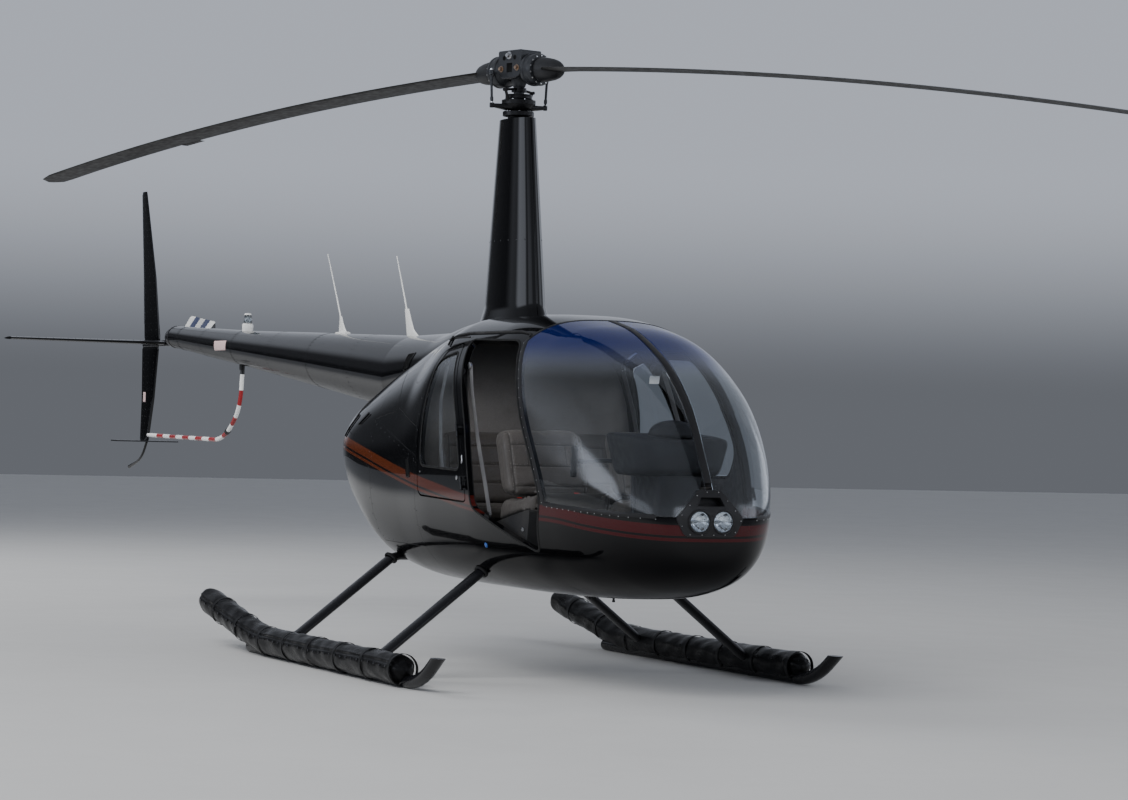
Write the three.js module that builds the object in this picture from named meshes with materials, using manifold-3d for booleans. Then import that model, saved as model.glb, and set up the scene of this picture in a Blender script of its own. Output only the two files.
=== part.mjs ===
// Light four-seat helicopter with a two-blade main rotor, standing on skids with stowed floats.
// Millimetres. X points forward, Y to port and Z up. Every size below is measured from the
// mast axis on the ground; the last lines move the origin to the middle of the base.
import * as THREE from 'three';
import { mergeVertices } from 'three/addons/utils/BufferGeometryUtils.js';
import Module from 'manifold-3d';

const wasm = await Module();
wasm.setup();

// Driving dimensions
const SEAM = 0.3;              // gap between pieces that rest on each other
const SHAFT_GAP = 0.5;         // running gap at a shaft's end face
const WALL = 28;               // doors, frames and cowls
const GLASS = 5;
const DOOR_GAP = 8;            // clear space all round a door
const BODY_SIDES = 36;         // corners of one body section
const BODY_STATIONS = 22;
const TUBE_SIDES = 12;

const ROTOR_RADIUS = 5030;
const ROTOR_AZIMUTH = THREE.MathUtils.degToRad(14.7);
const HUB_TOP = 3280;
const HUB_BOTTOM = 3130;
const BLADE_ROOT = 186;
const BLADE_CHORD = 262;
const BLADE_THICKNESS = 19;
const YOKE = { plate: 70, span: 98, pocket: 48, pocketDepth: 20 };
const TAIL_ROTOR = { x: -5870, y: 300, z: 1845, radius: 737, chord: 125, tilt: 5.5, pitch: 25 };

const CABIN_REAR = 215;        // station of the seam between cabin and engine bay
const ROOF_REAR = 215;
const COWL_SEAM = -530;        // station of the seam before the rear cowl
const FLOOR_Z = 600;
const PLATE = 18;              // floor and firewall
const SKID_Y = 1075;
const SKID_RADIUS = 32;
const TOE_TOP = 172;           // the raised toe is cut level here
const FLOAT_Y = 1092;
const FLOAT_RADIUS = 80;
const STRUT = { chord: 106, depth: 44, footY: 1080, footZ: 60, bendY: 455, bendZ: 556 };
const STRUT_STATIONS = { rear: -487, front: 780 };

const HINGE = { radius: 8, length: 34, reach: 30, depth: 40 };
// Door hinge lines: a point on each, its lean (x for each step of z) and the heights of the hinges
const HINGE_LINES = {
  front: { x: 1577, y: 606, z: 1135, lean: -0.55, heights: [975, 1275] },
  rear: { x: 905, y: 652, z: 960, lean: -0.262, heights: [985, 1250] },
};
const MAST = { tube: 45, bore: 33, shaft: 28, gearboxTop: 1560, fairingTop: 2915 };
const BRACKET = { front: -5900, rear: -6560, port: 6, starboard: -30, bottom: 1763, top: 1803 };
const FIN_Y = -12;
const BEACON_X = -4340;
const LAMP_Y = 61;
const LAMP_Z = 858;
const LAMP_FACE = 2336;

// Body sections from nose to tail.
// Columns: x, bottom, top, half width, height of the widest point, upper power, lower power
const BODY = [
  [2385, 860, 900, 20, 880, 2.0, 2.0],
  [2352, 685, 1000, 215, 865, 2.0, 2.3],
  [2258, 575, 1170, 358, 900, 2.2, 2.4],
  [2085, 505, 1412, 465, 950, 2.5, 2.6],
  [1795, 460, 1632, 555, 1000, 2.75, 2.7],
  [1400, 445, 1785, 615, 1030, 2.9, 2.8],
  [900, 440, 1852, 638, 1050, 3.1, 2.9],
  [400, 440, 1858, 635, 1050, 3.0, 2.9],
  [-100, 445, 1814, 610, 1050, 2.25, 2.9],
  [-600, 490, 1700, 585, 1080, 2.0, 2.8],
  [-1000, 640, 1570, 545, 1120, 1.9, 2.5],
  [-1300, 860, 1430, 455, 1150, 1.9, 2.2],
  [-1460, 1030, 1300, 310, 1170, 2.0, 2.0],
  [-1510, 1120, 1220, 100, 1180, 2.0, 2.0],
];

// Fairing that carries the roof line back to the boom, with the same columns
const SPINE = [
  [200, 1600, 1851, 130, 1720, 2.0, 2.0],
  [-60, 1540, 1857, 235, 1690, 2.0, 2.0],
  [-300, 1490, 1836, 262, 1650, 2.0, 2.0],
  [-700, 1400, 1785, 256, 1590, 2.0, 2.0],
  [-1290, 1310, 1776, 243, 1545, 2.0, 2.0],
];

// Round boom. Columns: x, height of the centre, radius
const BOOM = [
  [-1150, 1538, 232],
  [-2950, 1650, 165],
  [-4280, 1728, 118],
  [-5820, 1823, 76],
];
const BOOM_WALL = 3;

// Mast fairing. Columns: height, x of the middle, chord, thickness
const FAIRING = [
  [1830, 20, 678, 278],
  [1905, 20, 610, 240],
  [2300, 8, 520, 200],
  [2915, -8, 365, 142],
];
const FAIRING_WALL = 8;

// Side outlines. Columns: x, z, corner radius
const FRONT_DOOR = [
  [620, 1712, 50], [1180, 1702, 60], [1335, 1525, 120], [1595, 1135, 120],
  [1688, 930, 60], [1620, 672, 50], [985, 872, 45], [882, 1300, 90],
];
const REAR_DOOR = [
  [300, 1655, 90], [556, 1706, 45], [820, 1300, 90], [928, 888, 45], [262, 905, 60], [238, 1180, 90],
];
const FRONT_WINDOW = [
  [690, 1664, 40], [1155, 1655, 50], [1290, 1500, 90], [1500, 1180, 60], [1415, 1052, 60], [972, 1046, 50],
  [925, 1315, 80],
];
const REAR_WINDOW = [
  [330, 1612, 70], [548, 1656, 40], [770, 1305, 80], [838, 1050, 50], [296, 1062, 60], [292, 1200, 60],
];
const WINDSHIELD = [
  [1225, 1950, 0], [1225, 1705, 0], [1374, 1525, 120], [1634, 1137, 120], [1730, 911, 0],
  [2500, 868, 0], [2500, 1950, 0],
];
const NOSE = [[1730, 911, 0], [1668, 640, 0], [1560, 300, 0], [2600, 300, 0], [2600, 862.4, 0]];
const ROOF = [[ROOF_REAR, 1742, 0], [1224, 1742, 0], [1224, 1950, 0], [ROOF_REAR, 1950, 0]];
const SIDE_PANEL = [[214, 640, 0], [214, 1112, 0], [-530, 1298, 0], [-530, 640, 0]];
// Panel round the landing lights, seen from ahead. Columns: y, z, corner radius
const LIGHT_PANEL = [
  [58, 1006, 12], [178, 872, 12], [132, 786, 30], [-132, 786, 30], [-178, 872, 12], [-58, 1006, 12],
];

// Colours
const PAINT = { color: 0x0b0b0d, roughness: 0.18, metalness: 0.1 };
const DARK_PAINT = { color: 0x131315, roughness: 0.35, metalness: 0.1 };
const CLEAR = { color: 0x8fa3b8, roughness: 0.05, metalness: 0, transparent: true, opacity: 0.35 };
const METAL = { color: 0x3a3c40, roughness: 0.45, metalness: 0.7 };
const BLADE = { color: 0x15140f, roughness: 0.4, metalness: 0.3 };
const LEATHER = { color: 0x4b4845, roughness: 0.55, metalness: 0 };
const TRIM = { color: 0x222225, roughness: 0.7, metalness: 0 };
const WHITE = { color: 0xe8e8e6, roughness: 0.35, metalness: 0 };
const FLOAT_COVER = { color: 0x161618, roughness: 0.8, metalness: 0 };
const LAMP = { color: 0xd8dde0, roughness: 0.1, metalness: 0.2 };

const model = new THREE.Group();
const UP = new THREE.Vector3(0, 0, 1);
const ACROSS = new THREE.Vector3(0, 1, 0);
const AHEAD = new THREE.Vector3(1, 0, 0);

// A closed body through rings that hold the same number of corners
function loft(rings) {
  const sides = rings[0].length;
  const points = rings.flat();
  const faces = [];
  for (let i = 0; i + 1 < rings.length; i++) {
    for (let j = 0; j < sides; j++) {
      const a = i * sides + j;
      const b = i * sides + (j + 1) % sides;
      faces.push(a, b, b + sides, a, b + sides, a + sides);
    }
  }
  for (const end of [0, rings.length - 1]) {
    const middle = rings[end].reduce((sum, p) => sum.add(p), new THREE.Vector3()).divideScalar(sides);
    points.push(middle);
    for (let j = 0; j < sides; j++) {
      const a = end * sides + j;
      const b = end * sides + (j + 1) % sides;
      faces.push(...(end === 0 ? [points.length - 1, b, a] : [points.length - 1, a, b]));
    }
  }
  const geometry = new THREE.BufferGeometry().setFromPoints(points);
  geometry.setIndex(insideOut(points, faces) ? faces.reverse() : faces);
  return toSolid(geometry);
}

// True when the faces point inwards, by the sign of the volume
function insideOut(points, faces) {
  let volume = 0;
  for (let i = 0; i < faces.length; i += 3) {
    const [a, b, c] = [points[faces[i]], points[faces[i + 1]], points[faces[i + 2]]];
    volume += a.dot(b.clone().cross(c));
  }
  return volume < 0;
}

function toSolid(geometry) {
  const bare = new THREE.BufferGeometry();
  bare.setAttribute('position', geometry.getAttribute('position'));
  bare.setIndex(geometry.index);
  const merged = mergeVertices(bare, 1e-3);
  return new wasm.Manifold(new wasm.Mesh({
    numProp: 3,
    vertProperties: new Float32Array(merged.getAttribute('position').array),
    triVerts: new Uint32Array(merged.index.array),
  }));
}

function add(name, solid, finish) {
  const { vertProperties, triVerts } = solid.getMesh();
  const geometry = new THREE.BufferGeometry();
  geometry.setAttribute('position', new THREE.BufferAttribute(vertProperties, 3));
  geometry.setIndex(new THREE.BufferAttribute(triVerts, 1));
  geometry.computeVertexNormals();
  const mesh = new THREE.Mesh(geometry, new THREE.MeshStandardMaterial(finish));
  mesh.name = name;
  model.add(mesh);
}

const joinAll = (solids) => solids.reduce((sum, solid) => sum.add(solid));

// Moves a primitive's geometry, turns its Z axis onto a direction, and makes it a solid
function placed(geometry, x, y, z, axis = UP) {
  geometry.applyQuaternion(new THREE.Quaternion().setFromUnitVectors(UP, axis.clone().normalize()));
  geometry.translate(x, y, z);
  return toSolid(geometry);
}

const block = (low, high) => placed(
  new THREE.BoxGeometry(high[0] - low[0], high[1] - low[1], high[2] - low[2]),
  (low[0] + high[0]) / 2, (low[1] + high[1]) / 2, (low[2] + high[2]) / 2);

// A round bar or cone between two points
function bar(from, to, radius, endRadius = radius, sides = 20) {
  const a = new THREE.Vector3(...from);
  const b = new THREE.Vector3(...to);
  const length = a.distanceTo(b);
  const geometry = new THREE.CylinderGeometry(endRadius, radius, length, sides).rotateX(Math.PI / 2);
  const middle = a.clone().add(b).divideScalar(2);
  return placed(geometry, middle.x, middle.y, middle.z, b.clone().sub(a));
}

// An outline with its corners rounded
function roundedPoints(outline) {
  const shape = new THREE.Shape();
  const count = outline.length;
  outline.forEach(([a, b, radius], i) => {
    const corner = new THREE.Vector2(a, b);
    const cut = ([c, d]) => corner.clone().add(new THREE.Vector2(c - a, d - b).setLength(radius));
    const before = cut(outline[(i + count - 1) % count]);
    const after = cut(outline[(i + 1) % count]);
    if (i === 0) shape.moveTo(before.x, before.y); else shape.lineTo(before.x, before.y);
    if (radius > 0) shape.quadraticCurveTo(a, b, after.x, after.y);
  });
  return shape.getPoints(4);
}

// The outline moved inwards by a distance, or outwards by a negative one
function insetPoints(points, distance) {
  const list = points.filter((p, i) => p.distanceTo(points[(i + 1) % points.length]) > 1e-6);
  const turn = Math.sign(THREE.ShapeUtils.area(list));
  return list.map((p, i) => {
    const before = list[(i + list.length - 1) % list.length];
    const after = list[(i + 1) % list.length];
    const inwards = (a, b) => new THREE.Vector2(a.y - b.y, b.x - a.x).setLength(turn);
    const n = inwards(before, p);
    const m = inwards(p, after);
    const bisector = n.clone().add(m);
    return p.clone().addScaledVector(bisector, distance / (1 + n.dot(m)));
  });
}

const sideBasis = new THREE.Matrix4().makeBasis(AHEAD, UP, ACROSS.clone().negate());
const frontBasis = new THREE.Matrix4().makeBasis(ACROSS, UP, AHEAD);

// A side outline carried across from one y to another
function sidePrism(outline, shrink, low, high) {
  const shape = new THREE.Shape(insetPoints(roundedPoints(outline), shrink));
  const geometry = new THREE.ExtrudeGeometry(shape, { depth: high - low, bevelEnabled: false });
  return toSolid(geometry.applyMatrix4(sideBasis).translate(0, high, 0));
}

// An outline seen from ahead, carried along x
function frontPrism(outline, shrink, low, high) {
  const shape = new THREE.Shape(insetPoints(roundedPoints(outline), shrink));
  const geometry = new THREE.ExtrudeGeometry(shape, { depth: high - low, bevelEnabled: false });
  return toSolid(geometry.applyMatrix4(frontBasis).translate(low, 0, 0));
}

// A section carried along a flat path. The side vector stands square to the path's plane.
function sweep(path, side, section) {
  return loft(path.map((point, i) => {
    const ahead = path[Math.min(i + 1, path.length - 1)].clone().sub(path[Math.max(i - 1, 0)]).normalize();
    const up = ahead.clone().cross(side).normalize();
    return section(i, path.length)
      .map(([a, b]) => point.clone().addScaledVector(side, a).addScaledVector(up, b));
  }));
}

const oval = (a, b, sides = TUBE_SIDES, turn = 0) => Array.from({ length: sides }, (_, j) => {
  const angle = 2 * Math.PI * (j + turn) / sides;
  return [a * Math.cos(angle), b * Math.sin(angle)];
});

// A path with its corners rounded. Columns: x, y, z, radius of the bend
function bentPath(rows, steps = 5) {
  const path = [];
  rows.forEach(([x, y, z, radius], i) => {
    const corner = new THREE.Vector3(x, y, z);
    if (!radius) {
      path.push(corner);
      return;
    }
    const towards = ([a, b, c]) => new THREE.Vector3(a, b, c).sub(corner).setLength(radius).add(corner);
    const bend = new THREE.QuadraticBezierCurve3(towards(rows[i - 1]), corner, towards(rows[i + 1]));
    path.push(...bend.getPoints(steps));
  });
  return path;
}

// Values between the rows of a table, on smooth curves that never overshoot
function fair(rows, count) {
  const last = rows.length - 1;
  const knots = [0];
  for (let i = 1; i <= last; i++) {
    knots[i] = knots[i - 1] + Math.hypot(rows[i][0] - rows[i - 1][0], rows[i][3] - rows[i - 1][3]);
  }
  const rise = (k, i) => (rows[i + 1][k] - rows[i][k]) / (knots[i + 1] - knots[i]);
  const slope = (k, i) => {
    if (i === 0 || i === last) return rise(k, Math.min(i, last - 1));
    const [a, b] = [rise(k, i - 1), rise(k, i)];
    return a * b <= 0 ? 0 : 2 * a * b / (a + b);
  };
  return Array.from({ length: count }, (_, j) => {
    const s = knots[last] * j / (count - 1);
    let i = 0;
    while (i < last - 1 && s > knots[i + 1]) i++;
    const h = knots[i + 1] - knots[i];
    const u = (s - knots[i]) / h;
    return rows[i].map((value, k) => value * (1 + 2 * u) * (1 - u) ** 2
      + rows[i + 1][k] * u * u * (3 - 2 * u)
      + h * (slope(k, i) * u * (1 - u) ** 2 - slope(k, i + 1) * u * u * (1 - u)));
  });
}

// One section: a rounded oval whose powers set how square its upper and lower halves are
function bodyRing([x, bottom, top, half, widest, upper, lower], inset) {
  return Array.from({ length: BODY_SIDES }, (_, j) => {
    const angle = 2 * Math.PI * j / BODY_SIDES;
    const power = Math.sin(angle) >= 0 ? upper : lower;
    const height = Math.max((Math.sin(angle) >= 0 ? top - widest : widest - bottom) - inset, 1);
    const spread = (value) => Math.sign(value) * Math.abs(value) ** (2 / power);
    const width = Math.max(half - inset, 1);
    return new THREE.Vector3(x, width * spread(Math.cos(angle)), widest + height * spread(Math.sin(angle)));
  });
}

// The body's outer surface moved inwards by a distance
function hull(rows, stations, inset) {
  const [front, rear] = [rows[0][0], rows[rows.length - 1][0]];
  const scale = 1 - 2 * inset / (front - rear);
  const middle = (front + rear) / 2;
  return loft(fair(rows, stations)
    .map(([x, ...rest]) => bodyRing([middle + (x - middle) * scale, ...rest], inset)));
}

// Gear below the body: skids, floats and cross tubes
function skid(side, grow = 0) {
  const y = side * SKID_Y;
  const path = bentPath([[-1000 - grow, y, SKID_RADIUS, 0], [1475, y, SKID_RADIUS, 170], [1820, y, 262, 0]]);
  const corner = (SKID_RADIUS + grow) / Math.cos(Math.PI / 16);
  return sweep(path, ACROSS, () => oval(corner, corner, 16, 0.5));
}

function crossTube(x, grow = 0) {
  const { chord, depth, footY, footZ, bendY, bendZ } = STRUT;
  const [endY, endZ] = [footY + 2 * grow, footZ - 2 * grow];
  const path = bentPath([[x, -endY, endZ, 0], [x, -bendY, bendZ, 45], [x, bendY, bendZ, 45],
    [x, endY, endZ, 0]]);
  return sweep(path, AHEAD, () => oval(chord / 2 + grow, depth / 2 + grow, 16));
}

function floatBag(side) {
  const y = side * FLOAT_Y;
  const path = bentPath([[1338, y, 88, 0], [1318, y, 88, 0], [1270, y, 86, 0], [-760, y, 84, 180],
    [-1640, y, 236, 0], [-1720, y, 252, 0], [-1745, y, 258, 0]]);
  const last = path.length - 1;
  const radii = new Map([[0, 40], [1, 66], [last - 1, 58], [last, 34]]);
  return sweep(path, ACROSS, (i) => oval(...Array(2).fill(radii.get(i) ?? FLOAT_RADIUS), 16));
}

function addGear() {
  for (const [name, x] of Object.entries(STRUT_STATIONS)) {
    add(`cross_tube_${name}`, crossTube(x).subtract(skid(1, SEAM)).subtract(skid(-1, SEAM)), PAINT);
  }
  for (const [name, side] of [['left', 1], ['right', -1]]) {
    add(`skid_${name}`, skid(side).intersect(block([-1100, -1200, -10], [1900, 1200, TOE_TOP])), DARK_PAINT);
    let bag = floatBag(side).subtract(skid(side, SEAM));
    for (const x of Object.values(STRUT_STATIONS)) bag = bag.subtract(crossTube(x, SEAM));
    add(`float_${name}`, bag, FLOAT_COVER);
  }
}

// Boom and what it carries
const boomSolid = (grow, from = BOOM[0][0]) => loft(BOOM.map(([x, z, radius], i) => oval(...Array(2)
  .fill(radius + grow), 28).map(([a, b]) => new THREE.Vector3(i === 0 ? from : x, a, z + b))));

// A thin lens-shaped blade between two chord lines, standing up or lying flat.
// Columns: x of the leading edge, y, z, chord, thickness
function fin(rows, flat, grow = 0) {
  return loft(rows.map(([x, y, z, chord, thickness]) => oval(chord / 2 + grow, thickness / 2 + grow, 14)
    .map(([a, b]) => new THREE.Vector3(x - chord / 2 + a, flat ? y : y + b, flat ? z + b : z))));
}

const LOWER_FIN = [[-6410, FIN_Y, 1090, 205, 18], [-6300, FIN_Y, 1387, 300, 22],
  [-6222, FIN_Y, BRACKET.bottom - SEAM, 396, 26]];
const UPPER_FIN = [[-6195, FIN_Y, BRACKET.top + SEAM, 374, 28], [-6325, FIN_Y, 2250, 293, 21],
  [-6602, FIN_Y, 2880, 110, 12]];
const STABILIZER = [[-6010, -1130, 1783, 235, 20], [-5990, BRACKET.starboard - SEAM, 1783, 270, 30]];
// Whip aerials on the boom. Columns: x of the foot, x of the tip, height of the tip
const AERIALS = { front: [-1456, -1709, 2245], rear: [-2566, -2864, 2298] };

function addTail() {
  const wallEnd = (i) => (i === 0 ? 10 : 0) + (i === BOOM.length - 1 ? BOOM_WALL : 0);
  const inner = loft(BOOM.map(([x, z, radius], i) => oval(radius - BOOM_WALL, radius - BOOM_WALL, 28)
    .map(([a, b]) => new THREE.Vector3(x + wallEnd(i), a, z + b))));
  add('tail_boom', boomSolid(0).subtract(inner), PAINT);
  const around = boomSolid(SEAM);
  const { x, z } = TAIL_ROTOR;
  const boomEnd = BOOM.at(-1)[0] - SEAM;
  const boomEndZ = BOOM.at(-1)[1];
  add('tail_gearbox', joinAll([
    bar([boomEnd, 0, boomEndZ], [boomEnd - 140, 0, boomEndZ], 76, 50),
    bar([x, 0, z], [x, TAIL_ROTOR.y - 100, z], 42, 30),
    block([BRACKET.rear, BRACKET.starboard, BRACKET.bottom], [BRACKET.front, BRACKET.port, BRACKET.top]),
  ]), DARK_PAINT);
  add('fin_upper', fin(UPPER_FIN, false), PAINT);
  add('fin_lower', fin(LOWER_FIN, false), PAINT);
  add('stabilizer', fin(STABILIZER, true), PAINT);
  const plateTop = LOWER_FIN[0][2] - SEAM;
  const guard = bentPath([[-4413, 0, 1700, 0], [-4413, FIN_Y, 1340, 130], [-4716, FIN_Y, 1122, 215],
    [-6440, FIN_Y, 1131, 0]]);
  add('tail_guard', sweep(guard, ACROSS, () => oval(14, 14, 10)).subtract(around)
    .subtract(fin(LOWER_FIN, false, SEAM)), WHITE);
  const skidPath = bentPath([[-6450, FIN_Y, plateTop - 8, 0], [-6560, FIN_Y, 960, 110],
    [-6850, FIN_Y, 895, 0]]);
  add('tail_skid', joinAll([block([-6585, FIN_Y - 225, plateTop - 8], [-6420, FIN_Y + 225, plateTop]),
    sweep(skidPath, ACROSS, (i, n) => oval(...Array(2).fill(i === n - 1 ? 14 : 9), 10))]), DARK_PAINT);
  for (const [name, [foot, tip, top]] of Object.entries(AERIALS)) {
    add(`aerial_${name}`, bar([foot + 20, 0, 1760], [tip, 0, top], 17, 3, 12).subtract(around), WHITE);
  }
  add('beacon', joinAll([bar([BEACON_X, 0, 1800], [BEACON_X, 0, 1893], 37),
    bar([BEACON_X, 0, 1892], [BEACON_X, 0, 1962], 27, 22)]).subtract(around), WHITE);
}

// Body panels, cut from one shell along the real seams
const body = hull(BODY, BODY_STATIONS, 0);
const inside = hull(BODY, BODY_STATIONS, WALL);
const shell = body.subtract(inside);
const glassShell = body.subtract(hull(BODY, BODY_STATIONS, GLASS));
const wide = (outline, shrink) => sidePrism(outline, shrink, -900, 900);
const lightPanel = (grow) => frontPrism(LIGHT_PANEL, -grow, 2270, 2500);
const station = (from, to) => block([from, -1000, 0], [to, 1000, 2400]);
const boomSocket = boomSolid(SEAM, BOOM[0][0] + SEAM);
const mastHole = bar([0, 0, 1500], [0, 0, 2100], MAST.tube + SEAM, MAST.tube + SEAM, 24);
const spineOuter = hull(SPINE, 10, 0);

function addPanels() {
  const cabin = shell.intersect(station(CABIN_REAR + SEAM, 2600));
  const frontTube = crossTube(STRUT_STATIONS.front, SEAM);
  const rearTube = crossTube(STRUT_STATIONS.rear, SEAM);
  const cabinCuts = [wide(WINDSHIELD, -SEAM), wide(NOSE, -SEAM), wide(ROOF, -SEAM), wide(FRONT_DOOR, 0),
    wide(REAR_DOOR, 0), frontTube];
  const tub = cabinCuts.reduce((left, cut) => left.subtract(cut), cabin);
  add('cabin_frame', joinAll([tub, ...hingeHalves('frame')]), PAINT);
  add('nose_bowl', cabin.intersect(wide(NOSE, SEAM)).subtract(lightPanel(SEAM)), PAINT);
  add('cabin_roof', cabin.intersect(wide(ROOF, SEAM)), PAINT);

  const bay = shell.intersect(station(-2000, CABIN_REAR - SEAM)).subtract(mastHole).subtract(rearTube)
    .subtract(boomSocket);
  const middle = bay.intersect(station(COWL_SEAM + SEAM, 400));
  const lowSeam = SIDE_PANEL[0][1];
  const below = block([-2000, -1000, 0], [400, 1000, lowSeam - SEAM]);
  add('rear_cowl', bay.intersect(station(-2000, COWL_SEAM - SEAM)).subtract(exhaust(SEAM)), PAINT);
  add('belly_panel', middle.intersect(below), PAINT);
  add('upper_cowl', middle.subtract(wide(SIDE_PANEL, -SEAM))
    .subtract(block([-2000, -1000, 0], [400, 1000, lowSeam + SEAM])), PAINT);
  for (const [name, side] of [['left', 1], ['right', -1]]) {
    const half = side > 0 ? [5, 900] : [-900, -5];
    add(`side_panel_${name}`, middle.intersect(sidePrism(SIDE_PANEL, SEAM, ...half)), PAINT);
  }
  const saddle = spineOuter.subtract(hull(BODY, BODY_STATIONS, -SEAM)).subtract(hull(SPINE, 10, 12))
    .subtract(mastHole).subtract(boomSocket);
  add('boom_fairing', saddle, PAINT);
}

// A point on a door's hinge line at a height
function hingePoint({ x, y, z, lean }, height, side) {
  return new THREE.Vector3(x + lean * (height - z), side * y, height);
}

// Half of each hinge: the lower half stays on the door and the upper half on the frame
function hingeHalf(line, height, side, onDoor) {
  const along = new THREE.Vector3(line.lean, 0, 1).normalize();
  const middle = hingePoint(line, height, side);
  const start = middle.clone().addScaledVector(along, onDoor ? -HINGE.length : SHAFT_GAP);
  const end = start.clone().addScaledVector(along, HINGE.length);
  const centre = start.clone().add(end).divideScalar(2);
  const away = new THREE.Vector3(onDoor ? -HINGE.reach : HINGE.reach, -side * HINGE.depth, 0);
  const root = centre.clone().add(away);
  return joinAll([bar(start.toArray(), end.toArray(), HINGE.radius, HINGE.radius, 12),
    bar(centre.toArray(), root.toArray(), HINGE.radius * 0.8, HINGE.radius * 0.8, 10)]);
}

function hingeHalves(owner, side = 0) {
  if (owner !== 'frame') {
    return HINGE_LINES[owner].heights.map((height) => hingeHalf(HINGE_LINES[owner], height, side, true));
  }
  const fitted = [['front', 1], ['rear', 1], ['rear', -1]];
  return fitted.flatMap(([door, hand]) => HINGE_LINES[door].heights
    .map((height) => hingeHalf(HINGE_LINES[door], height, hand, false)));
}

function addDoor(name, side, outline, window) {
  const hand = side > 0 ? 'left' : 'right';
  const half = side > 0 ? [5, 900] : [-900, -5];
  const panel = shell.intersect(sidePrism(outline, DOOR_GAP, ...half))
    .subtract(sidePrism(window, 0, ...half));
  add(`door_${name}_${hand}`, joinAll([panel, ...hingeHalves(name, side)]), PAINT);
  add(`window_${name}_${hand}`, glassShell.intersect(sidePrism(window, SEAM, ...half)), CLEAR);
}

function addGlass() {
  const panes = glassShell.intersect(wide(WINDSHIELD, SEAM)).subtract(lightPanel(SEAM));
  const stripHalf = 18;
  add('windshield_left', panes.intersect(block([0, stripHalf + SEAM, 0], [2600, 900, 2200])), CLEAR);
  add('windshield_right', panes.intersect(block([0, -900, 0], [2600, -stripHalf - SEAM, 2200])), CLEAR);
  const strip = hull(BODY, BODY_STATIONS, -4).subtract(hull(BODY, BODY_STATIONS, 14));
  add('windshield_strip', strip.intersect(wide(WINDSHIELD, SEAM)).subtract(lightPanel(SEAM))
    .intersect(block([0, -stripHalf, 0], [2600, stripHalf, 2200])), DARK_PAINT);
  const holes = [LAMP_Y, -LAMP_Y].map((y) => bar([LAMP_FACE, y, LAMP_Z], [2500, y, LAMP_Z], 58, 58, 24));
  add('light_panel', body.intersect(lightPanel(0)).subtract(joinAll(holes)), DARK_PAINT);
  for (const [name, side] of [['left', 1], ['right', -1]]) {
    const lens = [[0, 0], [56, 0], [56, 12], [30, 19], [0, 21]].map(([a, b]) => new THREE.Vector2(a, b));
    add(`landing_light_${name}`, placed(new THREE.LatheGeometry(lens, 24).rotateX(Math.PI / 2),
      LAMP_FACE + SEAM, side * LAMP_Y, LAMP_Z, AHEAD), LAMP);
  }
  addDoor('front', 1, FRONT_DOOR, FRONT_WINDOW);
  addDoor('rear', 1, REAR_DOOR, REAR_WINDOW);
  addDoor('rear', -1, REAR_DOOR, REAR_WINDOW);
}

// Cabin inside
const SEAT_SIDES = { left: [70, 530], right: [-530, -70] };
const FRONT_BOX = [[1010, 610, 0], [1440, 610, 0], [1478, 880, 20], [1005, 790, 20]];
const FRONT_SEAT = [[1012, 791.7, 10], [1490, 882.7, 30], [1503, 955, 40], [1240, 920, 30], [1106, 1275, 35],
  [943, 1270, 35], [1080, 945, 40]];
const REAR_BOX = [[236.3, 610, 0], [690, 610, 0], [712, 790, 20], [236.3, 780, 0]];
const REAR_SEAT = [[240, 780.5, 0], [722, 790.6, 30], [736, 868, 40], [395, 862, 30], [340, 1262, 35],
  [240, 1262, 20]];
const CONSOLE_FOOT = [[1740, 618.3, 0], [2010, 618.3, 0], [2050, 1060, 0], [1790, 1060, 0]];
const CONSOLE_HEAD = [[1770, 1058, 0], [2085, 1058, 40], [2060, 1240, 60], [1800, 1262, 30]];

function addCabin() {
  const lining = hull(BODY, BODY_STATIONS, WALL + SEAM);
  const wallRear = CABIN_REAR + 3;
  const wallFront = wallRear + PLATE;
  add('firewall', lining.intersect(station(wallRear, wallFront)), TRIM);
  const floor = block([wallFront + SEAM, -900, FLOOR_Z], [2100, 900, FLOOR_Z + PLATE]);
  const seatBoxes = Object.values(SEAT_SIDES).map((range) => sidePrism(FRONT_BOX, 0, ...range));
  add('cabin_floor', joinAll([floor, sidePrism(REAR_BOX, 0, -545, 545), ...seatBoxes])
    .intersect(lining), TRIM);
  for (const [hand, range] of Object.entries(SEAT_SIDES)) {
    add(`seat_front_${hand}`, sidePrism(FRONT_SEAT, 0, ...range), LEATHER);
    const rear = range.map((y) => (Math.abs(y) < 100 ? Math.sign(y) * 12 : y));
    add(`seat_rear_${hand}`, sidePrism(REAR_SEAT, 0, ...rear), LEATHER);
  }
  add('instrument_console', joinAll([sidePrism(CONSOLE_FOOT, 0, -120, 120),
    sidePrism(CONSOLE_HEAD, 0, -275, 275)]), TRIM);
  add('cyclic_stick', joinAll([bar([1560, 0, 619.5], [1530, 0, 1120], 16),
    bar([1530, -330, 1120], [1530, 330, 1120], 12), bar([1530, -322, 1190], [1530, -322, 1040], 15),
    bar([1530, 322, 1190], [1530, 322, 1040], 15)]), METAL);
}

// Engine bay and mast
const exhaust = (grow) => bar([-640, 200, 430 - grow], [-640, 200, 660], 34 + grow);

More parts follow.
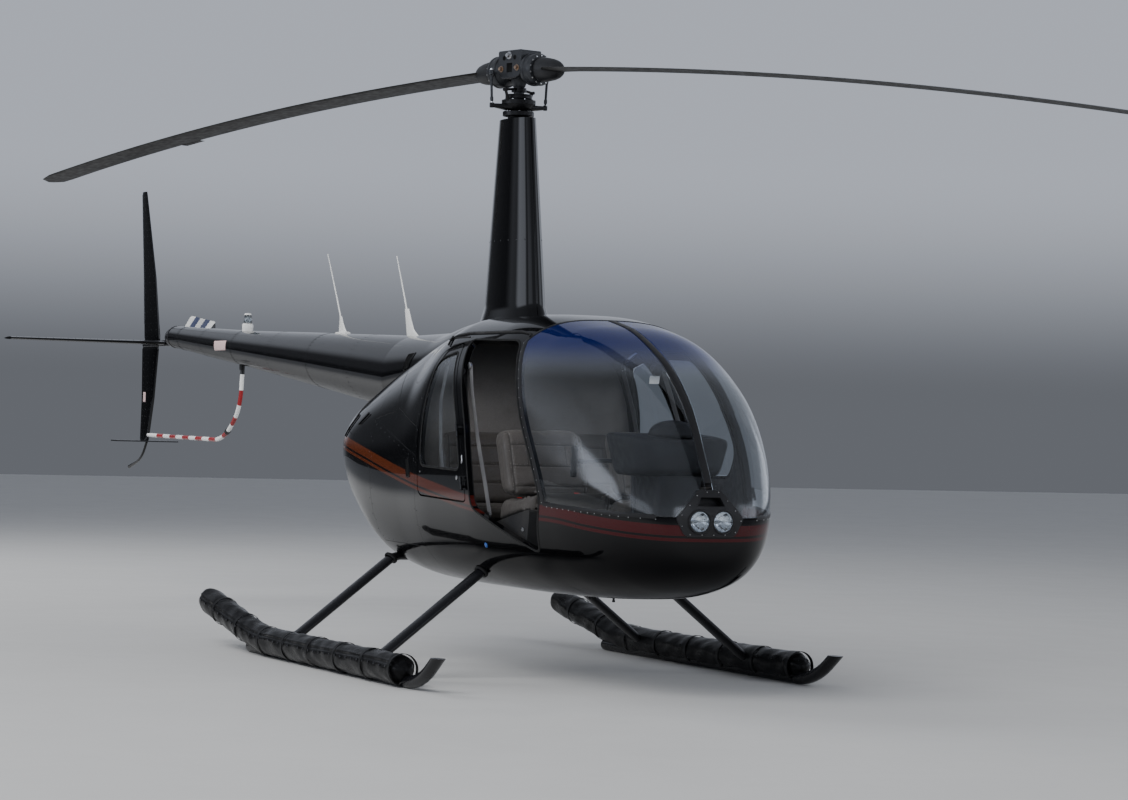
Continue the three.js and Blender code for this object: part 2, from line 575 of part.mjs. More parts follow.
function addDrive() {
  const firewallFace = CABIN_REAR + 3 - SEAM;
  add('engine_block', joinAll([block([-700, -330, 640], [-60, 330, 1000]),
    block([-61, -300, 760], [firewallFace, -240, 820]), block([-61, 240, 760], [firewallFace, 300, 820]),
    exhaust(0)]), METAL);
  const { tube, bore, gearboxTop, fairingTop } = MAST;
  const gearbox = [block([-130, -130, 1330], [130, 130, gearboxTop]),
    block([129, -110, 1340], [firewallFace, 110, 1420])];
  const collar = bar([0, 0, 2932], [0, 0, 2955], 83, 83, 24);
  const pushRods = [40, 160, 280].map((degrees) => {
    const angle = THREE.MathUtils.degToRad(degrees);
    const at = (r, height) => [r * Math.cos(angle), r * Math.sin(angle), height];
    return bar(at(46, 2840), at(55, 2934), 6, 6, 8);
  });
  const tubeSolid = bar([0, 0, gearboxTop - 10], [0, 0, 2890], tube, tube, 24);
  add('main_gearbox', joinAll([...gearbox, tubeSolid, collar, ...pushRods])
    .subtract(bar([0, 0, gearboxTop], [0, 0, 3000], bore, bore, 24)), METAL);
  // The inner section starts lower and ends higher, so that the fairing is open at both ends
  const endShift = (z) => (z === fairingTop ? 10 : 0) - (z === FAIRING[0][0] ? 10 : 0);
  const section = (grow) => loft(FAIRING.map(([z, x, chord, thickness]) => {
    const height = z + (grow < 0 ? endShift(z) : 0);
    return oval(chord / 2 + grow, thickness / 2 + grow, 28)
      .map(([a, b]) => new THREE.Vector3(x + a, b, height));
  }));
  add('mast_fairing', section(0).subtract(section(-FAIRING_WALL)).subtract(hull(BODY, BODY_STATIONS, -SEAM))
    .subtract(hull(SPINE, 10, -SEAM)), PAINT);
}

// Rotors
const spanwise = new THREE.Vector3(Math.cos(ROTOR_AZIMUTH), Math.sin(ROTOR_AZIMUTH), 0);
const chordwise = new THREE.Vector3(-spanwise.y, spanwise.x, 0);
const inRotor = (r, c, z) => spanwise.clone().multiplyScalar(r).addScaledVector(chordwise, c).setZ(z);

// Height of a parked blade: a slope and a sag, with one side tipped down by the teeter
const bladeHeight = (r, tip) => 3180 - r * (0.033 + tip) - r * r * 0.0132e-3;

// Blade stations. Columns: radius, chord, distance of the leading edge ahead of the span line, thickness,
// pitch in degrees
const BLADE_ROWS = [
  [205, 96, 48, 34, 2],
  [300, 150, 60, 26, 1.5],
  [460, BLADE_CHORD, 70, BLADE_THICKNESS, 1],
  [2400, BLADE_CHORD, 70, BLADE_THICKNESS, -0.9],
  [3800, BLADE_CHORD, 70, BLADE_THICKNESS, -2.3],
  [4800, BLADE_CHORD, 70, 17, -3.3],
  [4940, BLADE_CHORD - 36, 34, 14, -3.4],
  [ROTOR_RADIUS, 120, -60, 7, -3.4],
];
// Round root of a blade and the drum of the hub that carries it. Columns: distance from the mast, radius
const ROOT_ROWS = [[BLADE_ROOT, 62], [196, 66], [250, 62], [300, 55], [332, 42], [350, 20]];
const DRUM_ROWS = [[60, 60], [108, 82], [118, 86], [172, 86], [BLADE_ROOT - SEAM, 78]];
// Side of the yoke, seen along the chord. Columns: distance from the mast, height, corner radius
const YOKE_OUTLINE = [
  [-YOKE.span, HUB_TOP, 6], [-YOKE.span, 3152, 22], [-60, HUB_BOTTOM, 16], [60, HUB_BOTTOM, 16],
  [YOKE.span, 3152, 22], [YOKE.span, HUB_TOP, 6],
];

// Half thickness along a blade's chord, as a share of its thickness
const foil = (t) => 1.4845 * Math.sqrt(t) - 0.63 * t - 1.758 * t ** 2 + 1.4215 * t ** 3 - 0.518 * t ** 4;
const FOIL_STEPS = [1, 0.8, 0.55, 0.3, 0.12, 0.03, 0, 0.03, 0.12, 0.3, 0.55, 0.8];

// Round rings along a blade's span
const barrel = (rows, sign, tip) => loft(rows.map(([r, radius]) => oval(radius, radius, 24)
  .map(([a, b]) => inRotor(sign * r, a, bladeHeight(r, tip) + b))));

function rotorBlade(sign, tip) {
  const airfoil = loft(BLADE_ROWS.map(([r, chord, lead, thickness, pitch]) => FOIL_STEPS.map((t, i) => {
    const lift = (i < 6 ? 1 : -1) * foil(t) * thickness;
    const back = lead - t * chord;
    const angle = THREE.MathUtils.degToRad(pitch);
    return inRotor(sign * r, sign * (back * Math.cos(angle) - lift * Math.sin(angle)),
      bladeHeight(r, tip) + back * Math.sin(angle) + lift * Math.cos(angle));
  })));
  return airfoil.add(barrel(ROOT_ROWS, sign, tip));
}

function addRotor() {
  const teeter = 0.0207;
  const turn = THREE.MathUtils.radToDeg(ROTOR_AZIMUTH);
  const pockets = [YOKE.plate, YOKE.pocketDepth - YOKE.plate].map((y) => sidePrism(
    [[-YOKE.pocket, 3160, 12], [YOKE.pocket, 3160, 12], [YOKE.pocket, 3226, 12], [-YOKE.pocket, 3226, 12]],
    0, y - YOKE.pocketDepth, y));
  const yoke = sidePrism(YOKE_OUTLINE, 0, -YOKE.plate, YOKE.plate).subtract(joinAll(pockets))
    .rotate([0, 0, turn]);
  const horns = [1, -1].map((sign) => bar(inRotor(sign * 150, sign * 60, 3160).toArray(),
    inRotor(sign * 62, sign * 142, 3161).toArray(), 15, 11, 12));
  add('rotor_hub', joinAll([yoke, barrel(DRUM_ROWS, 1, teeter), barrel(DRUM_ROWS, -1, -teeter), ...horns,
    bar([0, 0, MAST.gearboxTop + SHAFT_GAP], [0, 0, HUB_BOTTOM + 20], MAST.shaft, MAST.shaft, 20),
    bar([0, 0, 3085], [0, 0, HUB_BOTTOM + 1], MAST.shaft, 46, 20)]), METAL);
  // Columns: lower and upper height, lower and upper radius
  const discs = [[2961, 2994, 62, 88], [2993, 3017, 91, 91], [3016, 3023, 62, 62], [3022, 3047, 72, 72]];
  const ring = joinAll([...discs.map(([low, high, a, b]) => bar([0, 0, low], [0, 0, high], a, b, 24)),
    ...[1, -1].flatMap((sign) => {
      const horn = inRotor(sign * 50, sign * 142, 2984);
      return [bar([0, 0, 2984], horn.toArray(), 15, 11, 10),
        bar(horn.toArray(), inRotor(sign * 62, sign * 142, 3147).toArray(), 8, 8, 10)];
    })]);
  const hole = MAST.shaft + SEAM;
  add('swashplate', ring.subtract(bar([0, 0, 2900], [0, 0, 3100], hole, hole, 20)), METAL);
  add('rotor_blade_front', rotorBlade(1, teeter), BLADE);
  add('rotor_blade_rear', rotorBlade(-1, -teeter), BLADE);

  const { x, y, z, radius, chord, tilt, pitch } = TAIL_ROTOR;
  const shaftStart = y - 100 + SHAFT_GAP;
  const hubBlock = block([-90, -22, -30], [90, 22, 30]).rotate([0, tilt, 0]).translate([x, y, z]);
  add('tail_rotor_hub', joinAll([bar([x, shaftStart, z], [x, y + 20, z], 16), hubBlock]), METAL);
  // The pitch axis is a quarter of the chord behind the leading edge, which points down on the rear blade
  for (const [name, sign] of [['front', 1], ['rear', -1]]) {
    const rows = [[90 + SEAM, 84, 24, 0], [180, chord, 15, chord / 4], [radius - 30, chord, 12, chord / 4],
      [radius, chord * 0.8, 6, chord / 4]];
    const blade = loft(rows.map(([r, width, thickness, back]) => oval(thickness / 2, width / 2, 12)
      .map(([a, b]) => new THREE.Vector3(sign * r, a, b - sign * back))));
    add(`tail_rotor_blade_${name}`, blade.rotate([sign * pitch, 0, 0]).rotate([0, tilt, 0])
      .translate([x, y, z]), BLADE);
  }
}

addPanels();
addGlass();
addCabin();
addDrive();
addTail();
addGear();
addRotor();

// The origin is the middle of the base of the whole aircraft's box
const bounds = new THREE.Box3().setFromObject(model);
model.position.set(-(bounds.min.x + bounds.max.x) / 2, -(bounds.min.y + bounds.max.y) / 2, -bounds.min.z);

export default model;
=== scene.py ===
"""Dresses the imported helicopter: smooth panels, glass, rotors, gear, cabin and paint.

Points are worked out in metres from the mast axis on the ground, X forward, Y to port and Z up,
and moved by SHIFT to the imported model's frame when they become a mesh.
"""
import logging
from dataclasses import dataclass, field
from enum import Enum
from typing import Callable, Sequence

import bmesh
import bpy
import numpy as np
from mathutils import Matrix, Vector


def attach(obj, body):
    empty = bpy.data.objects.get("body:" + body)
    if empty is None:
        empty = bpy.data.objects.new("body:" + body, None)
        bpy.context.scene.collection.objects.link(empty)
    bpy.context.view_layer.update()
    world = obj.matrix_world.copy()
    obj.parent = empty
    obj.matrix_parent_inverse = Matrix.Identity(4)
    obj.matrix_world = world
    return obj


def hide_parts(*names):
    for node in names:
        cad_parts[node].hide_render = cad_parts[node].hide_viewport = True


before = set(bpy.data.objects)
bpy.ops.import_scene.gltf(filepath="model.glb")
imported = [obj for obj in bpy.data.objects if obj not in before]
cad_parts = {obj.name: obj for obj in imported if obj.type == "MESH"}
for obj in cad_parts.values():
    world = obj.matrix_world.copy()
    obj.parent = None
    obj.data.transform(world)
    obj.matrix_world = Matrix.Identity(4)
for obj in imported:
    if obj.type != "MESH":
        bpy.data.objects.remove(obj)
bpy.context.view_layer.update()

log = logging.getLogger("helicopter")
Array = np.ndarray
Outline = Sequence[tuple]
SHIFT = 0.97098
TAU = 2 * np.pi


class Body(Enum):
    """The moving bodies that a piece can ride on."""

    AIRFRAME = "airframe"
    ROTOR = "main_rotor"
    TAIL_ROTOR = "tail_rotor"
    DOOR_FRONT_LEFT = "front_door_left"
    DOOR_REAR_LEFT = "rear_door_left"
    DOOR_REAR_RIGHT = "rear_door_right"


class Hand(Enum):
    """The two sides of the aircraft, by the sign of Y."""

    LEFT = 1
    RIGHT = -1

    @property
    def word(self) -> str:
        """The side's name as the node names have it."""
        return self.name.lower()


# Sections and outlines, in metres


@dataclass(frozen=True)
class Sections:
    """A body whose sections are rounded ovals, smooth along X.

    Columns of rows: x, bottom, top, half width, height of the widest point, upper power, lower power.
    """

    rows: tuple
    samples: int = 1600

    def table(self) -> Array:
        """Cubic pieces through the rows with slopes that never overshoot, sampled evenly.

        Returns:
            An array of samples by seven columns, in order of rising x.
        """
        rows = np.array(self.rows, float)
        knots = np.r_[0, np.cumsum(np.hypot(np.diff(rows[:, 0]), np.diff(rows[:, 3])))]
        rise = np.diff(rows, axis=0) / np.diff(knots)[:, None]
        a, b = rise[:-1], rise[1:]
        same = a * b > 0
        inner = np.where(same, 2 * a * b / np.where(same, a + b, 1), 0)
        slope = np.vstack([rise[:1], inner, rise[-1:]])
        s = np.linspace(0, knots[-1], self.samples)
        i = np.clip(np.searchsorted(knots, s, side="right") - 1, 0, len(knots) - 2)
        h = (knots[i + 1] - knots[i])[:, None]
        u = (s - knots[i])[:, None] / h
        out = (rows[i] * (1 + 2 * u) * (1 - u) ** 2 + rows[i + 1] * u * u * (3 - 2 * u)
               + h * (slope[i] * u * (1 - u) ** 2 - slope[i + 1] * u * u * (1 - u)))
        return out[np.argsort(out[:, 0])]

    def at(self, x: Array) -> tuple:
        """The six section values at stations x, each shaped like x."""
        table = _TABLES.setdefault(self.rows, None)
        if table is None:
            table = _TABLES[self.rows] = self.table()
        return tuple(np.interp(x, table[:, 0], table[:, k]) for k in range(1, 7))

    def point(self, x: Array, phi: Array, grow: float = 0.0) -> Array:
        """The surface point at station x in the direction phi round the widest point.

        The distance from the middle is (|cos/half|^p + |sin/height|^p)^(-1/p), with the upper or lower
        power p by the sign of the sine.

        Args:
            x: stations.
            phi: directions, 0 to port and a quarter turn upwards.
            grow: distance added outwards.

        Returns:
            Points, shaped like x with three columns.
        """
        x, phi = np.broadcast_arrays(np.asarray(x, float), np.asarray(phi, float))
        bottom, top, half, widest, upper, lower = self.at(x)
        c, s = np.cos(phi), np.sin(phi)
        power = np.where(s >= 0, upper, lower)
        height = np.where(s >= 0, top - widest, widest - bottom) + grow
        radius = (np.abs(c / (half + grow)) ** power + np.abs(s / height) ** power) ** (-1 / power)
        return np.stack([x, radius * c, widest + radius * s], -1)

    def side(self, x: Array, z: Array, hand: int, grow: float = 0.0) -> Array:
        """The surface point on one side at station x and height z: y = half (1 - |z/height|^p)^(1/p)."""
        x, z = np.broadcast_arrays(np.asarray(x, float), np.asarray(z, float))
        bottom, top, half, widest, upper, lower = self.at(x)
        up = z >= widest
        power = np.where(up, upper, lower)
        height = np.where(up, top - widest, widest - bottom) + grow
        share = np.clip(np.abs((z - widest) / height), 0, 1)
        y = (half + grow) * np.clip(1 - share ** power, 0, 1) ** (1 / power)
        return np.stack([x, hand * y, z], -1)

    def phi(self, x: Array, z: Array) -> Array:
        """The direction of the port surface point at station x and height z."""
        p = self.side(x, z, 1)
        return np.arctan2(p[..., 2] - self.at(p[..., 0])[3], p[..., 1])

    def ahead(self, y: Array, z: Array) -> Array:
        """The foremost x of the surface at y and z, by halving an interval of stations."""
        low = np.full(np.shape(y), 1.6)
        high = np.full(np.shape(y), self.rows[0][0])
        for _ in range(40):
            middle = (low + high) / 2
            bottom, top, half, widest, upper, lower = self.at(middle)
            up = z >= widest
            power = np.where(up, upper, lower)
            height = np.maximum(np.where(up, top - widest, widest - bottom), 1e-4)
            inside = np.abs(y / half) ** power + np.abs((z - widest) / height) ** power < 1
            low, high = np.where(inside, middle, low), np.where(inside, high, middle)
        return low


_TABLES: dict = {}

BODY = Sections((
    (2.385, 0.860, 0.900, 0.020, 0.880, 2.0, 2.0),
    (2.352, 0.685, 1.000, 0.215, 0.865, 2.0, 2.3),
    (2.258, 0.575, 1.170, 0.358, 0.900, 2.2, 2.4),
    (2.085, 0.505, 1.412, 0.465, 0.950, 2.5, 2.6),
    (1.795, 0.460, 1.632, 0.555, 1.000, 2.75, 2.7),
    (1.400, 0.445, 1.785, 0.615, 1.030, 2.9, 2.8),
    (0.900, 0.440, 1.852, 0.638, 1.050, 3.1, 2.9),
    (0.400, 0.440, 1.858, 0.635, 1.050, 3.0, 2.9),
    (-0.100, 0.445, 1.814, 0.610, 1.050, 2.25, 2.9),
    (-0.600, 0.490, 1.700, 0.585, 1.080, 2.0, 2.8),
    (-1.000, 0.640, 1.570, 0.545, 1.120, 1.9, 2.5),
    (-1.300, 0.860, 1.430, 0.455, 1.150, 1.9, 2.2),
    (-1.460, 1.030, 1.300, 0.310, 1.170, 2.0, 2.0),
    (-1.510, 1.120, 1.220, 0.100, 1.180, 2.0, 2.0),
))
SPINE = Sections((
    (0.200, 1.600, 1.851, 0.130, 1.720, 2.0, 2.0),
    (-0.060, 1.540, 1.857, 0.235, 1.690, 2.0, 2.0),
    (-0.300, 1.490, 1.836, 0.262, 1.650, 2.0, 2.0),
    (-0.700, 1.400, 1.785, 0.256, 1.590, 2.0, 2.0),
    (-1.290, 1.310, 1.776, 0.243, 1.545, 2.0, 2.0),
))
# Columns: x, height of the centre, radius
BOOM = ((-1.150, 1.538, 0.232), (-2.950, 1.650, 0.165), (-4.280, 1.728, 0.118), (-5.820, 1.823, 0.076))
# Side outlines. Columns: x, z, corner radius
FRONT_DOOR = ((0.620, 1.712, .05), (1.180, 1.702, .06), (1.335, 1.525, .12), (1.595, 1.135, .12),
              (1.688, 0.930, .06), (1.620, 0.672, .05), (0.985, 0.872, .045), (0.882, 1.300, .09))
REAR_DOOR = ((0.300, 1.655, .09), (0.556, 1.706, .045), (0.820, 1.300, .09), (0.928, 0.888, .045),
             (0.262, 0.905, .06), (0.238, 1.180, .09))
FRONT_WINDOW = ((0.690, 1.664, .04), (1.155, 1.655, .05), (1.290, 1.500, .09), (1.500, 1.180, .06),
                (1.415, 1.052, .06), (0.972, 1.046, .05), (0.925, 1.315, .08))
REAR_WINDOW = ((0.330, 1.612, .07), (0.548, 1.656, .04), (0.770, 1.305, .08), (0.838, 1.050, .05),
               (0.296, 1.062, .06), (0.292, 1.200, .06))
SCREEN_EDGE = ((1.225, 1.705, 0), (1.374, 1.525, .12), (1.634, 1.137, .12), (1.730, 0.911, 0))
NOSE_EDGE = ((1.730, 0.911, 0), (1.668, 0.640, 0), (1.560, 0.300, 0))
SCREEN_SILL = ((1.730, 0.911), (2.500, 0.868))
PILLAR = ((0.957, 0.620, 0), (0.957, 0.880, .04), (0.851, 1.300, .09), (0.588, 1.709, .01), (0.588, 1.742, 0))
# Seen from ahead. Columns: y, z, corner radius
LIGHT_PANEL = ((0.058, 1.006, .012), (0.178, 0.872, .012), (0.132, 0.786, .03), (-0.132, 0.786, .03),
               (-0.178, 0.872, .012), (-0.058, 1.006, .012))
CABIN_REAR = 0.215
COWL_SEAM = -0.530
ROOF_Z = 1.742
TUB_Z = 0.620
WALL = 0.028
DOOR_GAP = 0.008
STRIP_HALF = 0.018


def rounded(outline: Outline, closed: bool = True, steps: int = 8) -> Array:
    """An outline with its corners rounded by quadratic curves.

    Args:
        outline: rows of two coordinates and a corner radius.
        closed: whether the last point joins the first.
        steps: pieces of each rounded corner.

    Returns:
        Points with two columns.
    """
    rows = np.array(outline, float)
    count = len(rows)
    out = []
    for i, (a, b, radius) in enumerate(rows):
        corner = np.array([a, b])
        if radius <= 0 or (not closed and i in (0, count - 1)):
            out.append(corner[None])
            continue
        ends = [rows[(i + k) % count][:2] - corner for k in (-1, 1)]
        p, q = (corner + e / np.linalg.norm(e) * radius for e in ends)
        t = np.linspace(0, 1, steps + 1)[:, None]
        out.append((1 - t) ** 2 * p + 2 * t * (1 - t) * corner + t * t * q)
    return np.vstack(out)


def inset(points: Array, distance: float) -> Array:
    """A closed outline moved inwards by a distance, along the mean of each corner's two normals."""
    keep = np.linalg.norm(points - np.roll(points, -1, 0), axis=1) > 1e-7
    points = points[keep]
    ahead = np.roll(points, -1, 0)
    turn = np.sign(np.sum(points[:, 0] * ahead[:, 1] - ahead[:, 0] * points[:, 1]))
    edge = ahead - points
    normal = turn * np.stack([-edge[:, 1], edge[:, 0]], 1) / np.linalg.norm(edge, axis=1)[:, None]
    before = np.roll(normal, 1, 0)
    both = normal + before
    return points + both * (distance / (1 + np.sum(normal * before, 1)))[:, None]


def resample(points: Array, step: float, closed: bool = True) -> Array:
    """The outline with each edge divided into pieces no longer than step, its corners kept."""
    ends = np.roll(points, -1, 0) if closed else points[1:]
    starts = points if closed else points[:-1]
    counts = np.maximum(np.ceil(np.linalg.norm(ends - starts, axis=1) / step - 1e-9).astype(int), 1)
    k = np.repeat(np.arange(len(starts)), counts)
    first = np.repeat(np.r_[0, np.cumsum(counts)[:-1]], counts)
    t = ((np.arange(len(k)) - first) / counts[k])[:, None]
    out = starts[k] * (1 - t) + ends[k] * t
    return out if closed else np.vstack([out, points[-1:]])


def evenly(points: Array, step: float, closed: bool = True) -> Array:
    """Points at equal distances along an outline, about a step apart."""
    line = np.vstack([points, points[:1]]) if closed else points
    run = np.r_[0, np.cumsum(np.linalg.norm(np.diff(line, axis=0), axis=1))]
    count = max(int(round(run[-1] / step)), 2)
    at = np.linspace(0, run[-1], count + 1)
    at = at[:-1] if closed else at
    return np.stack([np.interp(at, run, line[:, k]) for k in range(line.shape[1])], 1)


def ray_hits(outline: Array, centre: Array, towards: Array) -> Array:
    """Where the rays from the centre through some points cross a closed outline.

    Each ray and edge give two unknowns, the distance along the ray and the share of the edge.

    Args:
        outline: the outline's points.
        centre: the rays' start, inside the outline.
        towards: a point on each ray.

    Returns:
        One point for each ray.
    """
    ray = (towards - centre)[:, None]
    start = (outline - centre)[None]
    edge = (np.roll(outline, -1, 0) - outline)[None]
    cross = ray[..., 0] * edge[..., 1] - ray[..., 1] * edge[..., 0]
    cross = np.where(np.abs(cross) < 1e-12, 1e-12, cross)
    reach = (start[..., 0] * edge[..., 1] - start[..., 1] * edge[..., 0]) / cross
    share = (start[..., 0] * ray[..., 1] - start[..., 1] * ray[..., 0]) / cross
    good = (share >= -1e-9) & (share <= 1 + 1e-9) & (reach > 0)
    best = np.where(good, reach, np.inf).min(1)
    return centre + (towards - centre) * best[:, None]


def between(outer: Array, inner: Array, rows: int) -> Array:
    """Straight lines from an outline's points to another's, as a grid of rows by points."""
    t = np.linspace(0, 1, rows)[:, None, None]
    return outer[None] * (1 - t) + inner[None] * t


# Meshes


class Shape:
    """Collects grids of points into one mesh."""

    def __init__(self) -> None:
        """Starts with no points and no faces."""
        self.points: list = []
        self.faces: list = []
        self.count = 0

    def grid(self, points: Array, wrap: bool = False, keep: Array | None = None) -> "Shape":
        """Adds a grid of points with a four-sided face in every cell.

        Args:
            points: rows by columns by three.
            wrap: joins the last column to the first.
            keep: true for each cell that gets its face.

        Returns:
            This shape.
        """
        rows, columns = points.shape[:2]
        index = np.arange(rows * columns).reshape(rows, columns) + self.count
        right = np.roll(index, -1, 1) if wrap else index[:, 1:]
        left = index if wrap else index[:, :-1]
        quads = np.stack([left[:-1], right[:-1], right[1:], left[1:]], -1)
        quads = quads.reshape(-1, 4) if keep is None else quads[keep]
        self.points.append(points.reshape(-1, 3))
        self.faces.append(quads)
        self.count += rows * columns
        return self

    def fan(self, ring: Array, tip: Array) -> "Shape":
        """Closes a ring of points onto a tip."""
        return self.grid(np.stack([ring, np.broadcast_to(tip, ring.shape)]), wrap=True)

    def tube(self, rings: Array) -> "Shape":
        """Adds rings as one closed tube, with both ends closed onto their middles."""
        ends = rings.mean(1)
        return self.grid(rings, wrap=True).fan(rings[0], ends[0]).fan(rings[-1], ends[-1])

    def mirrored(self) -> "Shape":
        """Adds a copy of everything so far on the other side of the middle plane."""
        points, faces, count = list(self.points), list(self.faces), self.count
        self.points += [p * [1, -1, 1] for p in points]
        self.faces += [f[:, ::-1] + count for f in faces]
        self.count += count
        return self

    def moved(self, change: Callable[[Array], Array]) -> "Shape":
        """Passes every point through a function."""
        self.points = [change(np.vstack(self.points))]
        return self

    def build(self, name: str, closed: bool = True, axis: tuple | None = None,
              weld: float = 2e-5) -> bpy.types.Object:
        """Makes the mesh object, merges doubles and turns the faces outwards.

        Args:
            name: the piece's name.
            closed: whether the surface is closed, so that its outside is known.
            axis: for an open surface, the y and z of the line along X that its faces look away from.
            weld: distance below which points are one.

        Returns:
            The object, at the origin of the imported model's frame.
        """
        mesh = bpy.data.meshes.new(name)
        points = np.vstack(self.points) + [SHIFT, 0, 0]
        faces = np.vstack(self.faces)
        mesh.from_pydata(points.tolist(), [], faces.tolist())
        bm = bmesh.new()
        bm.from_mesh(mesh)
        bmesh.ops.remove_doubles(bm, verts=bm.verts, dist=weld)
        bmesh.ops.dissolve_degenerate(bm, edges=bm.edges, dist=weld / 4)
        bmesh.ops.recalc_face_normals(bm, faces=bm.faces)
        if not closed:
            y, z = axis or (0.0, 1.1)
            lean = sum(f.normal.y * (f.calc_center_median().y - y) * f.calc_area()
                       + f.normal.z * (f.calc_center_median().z - z) * f.calc_area() for f in bm.faces)
            if lean < 0:
                bmesh.ops.reverse_faces(bm, faces=bm.faces)
        bm.to_mesh(mesh)
        bm.free()
        mesh.polygons.foreach_set("use_smooth", np.ones(len(mesh.polygons), bool))
        obj = bpy.data.objects.new(name, mesh)
        bpy.context.scene.collection.objects.link(obj)
        return obj


def sharpen(obj: bpy.types.Object, degrees: float = 32) -> bpy.types.Object:
    """Keeps edges sharper than an angle crisp under smooth shading."""
    obj.data.set_sharp_from_angle(angle=np.radians(degrees))
    return obj


def thicken(obj: bpy.types.Object, thickness: float, bevel: float = 0.0012) -> bpy.types.Object:
    """Gives a surface a wall inwards from it and rounds the wall's edges."""
    wall = obj.modifiers.new("wall", "SOLIDIFY")
    wall.thickness = thickness
    wall.offset = -1
    wall.use_even_offset = False
    if bevel:
        edge = obj.modifiers.new("edge", "BEVEL")
        edge.width = bevel
        edge.segments = 2
        edge.limit_method = "ANGLE"
        edge.angle_limit = np.radians(50)
        edge.harden_normals = True
    return obj


def dress(obj: bpy.types.Object, finish: "Finish", body: Body, slot: str, *nodes: str) -> bpy.types.Object:
    """Gives a piece its finish and its body, and hides the nodes that it stands for.

    Args:
        obj: the piece.
        finish: its finish.
        body: the body that it rides on.
        slot: not used.
        nodes: names of the nodes that it replaces.

    Returns:
        The piece.
    """
    obj.data.materials.clear()
    obj.data.materials.append(finish.material())
    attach(obj, body.value)
    if nodes:
        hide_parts(*nodes)
    log.info("%s: %d faces", obj.name, len(obj.data.polygons))
    return obj


def circle(count: int, radius: float | Array = 1.0, turn: float = 0.0) -> Array:
    """Points round a circle, as rows of two."""
    angle = TAU * (np.arange(count) + turn) / count
    return np.stack([np.cos(angle), np.sin(angle)], 1) * radius


def lathe(profile: Sequence[tuple], centre: Sequence[float], axis: Sequence[float], sides: int = 32) -> Array:
    """Rings from a profile turned round an axis.

    Args:
        profile: rows of distance along the axis and radius.
        centre: where the distance is zero.
        axis: direction of the axis.
        sides: points of a ring.

    Returns:
        Rings by sides by three.
    """
    along = np.array(axis, float) / np.linalg.norm(axis)
    other = np.array([0, 0, 1.0]) if abs(along[2]) < 0.9 else np.array([1.0, 0, 0])
    u = np.cross(along, other)
    u /= np.linalg.norm(u)
    v = np.cross(along, u)
    rows = np.array(profile, float)
    ring = circle(sides)
    flat = ring[:, :1] * u + ring[:, 1:] * v
    return np.array(centre) + rows[:, 0, None, None] * along + rows[:, 1, None, None] * flat[None]


def carried(path: Array, section: Array, up: Array) -> Array:
    """A flat section carried along a path.

    Each ring is the path's point plus the section's first coordinate across and its second along up,
    where across is square to the path and to up.

    Args:
        path: points of the path.
        section: points of the section with two columns, or one section for each path point.
        up: one direction for all, or one for each path point.

    Returns:
        Rings by section points by three.
    """
    ahead = np.gradient(path, axis=0)
    ahead /= np.linalg.norm(ahead, axis=1)[:, None]
    up = np.broadcast_to(up, path.shape)
    across = np.cross(ahead, up)
    across /= np.linalg.norm(across, axis=1)[:, None]
    up = np.cross(across, ahead)
    section = np.broadcast_to(section, (len(path),) + section.shape[-2:])
    return (path[:, None] + section[..., :1] * across[:, None] + section[..., 1:] * up[:, None])


def bent(rows: Sequence[tuple], steps: int = 16, pieces: int = 24) -> Array:
    """A path of straight runs with rounded corners.

    Args:
        rows: x, y, z and the radius of the bend.
        steps: points of each bend.
        pieces: points of each straight run.

    Returns:
        Points with three columns.
    """
    table = np.array(rows, float)
    corners = [table[:1, :3]]
    for i in range(1, len(table) - 1):
        corner, radius = table[i, :3], table[i, 3]
        if radius <= 0:
            corners.append(corner[None])
            continue
        p, q = (corner + (e - corner) / np.linalg.norm(e - corner) * radius
                for e in (table[i - 1, :3], table[i + 1, :3]))
        t = np.linspace(0, 1, steps + 1)[:, None]
        corners.append((1 - t) ** 2 * p + 2 * t * (1 - t) * corner + t * t * q)
    corners.append(table[-1:, :3])
    path = np.vstack(corners)
    run = np.linalg.norm(np.diff(path, axis=0), axis=1)
    longest = run.sum() / pieces
    return resample(path, longest, closed=False)


def beads(centres: Array, normals: Array, radius: float, height: float, sides: int = 8) -> Shape:
    """Low domes, such as screw and rivet heads, standing on a surface.

    A dome is three rings of falling radius along its normal.

    Args:
        centres: where the domes stand.
        normals: their directions.
        radius: their radius.
        height: their height.
        sides: points of a ring.

    Returns:
        One shape of all the domes.
    """
    normals = normals / np.linalg.norm(normals, axis=1)[:, None]
    other = np.where(np.abs(normals[:, 2:]) < 0.9, [[0, 0, 1.0]], [[1.0, 0, 0]])
    u = np.cross(normals, other)
    u /= np.linalg.norm(u, axis=1)[:, None]
    v = np.cross(normals, u)
    ring = circle(sides)
    levels = np.array([[1.0, -0.3], [0.95, 0.45], [0.6, 0.9], [0.0, 1.0]])
    points = (centres[:, None, None]
              + levels[None, :, None, :1] * radius
              * (ring[None, None, :, :1] * u[:, None, None] + ring[None, None, :, 1:] * v[:, None, None])
              + levels[None, :, None, 1:] * height * normals[:, None, None])
    index = np.arange(points.shape[0] * len(levels) * sides).reshape(points.shape[:3])
    right = np.roll(index, -1, 2)
    quads = np.stack([index[:, :-1], right[:, :-1], right[:, 1:], index[:, 1:]], -1).reshape(-1, 4)
    shape = Shape()
    shape.points.append(points.reshape(-1, 3))
    shape.faces.append(quads)
    shape.count = len(shape.points[0])
    return shape


def surface_normals(points: Callable[[Array, Array], Array], a: Array, b: Array, step: float = 1e-3) -> Array:
    """Normals of a surface function at parameters a and b, from small steps along both."""
    du = points(a + step, b) - points(a - step, b)
    dv = points(a, b + step) - points(a, b - step)
    normal = np.cross(du, dv)
    return normal / np.maximum(np.linalg.norm(normal, axis=-1, keepdims=True), 1e-12)


